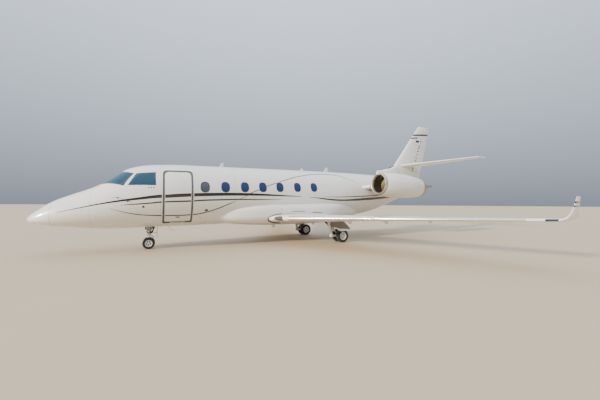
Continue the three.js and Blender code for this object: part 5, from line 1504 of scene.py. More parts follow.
shock_middle = SHOCK_FOOT.lerp(SHOCK_TOP, 0.42)
leg_line = (LEG_TOP - KNEE).length
main_parts = [
    turned("leg", [
        (0, 0), (0, 0.050), (0.030, 0.062), (0.090, 0.066), (0.140, 0.058), (leg_line * 0.55, 0.064),
        (leg_line * 0.62, 0.074), (leg_line * 0.82, 0.080), (leg_line, 0.078), (leg_line, 0)],
        KNEE, LEG_TOP - KNEE, gear_white, 40),
    across_leg(KNEE.x, KNEE.z, 0.060, 0.070, gear_white, 0.008),
    across_leg(KNEE.x, KNEE.z, 0.074, 0.034, gear_white),
    rod(KNEE, (MX, MY, MAIN_PLACE.z), 0.052, gear_white, 0.044, 36),
    turned("bearing", [
        (-0.0759, 0.0285), (-0.0759, 0.054), (-0.068, 0.060), (0.068, 0.060),
        (0.0759, 0.054), (0.0759, 0.0285)],
        MAIN_PLACE, (0, 1, 0), gear_white, 40, hollow=True),
    turned("shock_cylinder", [
        (0, 0), (0, 0.038), (0.012, 0.044), (0.030, 0.044), (0.040, 0.040),
        ((SHOCK_TOP - shock_middle).length - 0.05, 0.042), ((SHOCK_TOP - shock_middle).length, 0.046),
        ((SHOCK_TOP - shock_middle).length, 0)], shock_middle, SHOCK_TOP - shock_middle, gear_white, 36),
    rod(SHOCK_FOOT - Vector((0.020, 0, -0.028)),
        SHOCK_FOOT + (shock_middle - SHOCK_FOOT) * 0.15, 0.038, gear_white,
        0.032, 32),
    across_leg(SHOCK_FOOT.x, SHOCK_FOOT.z, 0.045, 0.026, gear_white),
    rod((SHOCK_TOP.x - 0.090, MY, 0.850), (SHOCK_TOP.x + 0.040, MY, 0.780), 0.040, gear_white,
        sides=32, edge=0.004),
    across_leg(SHOCK_TOP.x + 0.010, 0.796, 0.052, 0.022, gear_white),
    across_leg(LEG_TOP.x, 0.985, 0.190, 0.046, gear_white, 0.006),
]
fixed_pair(gathered("main_leg_forgings", main_parts), "airframe", "gear_paint", "main_leg")
fixed_pair(rod(SHOCK_FOOT.lerp(shock_middle, 0.1), shock_middle.lerp(SHOCK_TOP, 0.1), 0.027, chrome, sides=36,
               name="shock_piston"), "airframe", "gear_steel")
brake_pipes = []
for offset in (-0.052, 0.052):
    brake_pipes.append(pipe([
        (MX - 0.030, MY + offset * 0.9, 0.350), (MX - 0.200, MY + offset, 0.348),
        (MX - 0.400, MY + offset, 0.365),
        (MX - 0.425, MY + offset * 1.2, 0.450), (MX - 0.490, MY + offset * 1.3, 0.700),
        (MX - 0.540, MY + offset * 1.5, 0.930), (MX - 0.545, MY + offset * 1.5, 1.010)], 0.0075, hose_black))
fixed_pair(gathered("brake_hoses", brake_pipes), "airframe", "tyre_and_hub")
main_bolts = []
for x, z, half, radius in ((KNEE.x, KNEE.z, 0.074, 0.020), (SHOCK_FOOT.x, SHOCK_FOOT.z, 0.045, 0.014),
                           (SHOCK_TOP.x + 0.010, 0.796, 0.052, 0.013)):
    main_bolts.append(across_leg(x, z, half + 0.008, radius, bare_steel, 0.003))
fixed_pair(gathered("main_leg_bolts", main_bolts), "airframe", "gear_steel")

# Side braces: a jointed steel strut from each leg up and inboard to the wing's root
brace_foot = Vector((MX - 0.520, MY - 0.060, 0.700))
brace_top = Vector((MX - 0.500, MY - 0.560, 1.010))
brace_knee = brace_foot.lerp(brace_top, 0.55) + Vector((0, 0, -0.030))
brace = gathered("main_gear_side_brace", [
    rod(brace_foot, brace_knee, 0.026, dark_casting, 0.030, 28, edge=0.003),
    rod(brace_knee, brace_top, 0.030, dark_casting, 0.024, 28, edge=0.003),
    rod(brace_knee - Vector((0.050, 0, 0)), brace_knee + Vector((0.050, 0, 0)), 0.036, dark_casting,
        sides=28, edge=0.004),
    rod(brace_top - Vector((0.060, 0, 0)), brace_top + Vector((0.060, 0, 0)), 0.034, dark_casting,
        sides=28, edge=0.004)])
fixed_pair(shade(brace), "airframe", "gear_steel")

# Main gear doors: a panel outboard of each leg under the wing, with its lower edge flared outwards
# The panel's warm grey is painted shade: the door itself is white, and the grey stands for the wing's shadow
# on it
door_painted_shade = finish(
    "warm_grey_door_enamel", "#6f6859", 0.34, grain_mm=9, grain=0.02, tint=0.05, tint_m=0.3, Coat_Weight=0.4)
DOOR_Y = 1.962
door_corners = [(MX - 0.76, 1.085), (MX - 0.19, 1.085), (MX + 0.315, 0.60),
                (MX + 0.30, 0.56), (MX - 0.24, 0.60),
                (MX - 0.72, 0.74)]
main_door = outline_prism(
    rounded(door_corners, [0.01, 0.05, 0.015, 0.015, 0.25, 0.06]), DOOR_Y, DOOR_Y + 0.022,
    name="main_gear_door_panel")
main_door.data.materials[0] = door_painted_shade
fixed_pair(main_door, "airframe", "airframe_paint", "main_gear_door")
flare_line = flowing([(MX - 0.42, 0, 0.655), (MX - 0.24, 0, 0.602), (MX + 0.05, 0, 0.582),
                      (MX + 0.295, 0, 0.565)], 6)
flare_rings = []
for k, point in enumerate(flare_line):
    share = k / (len(flare_line) - 1)
    reach = 0.115 * math.sin(math.pi * min(1.0,
                                           0.15 + share)) ** 0.6 if share < 0.85 else 0.115 * (1.1 - share)
    reach = max(reach, 0.02)
    flare_rings.append([
        (point.x, DOOR_Y + 0.002, point.z + 0.012),
        (point.x, DOOR_Y + 0.012 + reach * 0.55, point.z - reach * 0.75),
        (point.x, DOOR_Y + 0.020 + reach * 0.55, point.z - reach * 0.75 + 0.004),
        (point.x, DOOR_Y + 0.021, point.z + 0.014)])
flare = new_piece("main_gear_door_flare", *loft(flare_rings), gloss_white)
fixed_pair(flare, "airframe", "airframe_paint")
ribs = []
for k in range(5):
    x = MX - 0.66 + 0.125 * k
    ribs.append(outline_prism(
        [(x, 0.80 - 0.030 * k), (x + 0.014, 0.80 - 0.030 * k), (x + 0.014, 1.07), (x, 1.07)],
        DOOR_Y - 0.014, DOOR_Y,
        name="rib"))
fixed_pair(gathered("main_gear_door_ribs", ribs), "airframe", "airframe_paint")


# Cockpit panes: heated laminated glass with a green-blue tint, each held by a dark sealant bead in its frame.
# Cut from the skin's own curve, so they lie flush; the bead is a hair proud.
cockpit_tint = finish(
    "tinted_cockpit_glass", "#23799a", 0.03, tint=0.03, tint_m=0.4, Transmission_Weight=0.80, IOR=1.5,
    Specular_IOR_Level=0.30)
sealant = finish("dark_pane_sealant", "#4b4a4c", 0.5, grain_mm=4, grain=0.2, tint=0.08, tint_m=0.1)
PANE_THICKNESS = 0.024
BEAD = 0.013


def pane_piece(corners, corner, outer, inner, shrink, material):
    pane = new_piece("pane", *tube(1.74, 3.62, outer, inner), material)
    return combined(pane, [pane_cutter(corners, shrink, corner)], "INTERSECT")


for corners, corner, node in ((FRONT_PANE, 0.060, "windscreen"), (SIDE_PANE, 0.070, "cockpit_side_window")):
    pane = pane_piece(corners, corner, 0.0008, PANE_THICKNESS, SEAM + 0.003, cockpit_tint)
    pane.name = node + "_glass"
    true_normals(pane)
    bead = pane_piece(corners, corner, -0.0012, 0.004, SEAM, sealant)
    combined(bead, [pane_cutter(corners, BEAD, corner * 0.9)])
    bead.name = node + "_bead"
    shade(bead)
    fixed_pair(pane, "airframe", "cockpit_glass", node)
    fixed_pair(bead, "airframe", "cockpit_glass")

# Ceramic border: a tinted band on the frame round each pane, which squares its corners off
FRONT_BORDER = [(1.740, 0.022, 2.228), (2.610, 0.880, 2.232), (2.885, 0.690, 2.690), (2.520, 0.330, 2.752),
                (2.455, 0.022, 2.775)]
SIDE_BORDER = [(2.722, 0.925, 2.260), (2.965, 0.700, 2.690), (3.548, 0.800, 2.752), (3.566, 1.075, 2.266)]
cockpit_border = finish(
    "tinted_ceramic_border", "#143d4c", 0.08, tint=0.05, tint_m=0.3, Coat_Weight=0.6, Coat_Roughness=0.03)
for corners, border, corner, node in (
        (FRONT_PANE, FRONT_BORDER, 0.060, "windscreen"),
        (SIDE_PANE, SIDE_BORDER, 0.070, "cockpit_side_window")):
    film = new_piece("film", *tube(1.65, 3.615, -0.0009, 0.0006), cockpit_border)
    combined(film, [pane_cutter(border, 0, 0.018)], "INTERSECT")
    combined(film, [pane_cutter(corners, SEAM, corner)])
    film.name = node + "_border"
    fixed_pair(shade(film), "airframe", "cockpit_glass")

# Side window rear post: the dark lining that shows through the glass at its rear edge
side_post = pane_piece(SIDE_PANE, 0.070, PANE_THICKNESS + 0.003, PANE_THICKNESS + 0.018, SEAM, sealant)
combined(side_post, [box_body((at(2.2), 0.4, 2.0), (at(3.475), 1.4, 3.0))])
side_post.name = "side_window_rear_post"
fixed_pair(shade(side_post), "airframe", "cockpit_glass")


# Cabin windows: a stretched acrylic pane in each opening, a rubber gasket round it and a clear inner strip.
# The foremost window on each side has its pleated shade drawn, and the third one's is half up.
acrylic = finish(
    "navy_stretched_acrylic", "#0f3270", 0.025, tint=0.03, tint_m=0.3, Transmission_Weight=0.35, IOR=1.49)
clear_strip = finish(
    "clear_inner_pane", "#d5dde0", 0.05, tint=0.02, tint_m=0.5, Transmission_Weight=0.92, IOR=1.49)
gasket_rubber = finish("grey_window_gasket", "#3c4350", 0.55, grain_mm=3, grain=0.2, tint=0.06, tint_m=0.1)
pleated_shade = finish(
    "grey_pleated_shade", "#b9bac4", 0.85, grain_mm=4, grain=0.3, tint=0.05, tint_m=0.05, Sheen_Weight=0.3)
STRIP_ENDS = (WINDOW_STATIONS[0] - 0.240, WINDOW_STATIONS[6] + 0.240)


def window_prism(station, grow):
    outline = oval(at(station), window_height(station), WINDOW_HALF[0] + grow, WINDOW_HALF[1] + grow, 48)
    return outline_prism(outline, 0.85, 1.4)


def in_windows(name, outer, inner, grow, hole, material, stations=WINDOW_STATIONS):
    """Pieces of a shell between two insets, one in each window's oval, with or without a hole."""
    group = []
    for station in stations:
        shell = new_piece("shell", *tube(station - 0.20, station + 0.20, outer, inner), material)
        combined(shell, [window_prism(station, grow)], "INTERSECT")
        if hole is not None:
            combined(shell, [window_prism(station, hole)])
        group.append(shell)
    whole = gathered(name, group)
    shade(whole)
    return whole


grey_acrylic = finish(
    "grey_stretched_acrylic", "#555a68", 0.03, tint=0.03, tint_m=0.3, Transmission_Weight=0.5, IOR=1.49,
    Coat_Weight=0.5, Coat_Roughness=0.02)
for name, material, stations in (("cabin_outer_panes", acrylic, WINDOW_STATIONS[1:]),
                                 ("foremost_cabin_pane", grey_acrylic, WINDOW_STATIONS[:1])):
    outer_panes = in_windows(name, 0.006, 0.016, -0.0005, None, material, stations)
    true_normals(outer_panes)
    fixed_pair(outer_panes, "airframe", "cabin_glass")
fixed_pair(in_windows("cabin_window_lips", -0.0010, 0.0012, 0.010, -0.010, gasket_rubber), "airframe",
           "cabin_glass")
fixed_pair(in_windows("cabin_window_gaskets", 0.0015, 0.022, -0.0003, -0.012, gasket_rubber), "airframe",
           "cabin_glass")
inner_strip = new_piece("cabin_inner_panes", *tube(*STRIP_ENDS, WALL + 0.0003, WALL + 0.006), clear_strip)
low, high = (window_height(station) for station in STRIP_ENDS)
combined(inner_strip, [outline_prism(
    [(at(STRIP_ENDS[0]) + 0.001, low - 0.23), (at(STRIP_ENDS[1]) - 0.001, high - 0.23),
     (at(STRIP_ENDS[1]) - 0.001, high + 0.23), (at(STRIP_ENDS[0]) + 0.001, low + 0.23)], 0.7, 1.3)],
     "INTERSECT")
fixed_pair(shade(inner_strip), "airframe", "cabin_glass", "cabin_window_strip")
SHADE_PLEAT = 0.019
for name, station, folds in (("foremost_window_shade", WINDOW_STATIONS[0], 41),
                             ("third_window_shade", WINDOW_STATIONS[2], 19)):
    shade_rings = []
    for k in range(folds):
        z = window_height(station) - 0.185 + k * SHADE_PLEAT / 2
        ring = []
        for along in [-0.14 + 0.02 * n for n in range(15)]:
            row = skin_row(station + along)
            rise = row[2] - row[3] if z > row[3] else row[3] - row[4]
            y = row[1] * math.sqrt(max(0.01,
                                       1 - ((z - row[3]) / rise) ** 2)) - 0.036 - (0.004 if k % 2 else 0.0)
            ring.append((at(station + along), y, z))
        shade_rings.append([Vector(p) for p in ring] + [Vector(p) - Vector((0, 0.0012,
                                                                            0)) for p in reversed(ring)])
    window_shade = new_piece(name, *loft(shade_rings), pleated_shade)
    combined(window_shade, [window_prism(station, -0.004)], "INTERSECT")
    shade(window_shade, 60)
    fixed_pair(window_shade, "airframe", "cabin_glass")


# Cabin and cockpit lining: moulded sidewall and headliner in ivory, cut round the windows, and the reveals.
lining_ivory = finish(
    "ivory_lining_vinyl", "#cfc6b4", 0.6, grain_mm=5, grain=0.12, tint=0.06, tint_m=0.4, Sheen_Weight=0.1)
LINING = (0.0915, 0.0945)


def floor_height(station):
    return 1.145 + SLOPE * (station - (DOOR[0] + DOOR[1]) / 2)


def above_floor(start, end, lift):
    outline = [(at(start), floor_height(start) + lift), (at(end), floor_height(end) + lift), (at(end), 4),
               (at(start), 4)]
    return outline_prism(outline, -1.5, 1.5)


lining = new_piece("cabin_lining", *tube(4.79, 11.395, *LINING), lining_ivory)
combined(lining, [above_floor(4.6, 11.5, 0.002)], "INTERSECT")
holes = []
for station in WINDOW_STATIONS:
    hole = window_prism(station, 0.004)
    holes += [hole, mirror_of(hole, "cutter")]
combined(lining, holes)
fixed(shade(lining), "airframe", "bulkhead_trim")
fixed_pair(in_windows("cabin_window_reveals", 0.024, WALL - 0.001, -0.0003, -0.006, lining_ivory), "airframe",
           "bulkhead_trim")


# Floor: sandwich board with a cut-pile wool carpet laid on it, its edge bound along the door's step well.
cabin_carpet = finish(
    "cut_pile_wool_carpet", "#8a7c68", 0.97, grain_mm=4, grain=0.8, tint=0.10, tint_m=0.04, Sheen_Weight=0.5,
    Sheen_Roughness=0.7)
floor_board = finish("sandwich_floor_board", "#9b9a90", 0.7, grain_mm=6, grain=0.08, tint=0.08, tint_m=0.2)


def floor_slab(name, start, end, top, thickness, inset, material):
    outline = [(at(start), floor_height(start) + top - thickness),
               (at(end), floor_height(end) + top - thickness),
               (at(end), floor_height(end) + top), (at(start), floor_height(start) + top)]
    slab = outline_prism(outline, -1.2, 1.2)
    inside = new_piece("cutter", *loft([skin_ring(s, WALL + inset) for s in stations_between(1.9, 11.5)]),
                       material)
    combined(slab, [inside], "INTERSECT")
    combined(slab, [box_body((at(DOOR[0]) - 0.02, -1.3, 0.9), (at(DOOR[1]) + 0.02, -0.42, 1.4))])
    slab.name = name
    slab.data.materials.clear()
    slab.data.materials.append(material)
    shade(slab)
    return slab


fixed(floor_slab("cabin_floor_board", 1.96, 11.42, -0.0085, 0.0313, 0.0006, floor_board),
      "airframe", "carpet",
      "cabin_floor")
fixed(floor_slab("cabin_carpet", 1.962, 11.418, -0.0003, 0.008, 0.0016, cabin_carpet), "airframe", "carpet")
binding = pipe([
    (at(DOOR[0]) - 0.022, -1.0, floor_height(DOOR[0]) - 0.0048),
    (at(DOOR[0]) - 0.022, -0.60, floor_height(DOOR[0]) - 0.0048),
    (at(DOOR[0]) - 0.022, -0.418, floor_height(DOOR[0]) - 0.0048),
    (at(4.0), -0.417, floor_height(4.0) - 0.0048),
    (at(4.5), -0.417, floor_height(4.5) - 0.0048),
    (at(DOOR[1]) + 0.022, -0.418, floor_height(DOOR[1]) - 0.0048),
    (at(DOOR[1]) + 0.022, -0.60, floor_height(DOOR[1]) - 0.0048),
    (at(DOOR[1]) + 0.022, -1.0, floor_height(DOOR[1]) - 0.0048)],
    0.0042, step_carpet, "carpet_binding")
fixed(binding, "airframe", "carpet")


# Bulkheads: veneered panels, one behind the cockpit with a doorway and one closing the cabin at the rear.
# The doorway has a bright edge trim, and the rear panel a flush door outline and a pull.
veneer = bpy.data.materials.new("walnut_veneer_gloss")
veneer.use_nodes = True
veneer_tree = veneer.node_tree
veneer_shader = veneer_tree.nodes["Principled BSDF"]
veneer_place = add(veneer_tree, "ShaderNodeTexCoord").outputs["Object"]
# The figure runs upright: grain stretched along Z, with slow waves between its dark and light bands
stretch = add(veneer_tree, "ShaderNodeMapping", [("Scale", (14, 14, 1.2))], [("Vector", veneer_place)])
bands = add(
    veneer_tree, "ShaderNodeTexNoise", [("Scale", 2.4), ("Detail", 8), ("Distortion", 0.6)],
    [("Vector", stretch.outputs[0])])
figure = add(
    veneer_tree, "ShaderNodeMix", [(6, linear("#5c3a22")), (7, linear("#9a6b42"))], [(0, bands.outputs[0])],
    data_type="RGBA")
veneer_tree.links.new(figure.outputs[2], veneer_shader.inputs["Base Color"])
veneer_shader.inputs["Roughness"].default_value = 0.28
veneer_shader.inputs["Coat Weight"].default_value = 0.6


def wall_panel(name, station, thickness, inset, material, lift=0.0005):
    panel = box_body((at(station), -1.5, 0.5), (at(station) + thickness, 1.5, 3.6))
    inside = new_piece(
        "cutter", *loft([skin_ring(s, WALL + inset) for s in stations_between(station - 0.1,
                                                                              station + 0.14)]), material)
    combined(panel, [inside, above_floor(station - 0.3, station + 0.4, lift)], "INTERSECT")
    panel.name = name
    panel.data.materials.clear()
    panel.data.materials.append(material)
    return panel


def door_arch(half, top, low=1.0):
    return rounded([(-half, low), (half, low), (half, top), (-half, top)], [0.001, 0.001, 0.06, 0.06])


front_panel = wall_panel("cockpit_bulkhead_panel", 3.6205, 0.039, 0.0006, veneer)
combined(front_panel, [outline_prism(door_arch(0.3105, 2.8595), at(3.5), at(3.8), across="x")])
fixed(shade(front_panel), "airframe", "bulkhead_trim", "cockpit_bulkhead")
arch_trim = outline_prism(door_arch(0.330, 2.8795), at(3.620), at(3.660), across="x",
                          name="cockpit_doorway_trim")
combined(arch_trim, [outline_prism(door_arch(0.3102, 2.8592, 0.9), at(3.5), at(3.8), across="x")])
combined(arch_trim, [above_floor(3.5, 3.8, 0.0005)], "INTERSECT")
combined(arch_trim, [box_body((at(3.6212), -1, 0.9), (at(3.6588), -0.3115, 2.84)),
                     box_body((at(3.6212), 0.3115, 0.9), (at(3.6588), 1, 2.84))])
arch_trim.data.materials.clear()
arch_trim.data.materials.append(polished)
fixed(shade(arch_trim), "airframe", "bulkhead_trim")
rear_panel = wall_panel("rear_bulkhead_panel", 11.4405, 0.039, 0.0006, veneer, -0.6)
combined(rear_panel, [outline_prism(door_arch(0.30, 2.86, 1.33), at(11.4), at(11.4440), across="x")])
fixed(shade(rear_panel), "airframe", "bulkhead_trim", "rear_bulkhead")
rear_door = outline_prism(
    door_arch(0.297, 2.857, 1.333), at(11.4410), at(11.4438), across="x", name="lavatory_door")
rear_door.data.materials.clear()
rear_door.data.materials.append(lining_ivory)
fixed(rear_door, "airframe", "bulkhead_trim")
pull = pipe([(at(11.4405), 0.20, 1.98), (at(11.4300), 0.20, 1.99), (at(11.4260), 0.20, 2.03),
             (at(11.4260), 0.20, 2.13),
             (at(11.4300), 0.20, 2.17), (at(11.4405), 0.20, 2.18)], 0.006, polished, "lavatory_door_pull", 14)
fixed(pull, "airframe", "bulkhead_trim")


# Cockpit: the glareshield in beige vinyl, a dark board with four displays, a pedestal and two control wheels.
glare_vinyl = finish(
    "beige_glareshield_vinyl", "#c3ac84", 0.75, grain_mm=5, grain=0.25, tint=0.06,
    tint_m=0.2, Sheen_Weight=0.2)
panel_grey = finish("grey_panel_enamel", "#4a4d50", 0.55, grain_mm=3, grain=0.1, tint=0.06, tint_m=0.1)
panel_black = finish("black_moulded_plastic", "#17181a", 0.42, grain_mm=3, grain=0.2, tint=0.1, tint_m=0.05)
screen = finish(
    "dark_display_glass", "#06080c", 0.08, tint=0.1, tint_m=0.1, Coat_Weight=0.8, Coat_Roughness=0.03)
PANEL = at(2.300)


BOARD_GAP = 0.0008


def in_cabin(piece):
    """Cuts a piece to the pressure hull's inside."""
    inside = new_piece(
        "cutter", *loft([skin_ring(s, WALL + BOARD_GAP) for s in stations_between(1.75, 3.6)]),
        piece.data.materials[0])
    return combined(piece, [inside], "INTERSECT")


def coloured(piece, material):
    piece.data.materials.clear()
    piece.data.materials.append(material)
    return piece


board = coloured(outline_prism(
    [(PANEL - 0.129, 1.501), (PANEL - 0.001, 1.501), (PANEL + 0.056, 2.066), (PANEL - 0.129, 2.049)], -1.0,
    1.0,
    name="instrument_board"), panel_grey)
fixed(in_cabin(board), "airframe", "panel_plastic", "instrument_panel")
glareshield = coloured(outline_prism(rounded(
    [(PANEL - 0.329, 2.081), (PANEL - 0.129, 2.0515), (PANEL + 0.057, 2.080), (PANEL + 0.119, 2.101),
     (PANEL + 0.109, 2.139), (PANEL - 0.329, 2.149)], [0.004, 0.01, 0.01, 0.016, 0.016, 0.004]), -1.0, 1.0,
    name="glareshield"), glare_vinyl)
fixed(in_cabin(glareshield), "airframe", "panel_plastic")
face = Vector((0.057, 0, 0.565)).normalized()
face_out = Vector((face.z, 0, -face.x))


def on_board(y, up, width, height, depth, low, material, radius=0.006):
    """A plate on the board's sloping face, from low to low + depth proud of it."""
    outline = rounded([(-width / 2, -height / 2), (width / 2, -height / 2), (width / 2, height / 2),
                       (-width / 2, height / 2)], [radius] * 4)
    foot = Vector((PANEL, y, 1.501)) + face * up
    rings = [[foot + Vector((0, a, 0)) + face * b + face_out * c for a,
              b in outline] for c in (low, low + depth)]
    return new_piece("plate", *loft(rings), material)


bezels, screens = [], []
for y in (-0.62, -0.30, 0.30, 0.62):
    bezel = on_board(y, 0.36, 0.27, 0.215, 0.012, 0.0005, panel_black, 0.010)
    combined(bezel, [on_board(y, 0.36, 0.236, 0.176, 0.03, 0.006, panel_black, 0.004)])
    shade(bezel)
    bezels.append(bezel)
    screens.append(on_board(y, 0.36, 0.235, 0.175, 0.003, 0.0062, screen, 0.004))
for y in (-0.09, 0.0, 0.09):
    bezels.append(on_board(y, 0.43, 0.082, 0.082, 0.010, 0.0005, panel_black, 0.010))
    screens.append(on_board(y, 0.43, 0.066, 0.066, 0.002, 0.0106, screen, 0.008))
fixed(gathered("display_bezels", bezels), "airframe", "panel_plastic")
fixed(gathered("displays", screens), "airframe", "panel_plastic")


# Knobs set out on a grid by Geometry Nodes: columns across the board, rows up it
grid_tree, grid_in = new_tree(
    "grid_of_copies", [("Columns", "Int"), ("Rows", "Int"), ("Pitch", "Float"), ("Finish", "Material")])
grid_sizes = []
for count in ("Columns", "Rows"):
    gaps = add(grid_tree, "ShaderNodeMath", [(1, 1)], [(0, grid_in[count])], operation="SUBTRACT")
    grid_sizes.append(add(
        grid_tree, "ShaderNodeMath", links=[(0, gaps.outputs[0]), (1, grid_in["Pitch"])],
        operation="MULTIPLY"))
grid_points = add(grid_tree, "GeometryNodeMeshGrid", links=[
    ("Size X", grid_sizes[0].outputs[0]), ("Size Y", grid_sizes[1].outputs[0]),
    ("Vertices X", grid_in["Columns"]), ("Vertices Y", grid_in["Rows"])])
grid_upright = add(
    grid_tree, "GeometryNodeTransform", [("Rotation", (math.pi / 2, 0, math.pi / 2))],
    [("Geometry", grid_points.outputs[0])])
grid_copies = add(grid_tree, "GeometryNodeInstanceOnPoints", links=[
    ("Points", grid_upright.outputs[0]), ("Instance", grid_in["Piece"])])
end_tree(grid_tree, grid_copies.outputs[0], grid_in["Finish"])


def knob_field(name, columns, rows, pitch, first, slope):
    """Small knobs in columns and rows on a sloping board."""
    seed = rod((0, 0, 0), (0.016, 0, 0), 0.007, panel_black, 0.0055, 10, name=name, edge=0.0015)
    evaluated(seed, grid_tree, Columns=columns, Rows=rows, Pitch=pitch, Finish=panel_black)
    seed.data.transform(Matrix.Translation(first) @ Matrix.Rotation(slope, 4, "Y"))
    shade(seed)
    return seed


PEDESTAL_TOP = 1.640
pedestal = coloured(outline_prism(rounded(
    [(PANEL - 0.058, floor_height(2.3) + 0.017), (PANEL + 0.638, floor_height(2.3) + 0.017),
     (PANEL + 0.638, 1.560), (PANEL + 0.560, PEDESTAL_TOP - 0.020), (PANEL - 0.058, PEDESTAL_TOP - 0.001)],
    [0.004, 0.02, 0.04, 0.05, 0.004]), -0.119, 0.119, name="centre_pedestal"), panel_grey)
fixed(in_cabin(pedestal), "airframe", "panel_plastic")
columns, grips = [], []
for y in (-0.45, 0.45):
    columns.append(rod((PANEL - 0.008, y, 1.7005), (PANEL + 0.192, y, 1.7885), 0.020, panel_black, sides=24))
    columns.append(turned("gaiter", [(0, 0.021), (0, 0.034), (0.010, 0.036), (0.022, 0.028), (0.030, 0.021)],
                          (PANEL + 0.018, y, 1.7125), (0.2, 0, 0.09), panel_black, 24, hollow=True))
    hub = outline_prism(rounded([(y - 0.045, 1.777), (y + 0.045, 1.777), (y + 0.045, 1.813),
                                 (y - 0.045, 1.813)],
                                [0.012] * 4), PANEL + 0.1855, PANEL + 0.2145, across="x")
    grips.append(coloured(hub, panel_black))
    for side in (-1, 1):
        grips.append(pipe([(PANEL + 0.200, y + side * 0.030, 1.795), (PANEL + 0.200, y + side * 0.075, 1.788),
                           (PANEL + 0.200, y + side * 0.112, 1.790),
                           (PANEL + 0.200, y + side * 0.126, 1.8005)],
                          0.0125, panel_black, sides=12))
fixed(gathered("control_columns", columns), "airframe", "panel_plastic")
fixed(gathered("control_wheels", grips), "airframe", "panel_plastic")
fields = [
    knob_field("radio_knobs", 4, 2, 0.048, (PANEL + 0.020, 0, 1.501 + 0.20), 0.10),
    knob_field("left_knobs", 6, 1, 0.040, (PANEL + 0.016, -0.46, 1.501 + 0.13), 0.10),
    knob_field("right_knobs", 6, 1, 0.040, (PANEL + 0.016, 0.46, 1.501 + 0.13), 0.10)]
fixed(gathered("panel_knobs", fields), "airframe", "panel_plastic")


# Seats: leather cushions on moulded shells, with padded arms, on legs that slide on floor tracks.
# Each cushion swells under its cover by cloth simulation, and is then pulled in along its sewn channels.
seat_leather = finish(
    "cream_seat_leather", "#c9b892", 0.48, grain_mm=3, grain=0.22, tint=0.07, tint_m=0.12, Sheen_Weight=0.12)
seat_shell = finish("taupe_seat_shell", "#8b8071", 0.5, grain_mm=3, grain=0.1, tint=0.05, tint_m=0.1)
track_alloy = finish(
    "milled_track_alloy", "#a7a9ab", 0.35, metallic=1.0, grain_mm=6, grain=0.05, tint=0.06, tint_m=0.05)
VOXEL = 0.014
SWELL_CAP = 0.014
PRESSURE = 4.0
SIM_STEPS = 20


PILLOW_CORNER = 0.045
PILLOW_WAIST = 0.010


def pillow(low, high, crown=0.016):
    """A closed crowned form in a box: domed faces, round edges and sides that pull in between the corners."""
    low, high = Vector(low), Vector(high)
    middle = (low + high) / 2
    half = (high - low) / 2
    thin = min(range(3), key=lambda k: half[k])
    wide = [k for k in range(3) if k != thin]
    edge = min(half[thin] * 0.8, 0.035)
    rows = [(-1, 0.02, 0), (-1, 0.5, 0), (-1, 1, -edge * 0.7), (-0.8, 1, -edge * 0.2),
            (-0.35, 1, 0), (0.35, 1, 0),
            (0.8, 1, -edge * 0.2), (1, 1, -edge * 0.7), (1, 0.5, 0), (1, 0.02, 0)]
    rings = []
    for level, scale, inset in rows:
        reach = [(half[k] + inset) * scale for k in wide]
        outline = rounded([(-reach[0], -reach[1]), (reach[0], -reach[1]), (reach[0], reach[1]),
                           (-reach[0], reach[1])], [PILLOW_CORNER * scale] * 4, 5)
        points = []
        for a, b in outline:
            u, v = a / max(reach[0], 1e-6), b / max(reach[1], 1e-6)
            a *= 1 - PILLOW_WAIST * scale / half[wide[0]] * (1 - v * v)
            b *= 1 - PILLOW_WAIST * scale / half[wide[1]] * (1 - u * u)
            share = (1 - (a / half[wide[0]]) ** 2) * (1 - (b / half[wide[1]]) ** 2)
            point = Vector((0, 0, 0))
            point[wide[0]], point[wide[1]] = a, b
            point[thin] = level * (half[thin] - crown + crown * max(0, share))
            points.append(middle + point)
        rings.append(points)
    return new_piece("pillow", *loft(rings), seat_leather, 60)


CHANNEL_DEPTH = 0.007


def stuffed(low, high, channels=(), along=0, voxel=VOXEL, crown=0.016, face=1):
    """A cushion that fills a box: remeshed, blown up as cloth with capped travel, then sewn in."""
    cap = Vector((SWELL_CAP,) * 3)
    piece = pillow(Vector(low) + cap * 0.6, Vector(high) - cap * 0.6, crown)
    remesh = piece.modifiers.new("remesh", "REMESH")
    remesh.mode = "VOXEL"
    remesh.voxel_size = voxel
    graph = bpy.context.evaluated_depsgraph_get()
    piece.data = bpy.data.meshes.new_from_object(piece.evaluated_get(graph))
    piece.modifiers.clear()
    before = [v.co.copy() for v in piece.data.vertices]
    cloth = piece.modifiers.new("cloth", "CLOTH")
    cloth.settings.quality = 5
    cloth.settings.use_pressure = True
    cloth.settings.uniform_pressure_force = PRESSURE
    cloth.settings.effector_weights.gravity = 0
    cloth.point_cache.frame_start = 1
    cloth.point_cache.frame_end = SIM_STEPS
    scene = bpy.context.scene
    for step in range(1, SIM_STEPS + 1):
        scene.frame_set(step)
    graph = bpy.context.evaluated_depsgraph_get()
    swollen = bpy.data.meshes.new_from_object(piece.evaluated_get(graph))
    piece.modifiers.clear()
    scene.frame_set(1)
    for vertex, old in zip(swollen.vertices, before):
        travel = vertex.co - old
        if travel.length > SWELL_CAP:
            vertex.co = old + travel * SWELL_CAP / travel.length
    piece.data = swollen
    thin = min(range(3), key=lambda k: high[k] - low[k])
    middle = (low[thin] + high[thin]) / 2
    for vertex in piece.data.vertices:
        for channel in channels:
            near = (vertex.co[along] - channel) / (voxel * 0.9)
            if abs(near) < 2 and (vertex.co[thin] - middle) * face > 0:
                vertex.co[thin] -= face * CHANNEL_DEPTH * math.exp(-near * near)
        for k in range(3):
            vertex.co[k] = min(max(vertex.co[k], low[k]), high[k])
    return shade(coloured(piece, seat_leather), 80)


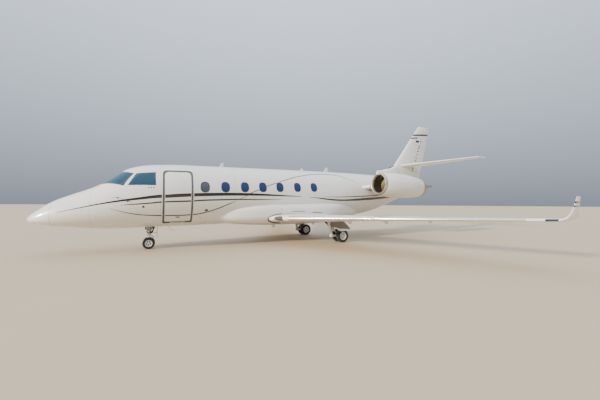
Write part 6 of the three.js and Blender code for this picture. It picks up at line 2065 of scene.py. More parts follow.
def seat_forms(width, back_height):
    """One seat's cushions, then its shell and leg parts, round its origin at the floor, facing forward."""
    half = width / 2
    top = 0.430
    seat_pad = stuffed((-0.229, -half + 0.001, top - 0.100), (0.176, half - 0.001, top - 0.001),
                       (-half * 0.42, half * 0.42), 1)
    # The back's padded face looks forward, so its channels are pressed in from the front
    back_pad = stuffed((0.181, -half + 0.002, top - 0.055), (0.281, half - 0.002, top + back_height - 0.002),
                       (-half * 0.42, half * 0.42), 1, face=-1)
    head_pad = stuffed((0.192, -half * 0.6 + 0.002, top + back_height), (0.272, half * 0.6 - 0.002,
                       top + back_height + 0.168), (), 1, voxel=0.012, crown=0.012)
    arm_pads = [
        stuffed((-0.158, side * (half + 0.030) - 0.028, top + 0.148), (0.238, side * (half + 0.030) + 0.028,
                top + 0.189), (), 1, voxel=0.010, crown=0.006) for side in (-1, 1)]
    shell = [
        box_rounded((-0.225, -half + 0.006, top - 0.129), (0.250, half - 0.006, top - 0.094), 0.012),
        box_rounded((0.277, -half + 0.006, top - 0.058),
                    (0.2995, half - 0.006, top + back_height - 0.004), 0.010),
        box_rounded((0.268, -half * 0.6 + 0.006, top + back_height - 0.002), (0.2845, half * 0.6 - 0.006,
                    top + back_height + 0.160), 0.007)]
    for side in (-1, 1):
        shell.append(box_rounded((-0.158, side * (half + 0.030) - 0.026, top - 0.088),
                                 (0.238, side * (half + 0.030) + 0.026, top + 0.152), 0.014))
    plinth = box_rounded((-0.178, -half * 0.5 + 0.002, 0.026),
                         (0.198, half * 0.5 - 0.002, top - 0.131), 0.016)
    return [seat_pad, back_pad, head_pad] + arm_pads, shell + [plinth]


def box_rounded(low, high, radius):
    """A box with rounded long edges, such as a moulded shell."""
    low, high = Vector(low), Vector(high)
    size = high - low
    thin = min(range(3), key=lambda k: size[k])
    wide = [k for k in range(3) if k != thin]
    radius = min(radius, size[thin] * 0.45)
    rings = []
    for level in range(8):
        share = level / 7
        lift = low[thin] + size[thin] * share
        drop = min(lift - low[thin], high[thin] - lift)
        inset = radius - math.sqrt(max(0.0, radius ** 2 - (radius - min(drop, radius)) ** 2))
        outline = rounded([
            (low[wide[0]] + inset, low[wide[1]] + inset), (high[wide[0]] - inset, low[wide[1]] + inset),
            (high[wide[0]] - inset, high[wide[1]] - inset), (low[wide[0]] + inset, high[wide[1]] - inset)],
            [max(radius, 0.012)] * 4)
        ring = []
        for a, b in outline:
            point = Vector((0, 0, 0))
            point[wide[0]], point[wide[1]], point[thin] = a, b, lift
            ring.append(point)
        rings.append(ring)
    return new_piece("moulding", *loft(rings), seat_shell)


def placed(piece, place):
    """A copy of a piece's mesh, turned and moved to its own seat."""
    twin = copy_of(piece, piece.name)
    twin.data.transform(place)
    return twin


def dress_seats(name, node, width, back_height, places, rails):
    pads, hard = seat_forms(width, back_height)
    labels = ("seat_cushions", "back_cushions", "headrests", "arm_pads", "arm_pads")
    groups = {}
    for label, pad in zip(labels, pads):
        for place in places:
            groups.setdefault(label, []).append(placed(pad, place))
    shells = [placed(part, place) for part in hard for place in places]
    for part in pads + hard:
        bpy.data.objects.remove(part)
    for label, group in groups.items():
        whole = gathered(name + "_" + label, group)
        shade(whole, 80)
        fixed_pair(whole, "airframe", "seat_leather", node if label == "seat_cushions" else None)
    mouldings = gathered(name + "_shells", shells)
    fixed_pair(shade(mouldings), "airframe", "seat_leather")
    tracks = []
    start, end, ys = rails
    for y in ys:
        track = coloured(outline_prism([
            (at(start), floor_height(start) + 0.0015), (at(end), floor_height(end) + 0.0015),
            (at(end), floor_height(end) + 0.0235), (at(start), floor_height(start) + 0.0235)],
            y - 0.029, y + 0.029,
            name="track"), track_alloy)
        slot = outline_prism([
            (at(start) - 0.01, floor_height(start) + 0.014), (at(end) + 0.01, floor_height(end) + 0.014),
            (at(end) + 0.01, floor_height(end) + 0.03), (at(start) - 0.01, floor_height(start) + 0.03)],
            y - 0.008,
            y + 0.008)
        combined(track, [slot])
        tracks.append(track)
    rails_piece = gathered(name + "_tracks", tracks)
    fixed_pair(shade(rails_piece), "airframe", "gear_steel")


def seat_place(station, y, facing):
    turn = Matrix.Rotation(0 if facing > 0 else math.pi, 4, "Z")
    return Matrix.Translation((at(station), y, floor_height(station))) @ turn


dress_seats("pilot", "pilot_seat", 0.42, 0.56, [seat_place(2.990, 0.45, 1)], (2.73, 3.27, (0.36, 0.54)))
CABIN_SEATS = ((5.45, -1), (6.50, 1), (8.30, -1), (9.35, 1))
dress_seats("cabin", "cabin_seats", 0.48, 0.52, [seat_place(s, 0.56, facing) for s, facing in CABIN_SEATS],
            (5.2, 9.7, (0.45, 0.65)))


# Livery: cheat lines in near-black and bronze enamel along both sides, each a coat a hair above the white.
# They break off short of the entrance door's seal and go on across the door.
stripe_black = finish(
    "near_black_stripe_enamel", "#251b17", 0.16, tint=0.04, tint_m=0.6, Coat_Weight=0.8, Coat_Roughness=0.04)
stripe_bronze = finish(
    "bronze_stripe_enamel", "#3b3029", 0.18, tint=0.04, tint_m=0.6, Coat_Weight=0.8, Coat_Roughness=0.04)
COAT_PROUD = 0.0008
ARC_SHARE = 0.7


def skin_point(station, z, proud=0.0):
    """The point of the right-hand skin at a station and height, moved outwards by proud."""
    _, half, top, middle, bottom = skin_row(station)
    rise = top - middle if z > middle else middle - bottom
    y = half * math.sqrt(max(1e-4, 1 - ((z - middle) / rise) ** 2))
    return Vector((at(station), y, z)) + outward(station, y, z) * proud


def stripe(name, rows, material, proud=COAT_PROUD):
    """A painted band along the right side: each row has its station, its height and its width in mm."""
    line = flowing([(s, z, width / 1000) for s, z, width in rows], 14)
    rings = []
    for k, point in enumerate(line):
        ahead = line[min(k + 1, len(line) - 1)] - line[max(k - 1, 0)]
        square = Vector((-ahead.y, ahead.x)).normalized()
        edge = []
        for n in range(5):
            offset = (n / 4 - 0.5) * point.z
            edge.append((point.x + square.x * offset, point.y + square.y * offset))
        rings.append([skin_point(s, z, proud) for s, z in edge]
                     + [skin_point(s, z, -0.0012) for s, z in reversed(edge)])
    return new_piece(name, *loft(rings), material)


UPPER_LINE = [
    (0.839, 1.363, 10), (1.358, 1.487, 26), (1.886, 1.612, 38), (2.290, 1.694, 52), (2.685, 1.762, 68),
    (3.117, 1.824, 88), (3.564, 1.886, 108), (3.950, 1.909, 118), (4.390, 1.944, 122), (5.125, 1.983, 122),
    (5.712, 2.006, 118), (6.335, 2.020, 112), (6.857, 2.022, 100), (7.335, 2.020, 88), (7.871, 2.008, 68),
    (8.431, 1.994, 48), (9.100, 1.978, 18)]
LOWER_LINE = [
    (2.560, 1.596, 9), (2.793, 1.616, 32), (3.341, 1.661, 48), (3.750, 1.706, 55), (4.594, 1.743, 58),
    (5.130, 1.780, 58), (5.718, 1.804, 58), (6.339, 1.824, 56), (6.864, 1.829, 48), (7.519, 1.833, 34),
    (8.212, 1.836, 10)]
AFT_LINE = [
    (9.491, 1.948, 12), (9.880, 1.932, 40), (10.200, 1.900, 62), (10.883, 1.852, 70), (11.426, 1.850, 76),
    (12.726, 1.921, 122), (14.091, 2.018, 110), (15.300, 2.150, 69),
    (16.300, 2.330, 10)]
AFT_THIN_LINE = [
    (10.200, 1.998, 8), (10.867, 1.990, 28), (11.482, 2.006, 39), (12.643, 2.061, 53), (13.478, 2.121, 51),
    (14.900, 2.270, 39),
    (16.100, 2.450, 9)]
ARC_LOW = [
    (2.256, 1.491, 10), (2.453, 1.421, 17), (2.673, 1.354, 23), (2.995, 1.287, 29), (3.295, 1.255, 33),
    (3.650, 1.240, 37), (4.400, 1.238, 41), (4.650, 1.252, 42), (4.931, 1.278, 42), (5.113, 1.319, 42),
    (5.332, 1.378, 41), (5.736, 1.529, 39), (6.034, 1.661, 34), (6.265, 1.752, 14)]
ARC_HIGH = [
    (6.371, 1.842, 9), (6.595, 1.925, 20), (6.891, 2.097, 30), (7.184, 2.218, 32), (7.528, 2.372, 32),
    (7.986, 2.530, 32), (8.351, 2.652, 32), (8.783, 2.785, 32), (9.189, 2.887, 32), (9.990, 3.023, 34),
    (11.133, 3.042, 32), (11.650, 2.929, 26), (12.270, 2.671, 9)]
for name, rows, material in (
        ("upper_cheat_line", UPPER_LINE, stripe_black), ("lower_cheat_line", LOWER_LINE, stripe_bronze),
        ("aft_cheat_line", AFT_LINE, stripe_black), ("aft_thin_line", AFT_THIN_LINE, stripe_bronze),
        ("low_arc_line", ARC_LOW, stripe_bronze), ("high_arc_line", ARC_HIGH, stripe_bronze)):
    band = stripe(name, rows, material, COAT_PROUD * (ARC_SHARE if "arc" in name else 1))
    if "arc" in name:
        combined(band, [outline_prism(
            oval(at(station), window_height(station), WINDOW_HALF[0] + 0.02, WINDOW_HALF[1] + 0.02, 32), 0.85,
            1.4)
            for station in WINDOW_STATIONS])
    if name.startswith("aft"):
        combined(band, [rod((at(12.4), 1.85, 2.62), (at(15.9), 1.85, 2.50), 0.60, gloss_white)])
    shade(band)
    twin = mirror_of(band, name + "_left")
    band.name = name + "_right"
    fixed(band, "airframe", "airframe_paint")
    if name in ("upper_cheat_line", "lower_cheat_line", "low_arc_line"):
        on_door = copy_of(twin, name + "_on_door")
        combined(on_door, [door_cutter(0.046)], "INTERSECT")
        fixed(shade(on_door), "airstair_door", "airframe_paint")
        combined(twin, [door_cutter(-0.052)])
        shade(twin)
    fixed(twin, "airframe", "airframe_paint")


# Livery of the fin and winglets: dark bands square across them, and on the fin's left side a plain dark-blue
# patch just below the thin band.
patch_blue = finish(
    "dark_blue_patch_enamel", "#1c2350", 0.2, tint=0.04, tint_m=0.2, Coat_Weight=0.6, Coat_Roughness=0.05)


FIN_COAT_PROUD = 0.0009
COAT_DEPTH = 0.002
FIN_REACH = 0.4


def fin_coat(name, outline, material):
    """A coat on both faces of the fin inside an outline in side view, split where the rudder begins."""
    for body, operation, grow in (("airframe", "DIFFERENCE", MOVING_GAP / 2),
                                  ("rudder", "INTERSECT", -MOVING_GAP / 2)):
        coat = fin_body(name + "_on_" + body, FIN_COAT_PROUD)
        coat.data.materials[0] = material
        combined(coat, [fin_body("cutter", -COAT_DEPTH)])
        combined(coat, [outline_prism(outline, -FIN_REACH, FIN_REACH)], "INTERSECT")
        combined(coat, [rudder_cutter(grow)], operation)
        if len(coat.data.polygons):
            fixed(shade(coat), body, "airframe_paint")
        else:
            bpy.data.objects.remove(coat)


fin_coat("fin_band", [(at(17.0), 5.775), (at(19.2), 6.04), (at(19.2), 6.140), (at(17.0), 5.880)],
         stripe_black)
fin_coat("fin_thin_band", [(at(17.0), 5.600), (at(17.69), 5.694), (at(17.69), 5.768), (at(17.0), 5.690)],
         stripe_black)
patch = fin_body("fin_patch", FIN_COAT_PROUD)
patch.data.materials[0] = patch_blue
combined(patch, [fin_body("cutter", -COAT_DEPTH)])
combined(patch, [outline_prism(
    [(at(17.500), 5.425), (at(17.815), 5.458), (at(17.815), 5.590), (at(17.500), 5.557)], -FIN_REACH, 0.0)],
    "INTERSECT")
fixed(shade(patch), "airframe", "airframe_paint")
for name, low, high in (("winglet_band_high", 1.700, 1.748), ("winglet_band_low", 1.612, 1.650)):
    stops = [low + (high - low) * k / 4 for k in range(5)]
    band = new_piece(name, *loft([winglet_ring(z, 0.0008) for z in stops]), stripe_black)
    fixed_pair(band, "airframe", "airframe_paint")


# Inlet lip joint: a bead of dark sealant in the groove between each polished lip and its cowl
lip_joint_rows = [(depth, smooth_row(NACELLE_OUTSIDE, depth)[1]) for depth in (LIP_DEPTH - 0.006,
                                                                               LIP_DEPTH + 0.014)]
lip_joint = turned(
    "inlet_lip_joint", [(d, r + 0.0008) for d, r in lip_joint_rows] + [(d, r - 0.003) for d,
                                                                       r in reversed(lip_joint_rows)],
    ENGINE, ENGINE_AXIS, seal_rubber, 112, hollow=True)
fixed_pair(lip_joint, "airframe", "airframe_paint")


# Skin joints: a thin fillet of grey sealant in each joint, and a row of flush fasteners on both sides of it.
joint_sealant = finish("grey_joint_sealant", "#8d8a84", 0.5, grain_mm=4, grain=0.1, tint=0.06, tint_m=0.2)
fastener_metal = finish(
    "painted_over_fastener", "#c9c6bf", 0.3, metallic=0.2, grain_mm=3, grain=0.1, tint=0.08, tint_m=0.02)
# One seed copied onto each point of a piece, turned outwards by the point's own direction
stud_tree, stud_in = new_tree("studs_on_points",
                              [("Stud", "Object"), ("Size", "Float"), ("Finish", "Material")])
stud_seed = add(stud_tree, "GeometryNodeObjectInfo", links=[("Object", stud_in["Stud"])])
stud_way = add(
    stud_tree, "GeometryNodeInputNamedAttribute", [("Name", "outwards")], data_type="FLOAT_VECTOR")
stud_turn = add(
    stud_tree, "FunctionNodeAlignRotationToVector", links=[("Vector", stud_way.outputs[0])], axis="X")
stud_copies = add(stud_tree, "GeometryNodeInstanceOnPoints", links=[
    ("Points", stud_in["Piece"]), ("Instance", stud_seed.outputs["Geometry"]),
    ("Rotation", stud_turn.outputs[0]), ("Scale", stud_in["Size"])])
end_tree(stud_tree, stud_copies.outputs[0], stud_in["Finish"])


def studs(name, places, seed, material, size=1.0):
    """Copies of a seed drawn along X from its foot, one at each place and direction."""
    mesh = bpy.data.meshes.new(name)
    mesh.from_pydata([tuple(point) for point, _ in places], [], [])
    way = mesh.attributes.new("outwards", "FLOAT_VECTOR", "POINT")
    way.data.foreach_set("vector", [c for _, direction in places for c in direction])
    whole = bpy.data.objects.new(name, mesh)
    bpy.context.scene.collection.objects.link(whole)
    evaluated(whole, stud_tree, Stud=seed, Size=size, Finish=material)
    shade(whole)
    return whole


rivet_seed = rod((-0.002, 0, 0), (0.0006, 0, 0), 0.0052, fastener_metal, 0.0045, 10, "rivet_seed")
screw_seed = rod((-0.002, 0, 0), (0.0009, 0, 0), 0.0075, fastener_metal, 0.0066, 12,
                 "screw_seed", edge=0.0005)


def skin_place(station, angle):
    """A place on the right-hand skin by its angle from the crown, with its outward direction."""
    _, half, top, middle, bottom = skin_row(station)
    z = middle + math.cos(angle) * (top - middle if math.cos(angle) > 0 else middle - bottom)
    y = half * math.sin(angle)
    return Vector((at(station), y, z)), outward(station, max(y, 0.001), z)


def free_of_openings(point):
    """False where a fastener would land on a door, pane, window or the wheel bay."""
    station, z = point.x + LENGTH / 2, point.z
    if abs(point.y) < 0.20 and z < 1.3 and NOSE_AXLE - 0.2 < station < NOSE_AXLE + 0.32:
        return False
    if 5.5 < station < 12.8 and z < 1.95:
        return False
    if 1.7 < station < 3.62 and 2.2 < z < 2.8:
        return False
    return not (DOOR[0] - 0.1 < station < DOOR[1] + 0.1 and DOOR[2] - 0.1 < z < DOOR[3] + 0.1)


NOSE_RIVET_STEP = 0.09
RIVET_STEP = 0.075
JOINTS = (NOSE_SEAM, COCKPIT_SEAM, DOOR_FRAME_SEAM, MID_CABIN_SEAM, AFT_BULKHEAD, CONE_SEAM)
joints, rows = [], []
for station in JOINTS:
    width = 0.004 if station == NOSE_SEAM else 0.0025
    joints.append(new_piece("joint", *tube(station - width, station + width, -0.0003, 0.004), joint_sealant))
    count = round(skin_row(station)[1] * math.pi / (NOSE_RIVET_STEP if station == NOSE_SEAM else RIVET_STEP))
    for side in (-0.028, 0.028):
        for k in range(count):
            point, way = skin_place(station + side, math.pi * (k + 0.5) / count)
            if free_of_openings(point):
                rows.append((point, way))
fixed(gathered("skin_joint_sealant", joints), "airframe", "airframe_paint")
fixed_pair(studs("skin_joint_rivets", rows, rivet_seed, fastener_metal), "airframe", "airframe_paint")

# Belly fairing's screws: one row along its upper edge where it laps the fuselage
FAIRING_SCREWS = 150
FAIRING_SPAN = (5.75, 12.5)
SCREW_DROP = 0.030
fairing_rows = []
for k in range(FAIRING_SCREWS):
    station = FAIRING_SPAN[0] + (FAIRING_SPAN[1] - FAIRING_SPAN[0]) * k / (FAIRING_SCREWS - 1)
    ring = [Vector(p) for p in fairing_ring(station)]
    for first, second in zip(ring, ring[1:]):
        if first.y > 0 and second.y > 0:
            ends = []
            for point in (first, second):
                _, half, top, middle, bottom = skin_row(station)
                rise = top - middle if point.z > middle else middle - bottom
                ends.append((point.y / half) ** 2 + ((point.z - middle) / rise) ** 2 - 1)
            if ends[0] * ends[1] < 0 and max(first.z, second.z) > 1.2:
                crossing = first.lerp(second, ends[0] / (ends[0] - ends[1]))
                below = crossing - Vector((0, 0, SCREW_DROP))
                near = min(ring, key=lambda p: (p - below).length)
                at_ring = ring.index(near)
                edge = ring[(at_ring + 1) % len(ring)] - ring[at_ring - 1]
                way = Vector((0, -edge.z, edge.y)).normalized()
                fairing_rows.append((near, way if way.y > 0 else -way))
                break
fixed_pair(studs("fairing_screws", fairing_rows, screw_seed, fastener_metal), "airframe", "airframe_paint")


# Nose and belly access doors: flush panels drawn by a dark joint line with a screw at every 90 mm.
panel_line = finish("dark_panel_joint", "#6d6a66", 0.5, grain_mm=3, grain=0.1, tint=0.05, tint_m=0.1)


PANEL_SCREW_STEP = 0.090


def access_panel(name, start, end, low, high):
    """The joint line and screws of a flush panel on the right-hand skin."""
    outline = rounded([(start, low), (end, low), (end, high), (start, high)], [0.04] * 4, 5)
    rings = []
    centre_s, centre_z = (start + end) / 2, (low + high) / 2
    places = []
    for k, (s, z) in enumerate(outline + outline[:1]):
        inward = Vector((centre_s - s, centre_z - z)).normalized() * 0.0035
        rings.append([skin_point(s, z, 0.0004), skin_point(s + inward.x, z + inward.y, 0.0004),
                      skin_point(s + inward.x, z + inward.y, -0.001), skin_point(s, z, -0.001)])
    dense = []
    for (s, z), (s2, z2) in zip(outline, outline[1:] + outline[:1]):
        count = max(1, round(math.hypot(s2 - s, z2 - z) / PANEL_SCREW_STEP))
        for k in range(count):
            t = k / count
            point = (s + (s2 - s) * t, z + (z2 - z) * t)
            if not dense or math.hypot(point[0] - dense[-1][0],
                                       point[1] - dense[-1][1]) > PANEL_SCREW_STEP * 0.6:
                dense.append(point)
    for s, z in dense:
        inward = Vector((centre_s - s, centre_z - z)).normalized() * 0.018
        point = skin_point(s + inward.x, z + inward.y)
        places.append((point, outward(s + inward.x, point.y, point.z)))
    loops = []
    for first, second in zip(rings, rings[1:]):
        steps = max(1, round((second[0] - first[0]).length / 0.04))
        for k in range(steps):
            loops.append([a.lerp(b, k / steps) for a, b in zip(first, second)])
    points = [p for ring in loops for p in ring]
    faces = []
    for k in range(len(loops)):
        here, there = 4 * k, 4 * ((k + 1) % len(loops))
        for n in range(4):
            m = (n + 1) % 4
            faces.append((here + n, there + n, there + m, here + m))
    line = new_piece(name + "_joint", points, faces, panel_line)
    fixed_pair(line, "airframe", "airframe_paint")
    fixed_pair(studs(name + "_screws", places, screw_seed, fastener_metal, 0.8), "airframe", "airframe_paint")


access_panel("nose_bay_panel", 0.86, 1.52, 1.22, 1.47)
access_panel("avionics_panel", 1.86, 2.30, 1.20, 1.46)
access_panel("oxygen_panel", 2.75, 3.00, 1.33, 1.50)
access_panel("rear_service_panel", 12.95, 13.65, 1.52, 1.80)
access_panel("tail_access_panel", 14.6, 15.3, 1.86, 2.08)
for seed in (rivet_seed, screw_seed):
    bpy.data.objects.remove(seed)


# Wing root: the root fairing's dark sealed edge round the leading edge, with the landing light's lens in it.
# Outboard, a dark moulded lens covers each wing tip's leading edge.
lens_smoke = finish(
    "smoked_lamp_lens", "#4d4741", 0.06, tint=0.05, tint_m=0.1, Coat_Weight=1.0, Coat_Roughness=0.02)
tip_lens = finish(
    "dark_tip_light_lens", "#14171b", 0.05, tint=0.05, tint_m=0.1, Coat_Weight=1.0, Coat_Roughness=0.02)


def wing_grown(name, start, end, grow, material):
    rings = []
    for y in stations_between(start, end, 0.05):
        _, station, z, chord, thickness, rise = straight_row(WING, y)
        rings.append(foil_ring(
            (at(station) - grow, y, z), chord + 2 * grow, thickness + 2 * grow / chord, rise))
    return new_piece(name, *loft(rings), material)


def edge_film(name, start, end, grow, depth, outline, material):
    """A film on the wing's leading edge inside an outline seen from the front."""
    film = wing_grown(name, start, end, grow, material)
    combined(film, [wing_grown("cutter", start - 0.01, end + 0.01, grow - depth, material)])
    front = outline_prism(outline, at(7.3), at(12.2), across="x")
    combined(film, [front], "INTERSECT")
    nose_of_wing = wing_point(start, 0)[0], wing_point(end, 0)[0]
    strip = outline_prism([
        (nose_of_wing[0].x - 0.10, start - 0.02), (nose_of_wing[0].x + 0.26, start - 0.02),
        (nose_of_wing[1].x + 0.26, end + 0.02), (nose_of_wing[1].x - 0.10, end + 0.02)], 0.6, 1.8, across="z")
    combined(film, [strip], "INTERSECT")
    shade(film)
    return film


def fairing_grown(grow):
    return new_piece("cutter", *loft([fairing_ring(s, grow) for s in stations_between(5.62, 12.68, 0.07)]),
                     seal_rubber)


for name, bead, front, rear in (("wing_root_nose_seal", 0.028, 7.30, 8.12),
                                ("wing_root_side_seal", 0.008, 8.12, 10.60)):
    root_seal = wing_grown(name, 0.95, 1.40, bead, seal_rubber)
    combined(root_seal, [fairing_grown(bead)], "INTERSECT")
    combined(root_seal, [box_body((at(front), 0.9, 0.6), (at(rear), 1.6, 1.6))], "INTERSECT")
    combined(root_seal, [wing_grown("cutter", 0.90, 1.45, -0.004, seal_rubber)])
    combined(root_seal, [fairing_grown(-0.004)])
    root_seal.name = name
    fixed_pair(shade(root_seal), "airframe", "airframe_paint")
lamp_z = wing_point(1.6, 0)[0].z - 0.004
lens = edge_film("landing_light_lens", 1.40, 1.80, 0.0022, 0.004,
                 oval(1.595, lamp_z, 0.165, 0.094, 40, 2.3), lens_smoke)
fixed_pair(lens, "airframe", "airframe_paint")
TIP_LENS = (8.43, 8.645)
TIP_CUT = (8.42, 8.655)
tip_cover = wing_grown("tip_light_lens", *TIP_LENS, 0.0010, tip_lens)
combined(tip_cover, [wing_grown("cutter", *TIP_CUT, -0.004, tip_lens)])
tip_noses = [wing_point(y, 0)[0].x for y in TIP_CUT]
combined(tip_cover, [outline_prism([
    (tip_noses[0] - 0.05, TIP_CUT[0]), (tip_noses[0] + 0.062, TIP_CUT[0]), (tip_noses[1] + 0.062, TIP_CUT[1]),
    (tip_noses[1] - 0.05, TIP_CUT[1])], 1.0, 1.6, across="z")], "INTERSECT")
tip_cover.name = "tip_light_lens"
fixed_pair(shade(tip_cover), "airframe", "airframe_paint")


# Air data probes and ports: heated pitot heads and vanes of bare steel, static ports as flush black discs.
probe_steel = finish(
    "heated_probe_steel", "#77736d", 0.3, metallic=0.9, grain_mm=4, grain=0.05, tint=0.15, tint_m=0.05)
port_black = finish("black_static_port", "#141414", 0.4, grain_mm=3, grain=0.1, tint=0.1, tint_m=0.03)


def skin_disc(name, station, z, radius, material, proud=0.0012, sides=24):
    point = skin_point(station, z)
    way = outward(station, point.y, point.z)
    return rod(point - way * 0.003, point + way * proud, radius, material, sides=sides,
               name=name, edge=proud * 0.4)


def pitot(name, station, z, length, mast, radius):
    """A tube held off the skin by a short swept mast, pointing forward."""
    foot = skin_point(station, z)
    way = outward(station, foot.y, foot.z)
    elbow = foot + way * mast + Vector((-0.035, 0, 0))
    parts = [
        pipe([foot - way * 0.004, foot + way * mast * 0.5 + Vector((-0.008, 0, 0)), elbow,
              elbow + Vector((-0.02, 0, 0))], radius * 1.25, probe_steel),
        rod(elbow, elbow - Vector((length, 0, 0)), radius, probe_steel, radius * 0.55, 16),
        rod(foot - way * 0.004, foot + way * 0.004, radius * 3.2, probe_steel, sides=20, edge=0.001)]
    return shade(gathered(name, parts))


fixed_pair(pitot("pitot_head", 2.47, 1.833, 0.13, 0.075, 0.008), "airframe", "gear_steel")
vane_foot = skin_point(2.731, 1.731)
vane_way = outward(2.731, vane_foot.y, vane_foot.z)
vane_parts = [
    rod(vane_foot - vane_way * 0.004, vane_foot + vane_way * 0.006, 0.032, probe_steel, sides=24, edge=0.001),
    rod(vane_foot, vane_foot + vane_way * 0.045, 0.006, probe_steel, sides=14)]
vane_plate = outline_prism(
    [(vane_foot.x - 0.012, vane_foot.z - 0.0015), (vane_foot.x + 0.070, vane_foot.z - 0.0035),
     (vane_foot.x + 0.070, vane_foot.z + 0.0035), (vane_foot.x - 0.012, vane_foot.z + 0.0015)],
    vane_foot.y + 0.008, vane_foot.y + 0.048)
vane_parts.append(coloured(vane_plate, probe_steel))
vane = gathered("angle_of_attack_vane", vane_parts)
fixed_pair(shade(vane), "airframe", "gear_steel")
DRAIN_PLACES = [(5.024, 1.145), (5.221, 0.953), (5.459, 1.334), (5.755, 0.864)]
ports = [skin_disc("port", 3.190, 1.540, 0.036, port_black)]
ports += [skin_disc("port", 3.342 + 0.078 * k, 2.190, 0.022, port_black) for k in range(3)]
ports += [skin_disc("port", station, z, 0.015, port_black) for station, z in DRAIN_PLACES]
ports += [skin_disc("port", 2.560, 1.587, 0.012, port_black),
          skin_disc("port", 2.400, 1.560, 0.010, port_black),
          skin_disc("port", 5.440, 1.334, 0.014, port_black),
          skin_disc("port", 4.983, 1.157, 0.014, port_black)]
fixed_pair(gathered("static_ports", ports), "airframe", "airframe_paint")
probe = gathered("temperature_probe", [
    pipe([skin_point(3.02, 1.46, -0.004), skin_point(3.02, 1.46, 0.03), skin_point(3.03, 1.46, 0.055)], 0.009,
         probe_steel),
    rod(skin_point(3.03, 1.46, 0.055) + Vector((-0.02, 0, 0)),
        skin_point(3.03, 1.46, 0.055) + Vector((0.035, 0, 0)),
        0.011, probe_steel, 0.009, 16, edge=0.002)])
fixed(shade(probe), "airframe", "gear_steel")

# Wing inspection light: a round clear lens with its ring, ahead of the wing on each side
INSPECTION_LIGHT = (5.200, 1.410)
inspection_ring = skin_disc("inspection_light_ring", *INSPECTION_LIGHT, 0.074, polished, 0.0016, 36)
combined(inspection_ring, [skin_disc("cutter", *INSPECTION_LIGHT, 0.060, polished, 0.01, 36)])
fixed_pair(shade(inspection_ring), "airframe", "airframe_paint")
fixed_pair(
    skin_disc("inspection_light_lens", *INSPECTION_LIGHT, 0.0595, lens_smoke, 0.0012, 36),
    "airframe", "cockpit_glass")


# Aerials and beacons: white blades on the crown and belly, a strobe on the crown, lights on the fin's cap.
aerial_white = finish(
    "white_aerial_moulding", "#e4e2dc", 0.3, grain_mm=4, grain=0.05, tint=0.04, tint_m=0.1, Coat_Weight=0.3)
beacon_red = finish(
    "red_beacon_glass", "#3a0d0d", 0.06, tint=0.05, tint_m=0.05, Coat_Weight=1.0, Coat_Roughness=0.02)
BLADE_AERIALS = [(5.949, 0.0, 1, 0.20, 0.18), (9.691, 0.0, 1, 0.22, 0.10), (11.068, 0.0, 1, 0.30, 0.22),
                 (8.144, -0.3, -1, 0.20, 0.13), (10.30, 0.0, -1, 0.18, 0.10)]


def blade_aerial(name, foot, way, chord, height):
    """A swept blade with a foil section, standing on a foot plate."""
    side = Vector((0, 1, 0)) if abs(way.y) < 0.9 else Vector((0, 0, 1))
    rings = []
    for k in range(7):
        share = k / 6
        length = chord * (1 - 0.55 * share)
        sweep = chord * 0.42 * share
        half = 0.014 * (1 - 0.6 * share)
        middle = foot + way * (height * share - 0.01 * (1 - share)) + Vector((sweep, 0, 0))
        ring = []
        for n in range(20):
            angle = 2 * math.pi * n / 20
            along = (1 - math.cos(angle)) / 2
            ring.append(middle + Vector((along * length - chord * 0.5, 0,
                                         0)) + side * (math.sin(angle) * half))
        rings.append(ring)
    return new_piece(name, *loft(rings), aerial_white)


aerials = []
for station, y, way, chord, height in BLADE_AERIALS:
    _, half, top, middle, bottom = skin_row(station)
    if way > 0:
        foot = Vector((at(station), 0, top))
    else:
        ring = [Vector(p) for p in fairing_ring(station)]
        foot = min(ring, key=lambda p: (p - Vector((at(station), y, 0.3))).length)
    aerials.append(blade_aerial("aerial", foot, Vector((0, 0, way)), chord, height))
fixed(gathered("blade_aerials", aerials), "airframe", "airframe_paint")
MAST_FOOT = (3.958, -0.30)
_, half, top, middle, bottom = skin_row(MAST_FOOT[0])
mast_sink = math.sqrt(1 - (MAST_FOOT[1] / half) ** 2)
mast_foot = Vector((at(MAST_FOOT[0]), MAST_FOOT[1], middle - (middle - bottom) * mast_sink + 0.01))
MAST_BENDS = ((4.020, 0.735), (4.077, 0.662), (4.110, 0.655), (4.212, 0.668))
mast = pipe([mast_foot] + [(at(s), MAST_FOOT[1], z) for s, z in MAST_BENDS], 0.011,
            aerial_white, "drain_mast", 14)
fixed(mast, "airframe", "airframe_paint")


def dome(name, foot, way, radius, height, material):
    rows = [(-0.01, 0), (-0.01, radius)] + [
        (height * math.sin(math.pi / 2 * k / 7), radius * math.cos(math.pi / 2 * k / 7)) for k in range(7)]
    return turned(name, rows + [(height, 0)], foot, way, material, 28)


CROWN_BEACON = 12.457
crown = Vector((at(CROWN_BEACON), 0, skin_row(CROWN_BEACON)[2]))
fixed(gathered("crown_beacon_base", [turned("base", [
    (-0.01, 0), (-0.01, 0.075), (0.014, 0.070), (0.020, 0.055), (0.020, 0)], crown, (0, 0, 1),
    aerial_white, 32)]),
    "airframe", "airframe_paint")
fixed(dome("crown_beacon_lens", crown + Vector((0, 0, 0.018)), Vector((0, 0, 1)), 0.048, 0.062, beacon_red),
      "airframe",
      "cockpit_glass")
fin_beacon = turned(
    "fin_beacon_lens", [(0, 0), (0, 0.041), (0.012, 0.040), (0.030, 0.034), (0.040, 0.022),
                        (0.0435, 0.008), (0.0435, 0)],
    (at(18.380), 0, 6.4822), (0, 0, 1), beacon_red, 32)
fixed(fin_beacon, "airframe", "cockpit_glass")
tail_light = turned(
    "tail_light_lens", [(0, 0), (0, 0.0228), (0.050, 0.0215), (0.072, 0.018), (0.082, 0.010), (0.085, 0)],
    (at(18.8152), 0, 6.425), (1, 0, 0), tip_lens, 28)
fixed(tail_light, "airframe", "cockpit_glass")


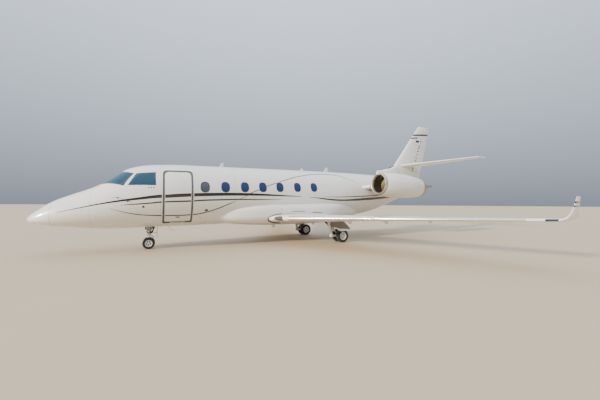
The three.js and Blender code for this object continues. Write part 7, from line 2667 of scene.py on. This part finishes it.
# Vents and hinges: louvred grille on the dorsal fairing, slots in the belly fairing, covers of the
# rudder's hinges.
vent_black = finish("black_vent_mesh", "#1a1a1b", 0.6, grain_mm=6, grain=0.6, tint=0.15, tint_m=0.03)
GRILLE = (15.26, 15.74)


def dorsal_top(station):
    return smooth_row(DORSAL, station)[2]


grille_bed = new_piece("grille_bed", *loft([
    [(at(s), y, dorsal_top(s) + lift - 0.010 * (y / 0.07) ** 2)
     for y, lift in ((-0.070, 0.0005), (-0.035, 0.001), (0, 0.001), (0.035, 0.001), (0.070, 0.0005),
                     (0.070, -0.006), (0, -0.006), (-0.070, -0.006))]
    for s in stations_between(*GRILLE, 0.04)]), vent_black)
fixed(shade(grille_bed), "airframe", "airframe_paint")
SLAT_COUNT = 16
slat_seed = outline_prism(rounded([(-0.010, 0), (0.006, 0), (0.012, 0.006), (-0.004, 0.006)], [0.001] * 4, 2),
                          -0.068,
                          0.068, name="grille_louvres")
coloured(slat_seed, vent_black)
louvre_places = []
for k in range(SLAT_COUNT):
    s = GRILLE[0] + 0.015 + (GRILLE[1] - GRILLE[0] - 0.03) * k / (SLAT_COUNT - 1)
    louvre_places.append((Vector((at(s), 0, dorsal_top(s) - 0.001)), Vector((1, 0, 0.02))))
fixed(studs("grille_louvres", louvre_places, slat_seed, vent_black), "airframe", "airframe_paint")
bpy.data.objects.remove(slat_seed)
slots = []
for first, last, z, height in ((8.575, 9.232, 1.340, 0.022), (9.548, 10.111, 1.296, 0.030),
                               (8.105, 8.150, 1.433, 0.045)):
    slot = new_piece("slot", *loft([fairing_ring(s, 0.0010) for s in stations_between(first, last, 0.05)]),
                     vent_black)
    combined(slot, [new_piece("cutter", *loft([
        fairing_ring(s, -0.003) for s in stations_between(first - 0.02, last + 0.02, 0.05)]), vent_black)])
    outline = oval(at((first + last) / 2), z, (last - first) / 2, height / 2, 32, 3)
    combined(slot, [outline_prism(outline, 0.9, 1.5)], "INTERSECT")
    slots.append(slot)
slots = gathered("fairing_vent_slots", slots)
fixed_pair(shade(slots), "airframe", "airframe_paint")
HINGE_HEIGHTS = (0.055, 0.110, 0.290, 0.360, 0.440, 0.520, 0.585, 0.640, 0.760)
hinge_covers = []
for share in HINGE_HEIGHTS:
    foot = Vector((at(RUDDER_FOOT[0]), 0,
                   RUDDER_FOOT[1])).lerp(Vector((at(RUDDER_HEAD[0]), 0, RUDDER_HEAD[1])), share)
    rings = []
    for k in range(9):
        t = k / 8
        bulge = math.sqrt(max(0.0, 1 - (2 * t - 1) ** 2))
        x = foot.x + 0.030 + 0.120 * t
        y = fin_half_thickness(x + LENGTH / 2, foot.z)
        rings.append([
            (x, y + 0.022 * bulge * math.cos(a) - 0.002, foot.z + 0.040 * math.sin(a) * max(bulge, 0.15))
            for a in [math.pi * n / 8 - math.pi / 2 for n in range(9)]] + [(x, y - 0.006, foot.z)])
    hinge_covers.append(new_piece("cover", *loft(rings), vent_black))
hinge_covers = gathered("rudder_hinge_covers", hinge_covers)
fixed_pair(shade(hinge_covers), "rudder", "airframe_paint")


# Static dischargers: thin carbon wicks on metal feet along the trailing edges, each riding its own surface.
wick_black = finish("carbon_wick", "#202021", 0.6, grain_mm=3, grain=0.2, tint=0.1, tint_m=0.02)


def wick(tail):
    """A wick trailing aft from a point of a trailing edge, drooped a little."""
    return gathered("wick", [
        rod(tail - Vector((0.030, 0, -0.001)), tail + Vector((0.012, 0, 0.001)), 0.004,
            wick_black, 0.003, 10),
        rod(tail, tail + Vector((0.105, 0, -0.006)), 0.0022, wick_black, 0.0012, 8)])


for name, body, ys, point_of in (
        ("aileron_wicks", "aileron", (6.6, 7.2, 7.8), wing_point),
        ("elevator_wicks", "elevator", (1.9, 2.6, 3.1), tail_point)):
    fixed_pair(gathered(name, [wick(point_of(y, 1.0)[0]) for y in ys]), body, "airframe_paint")
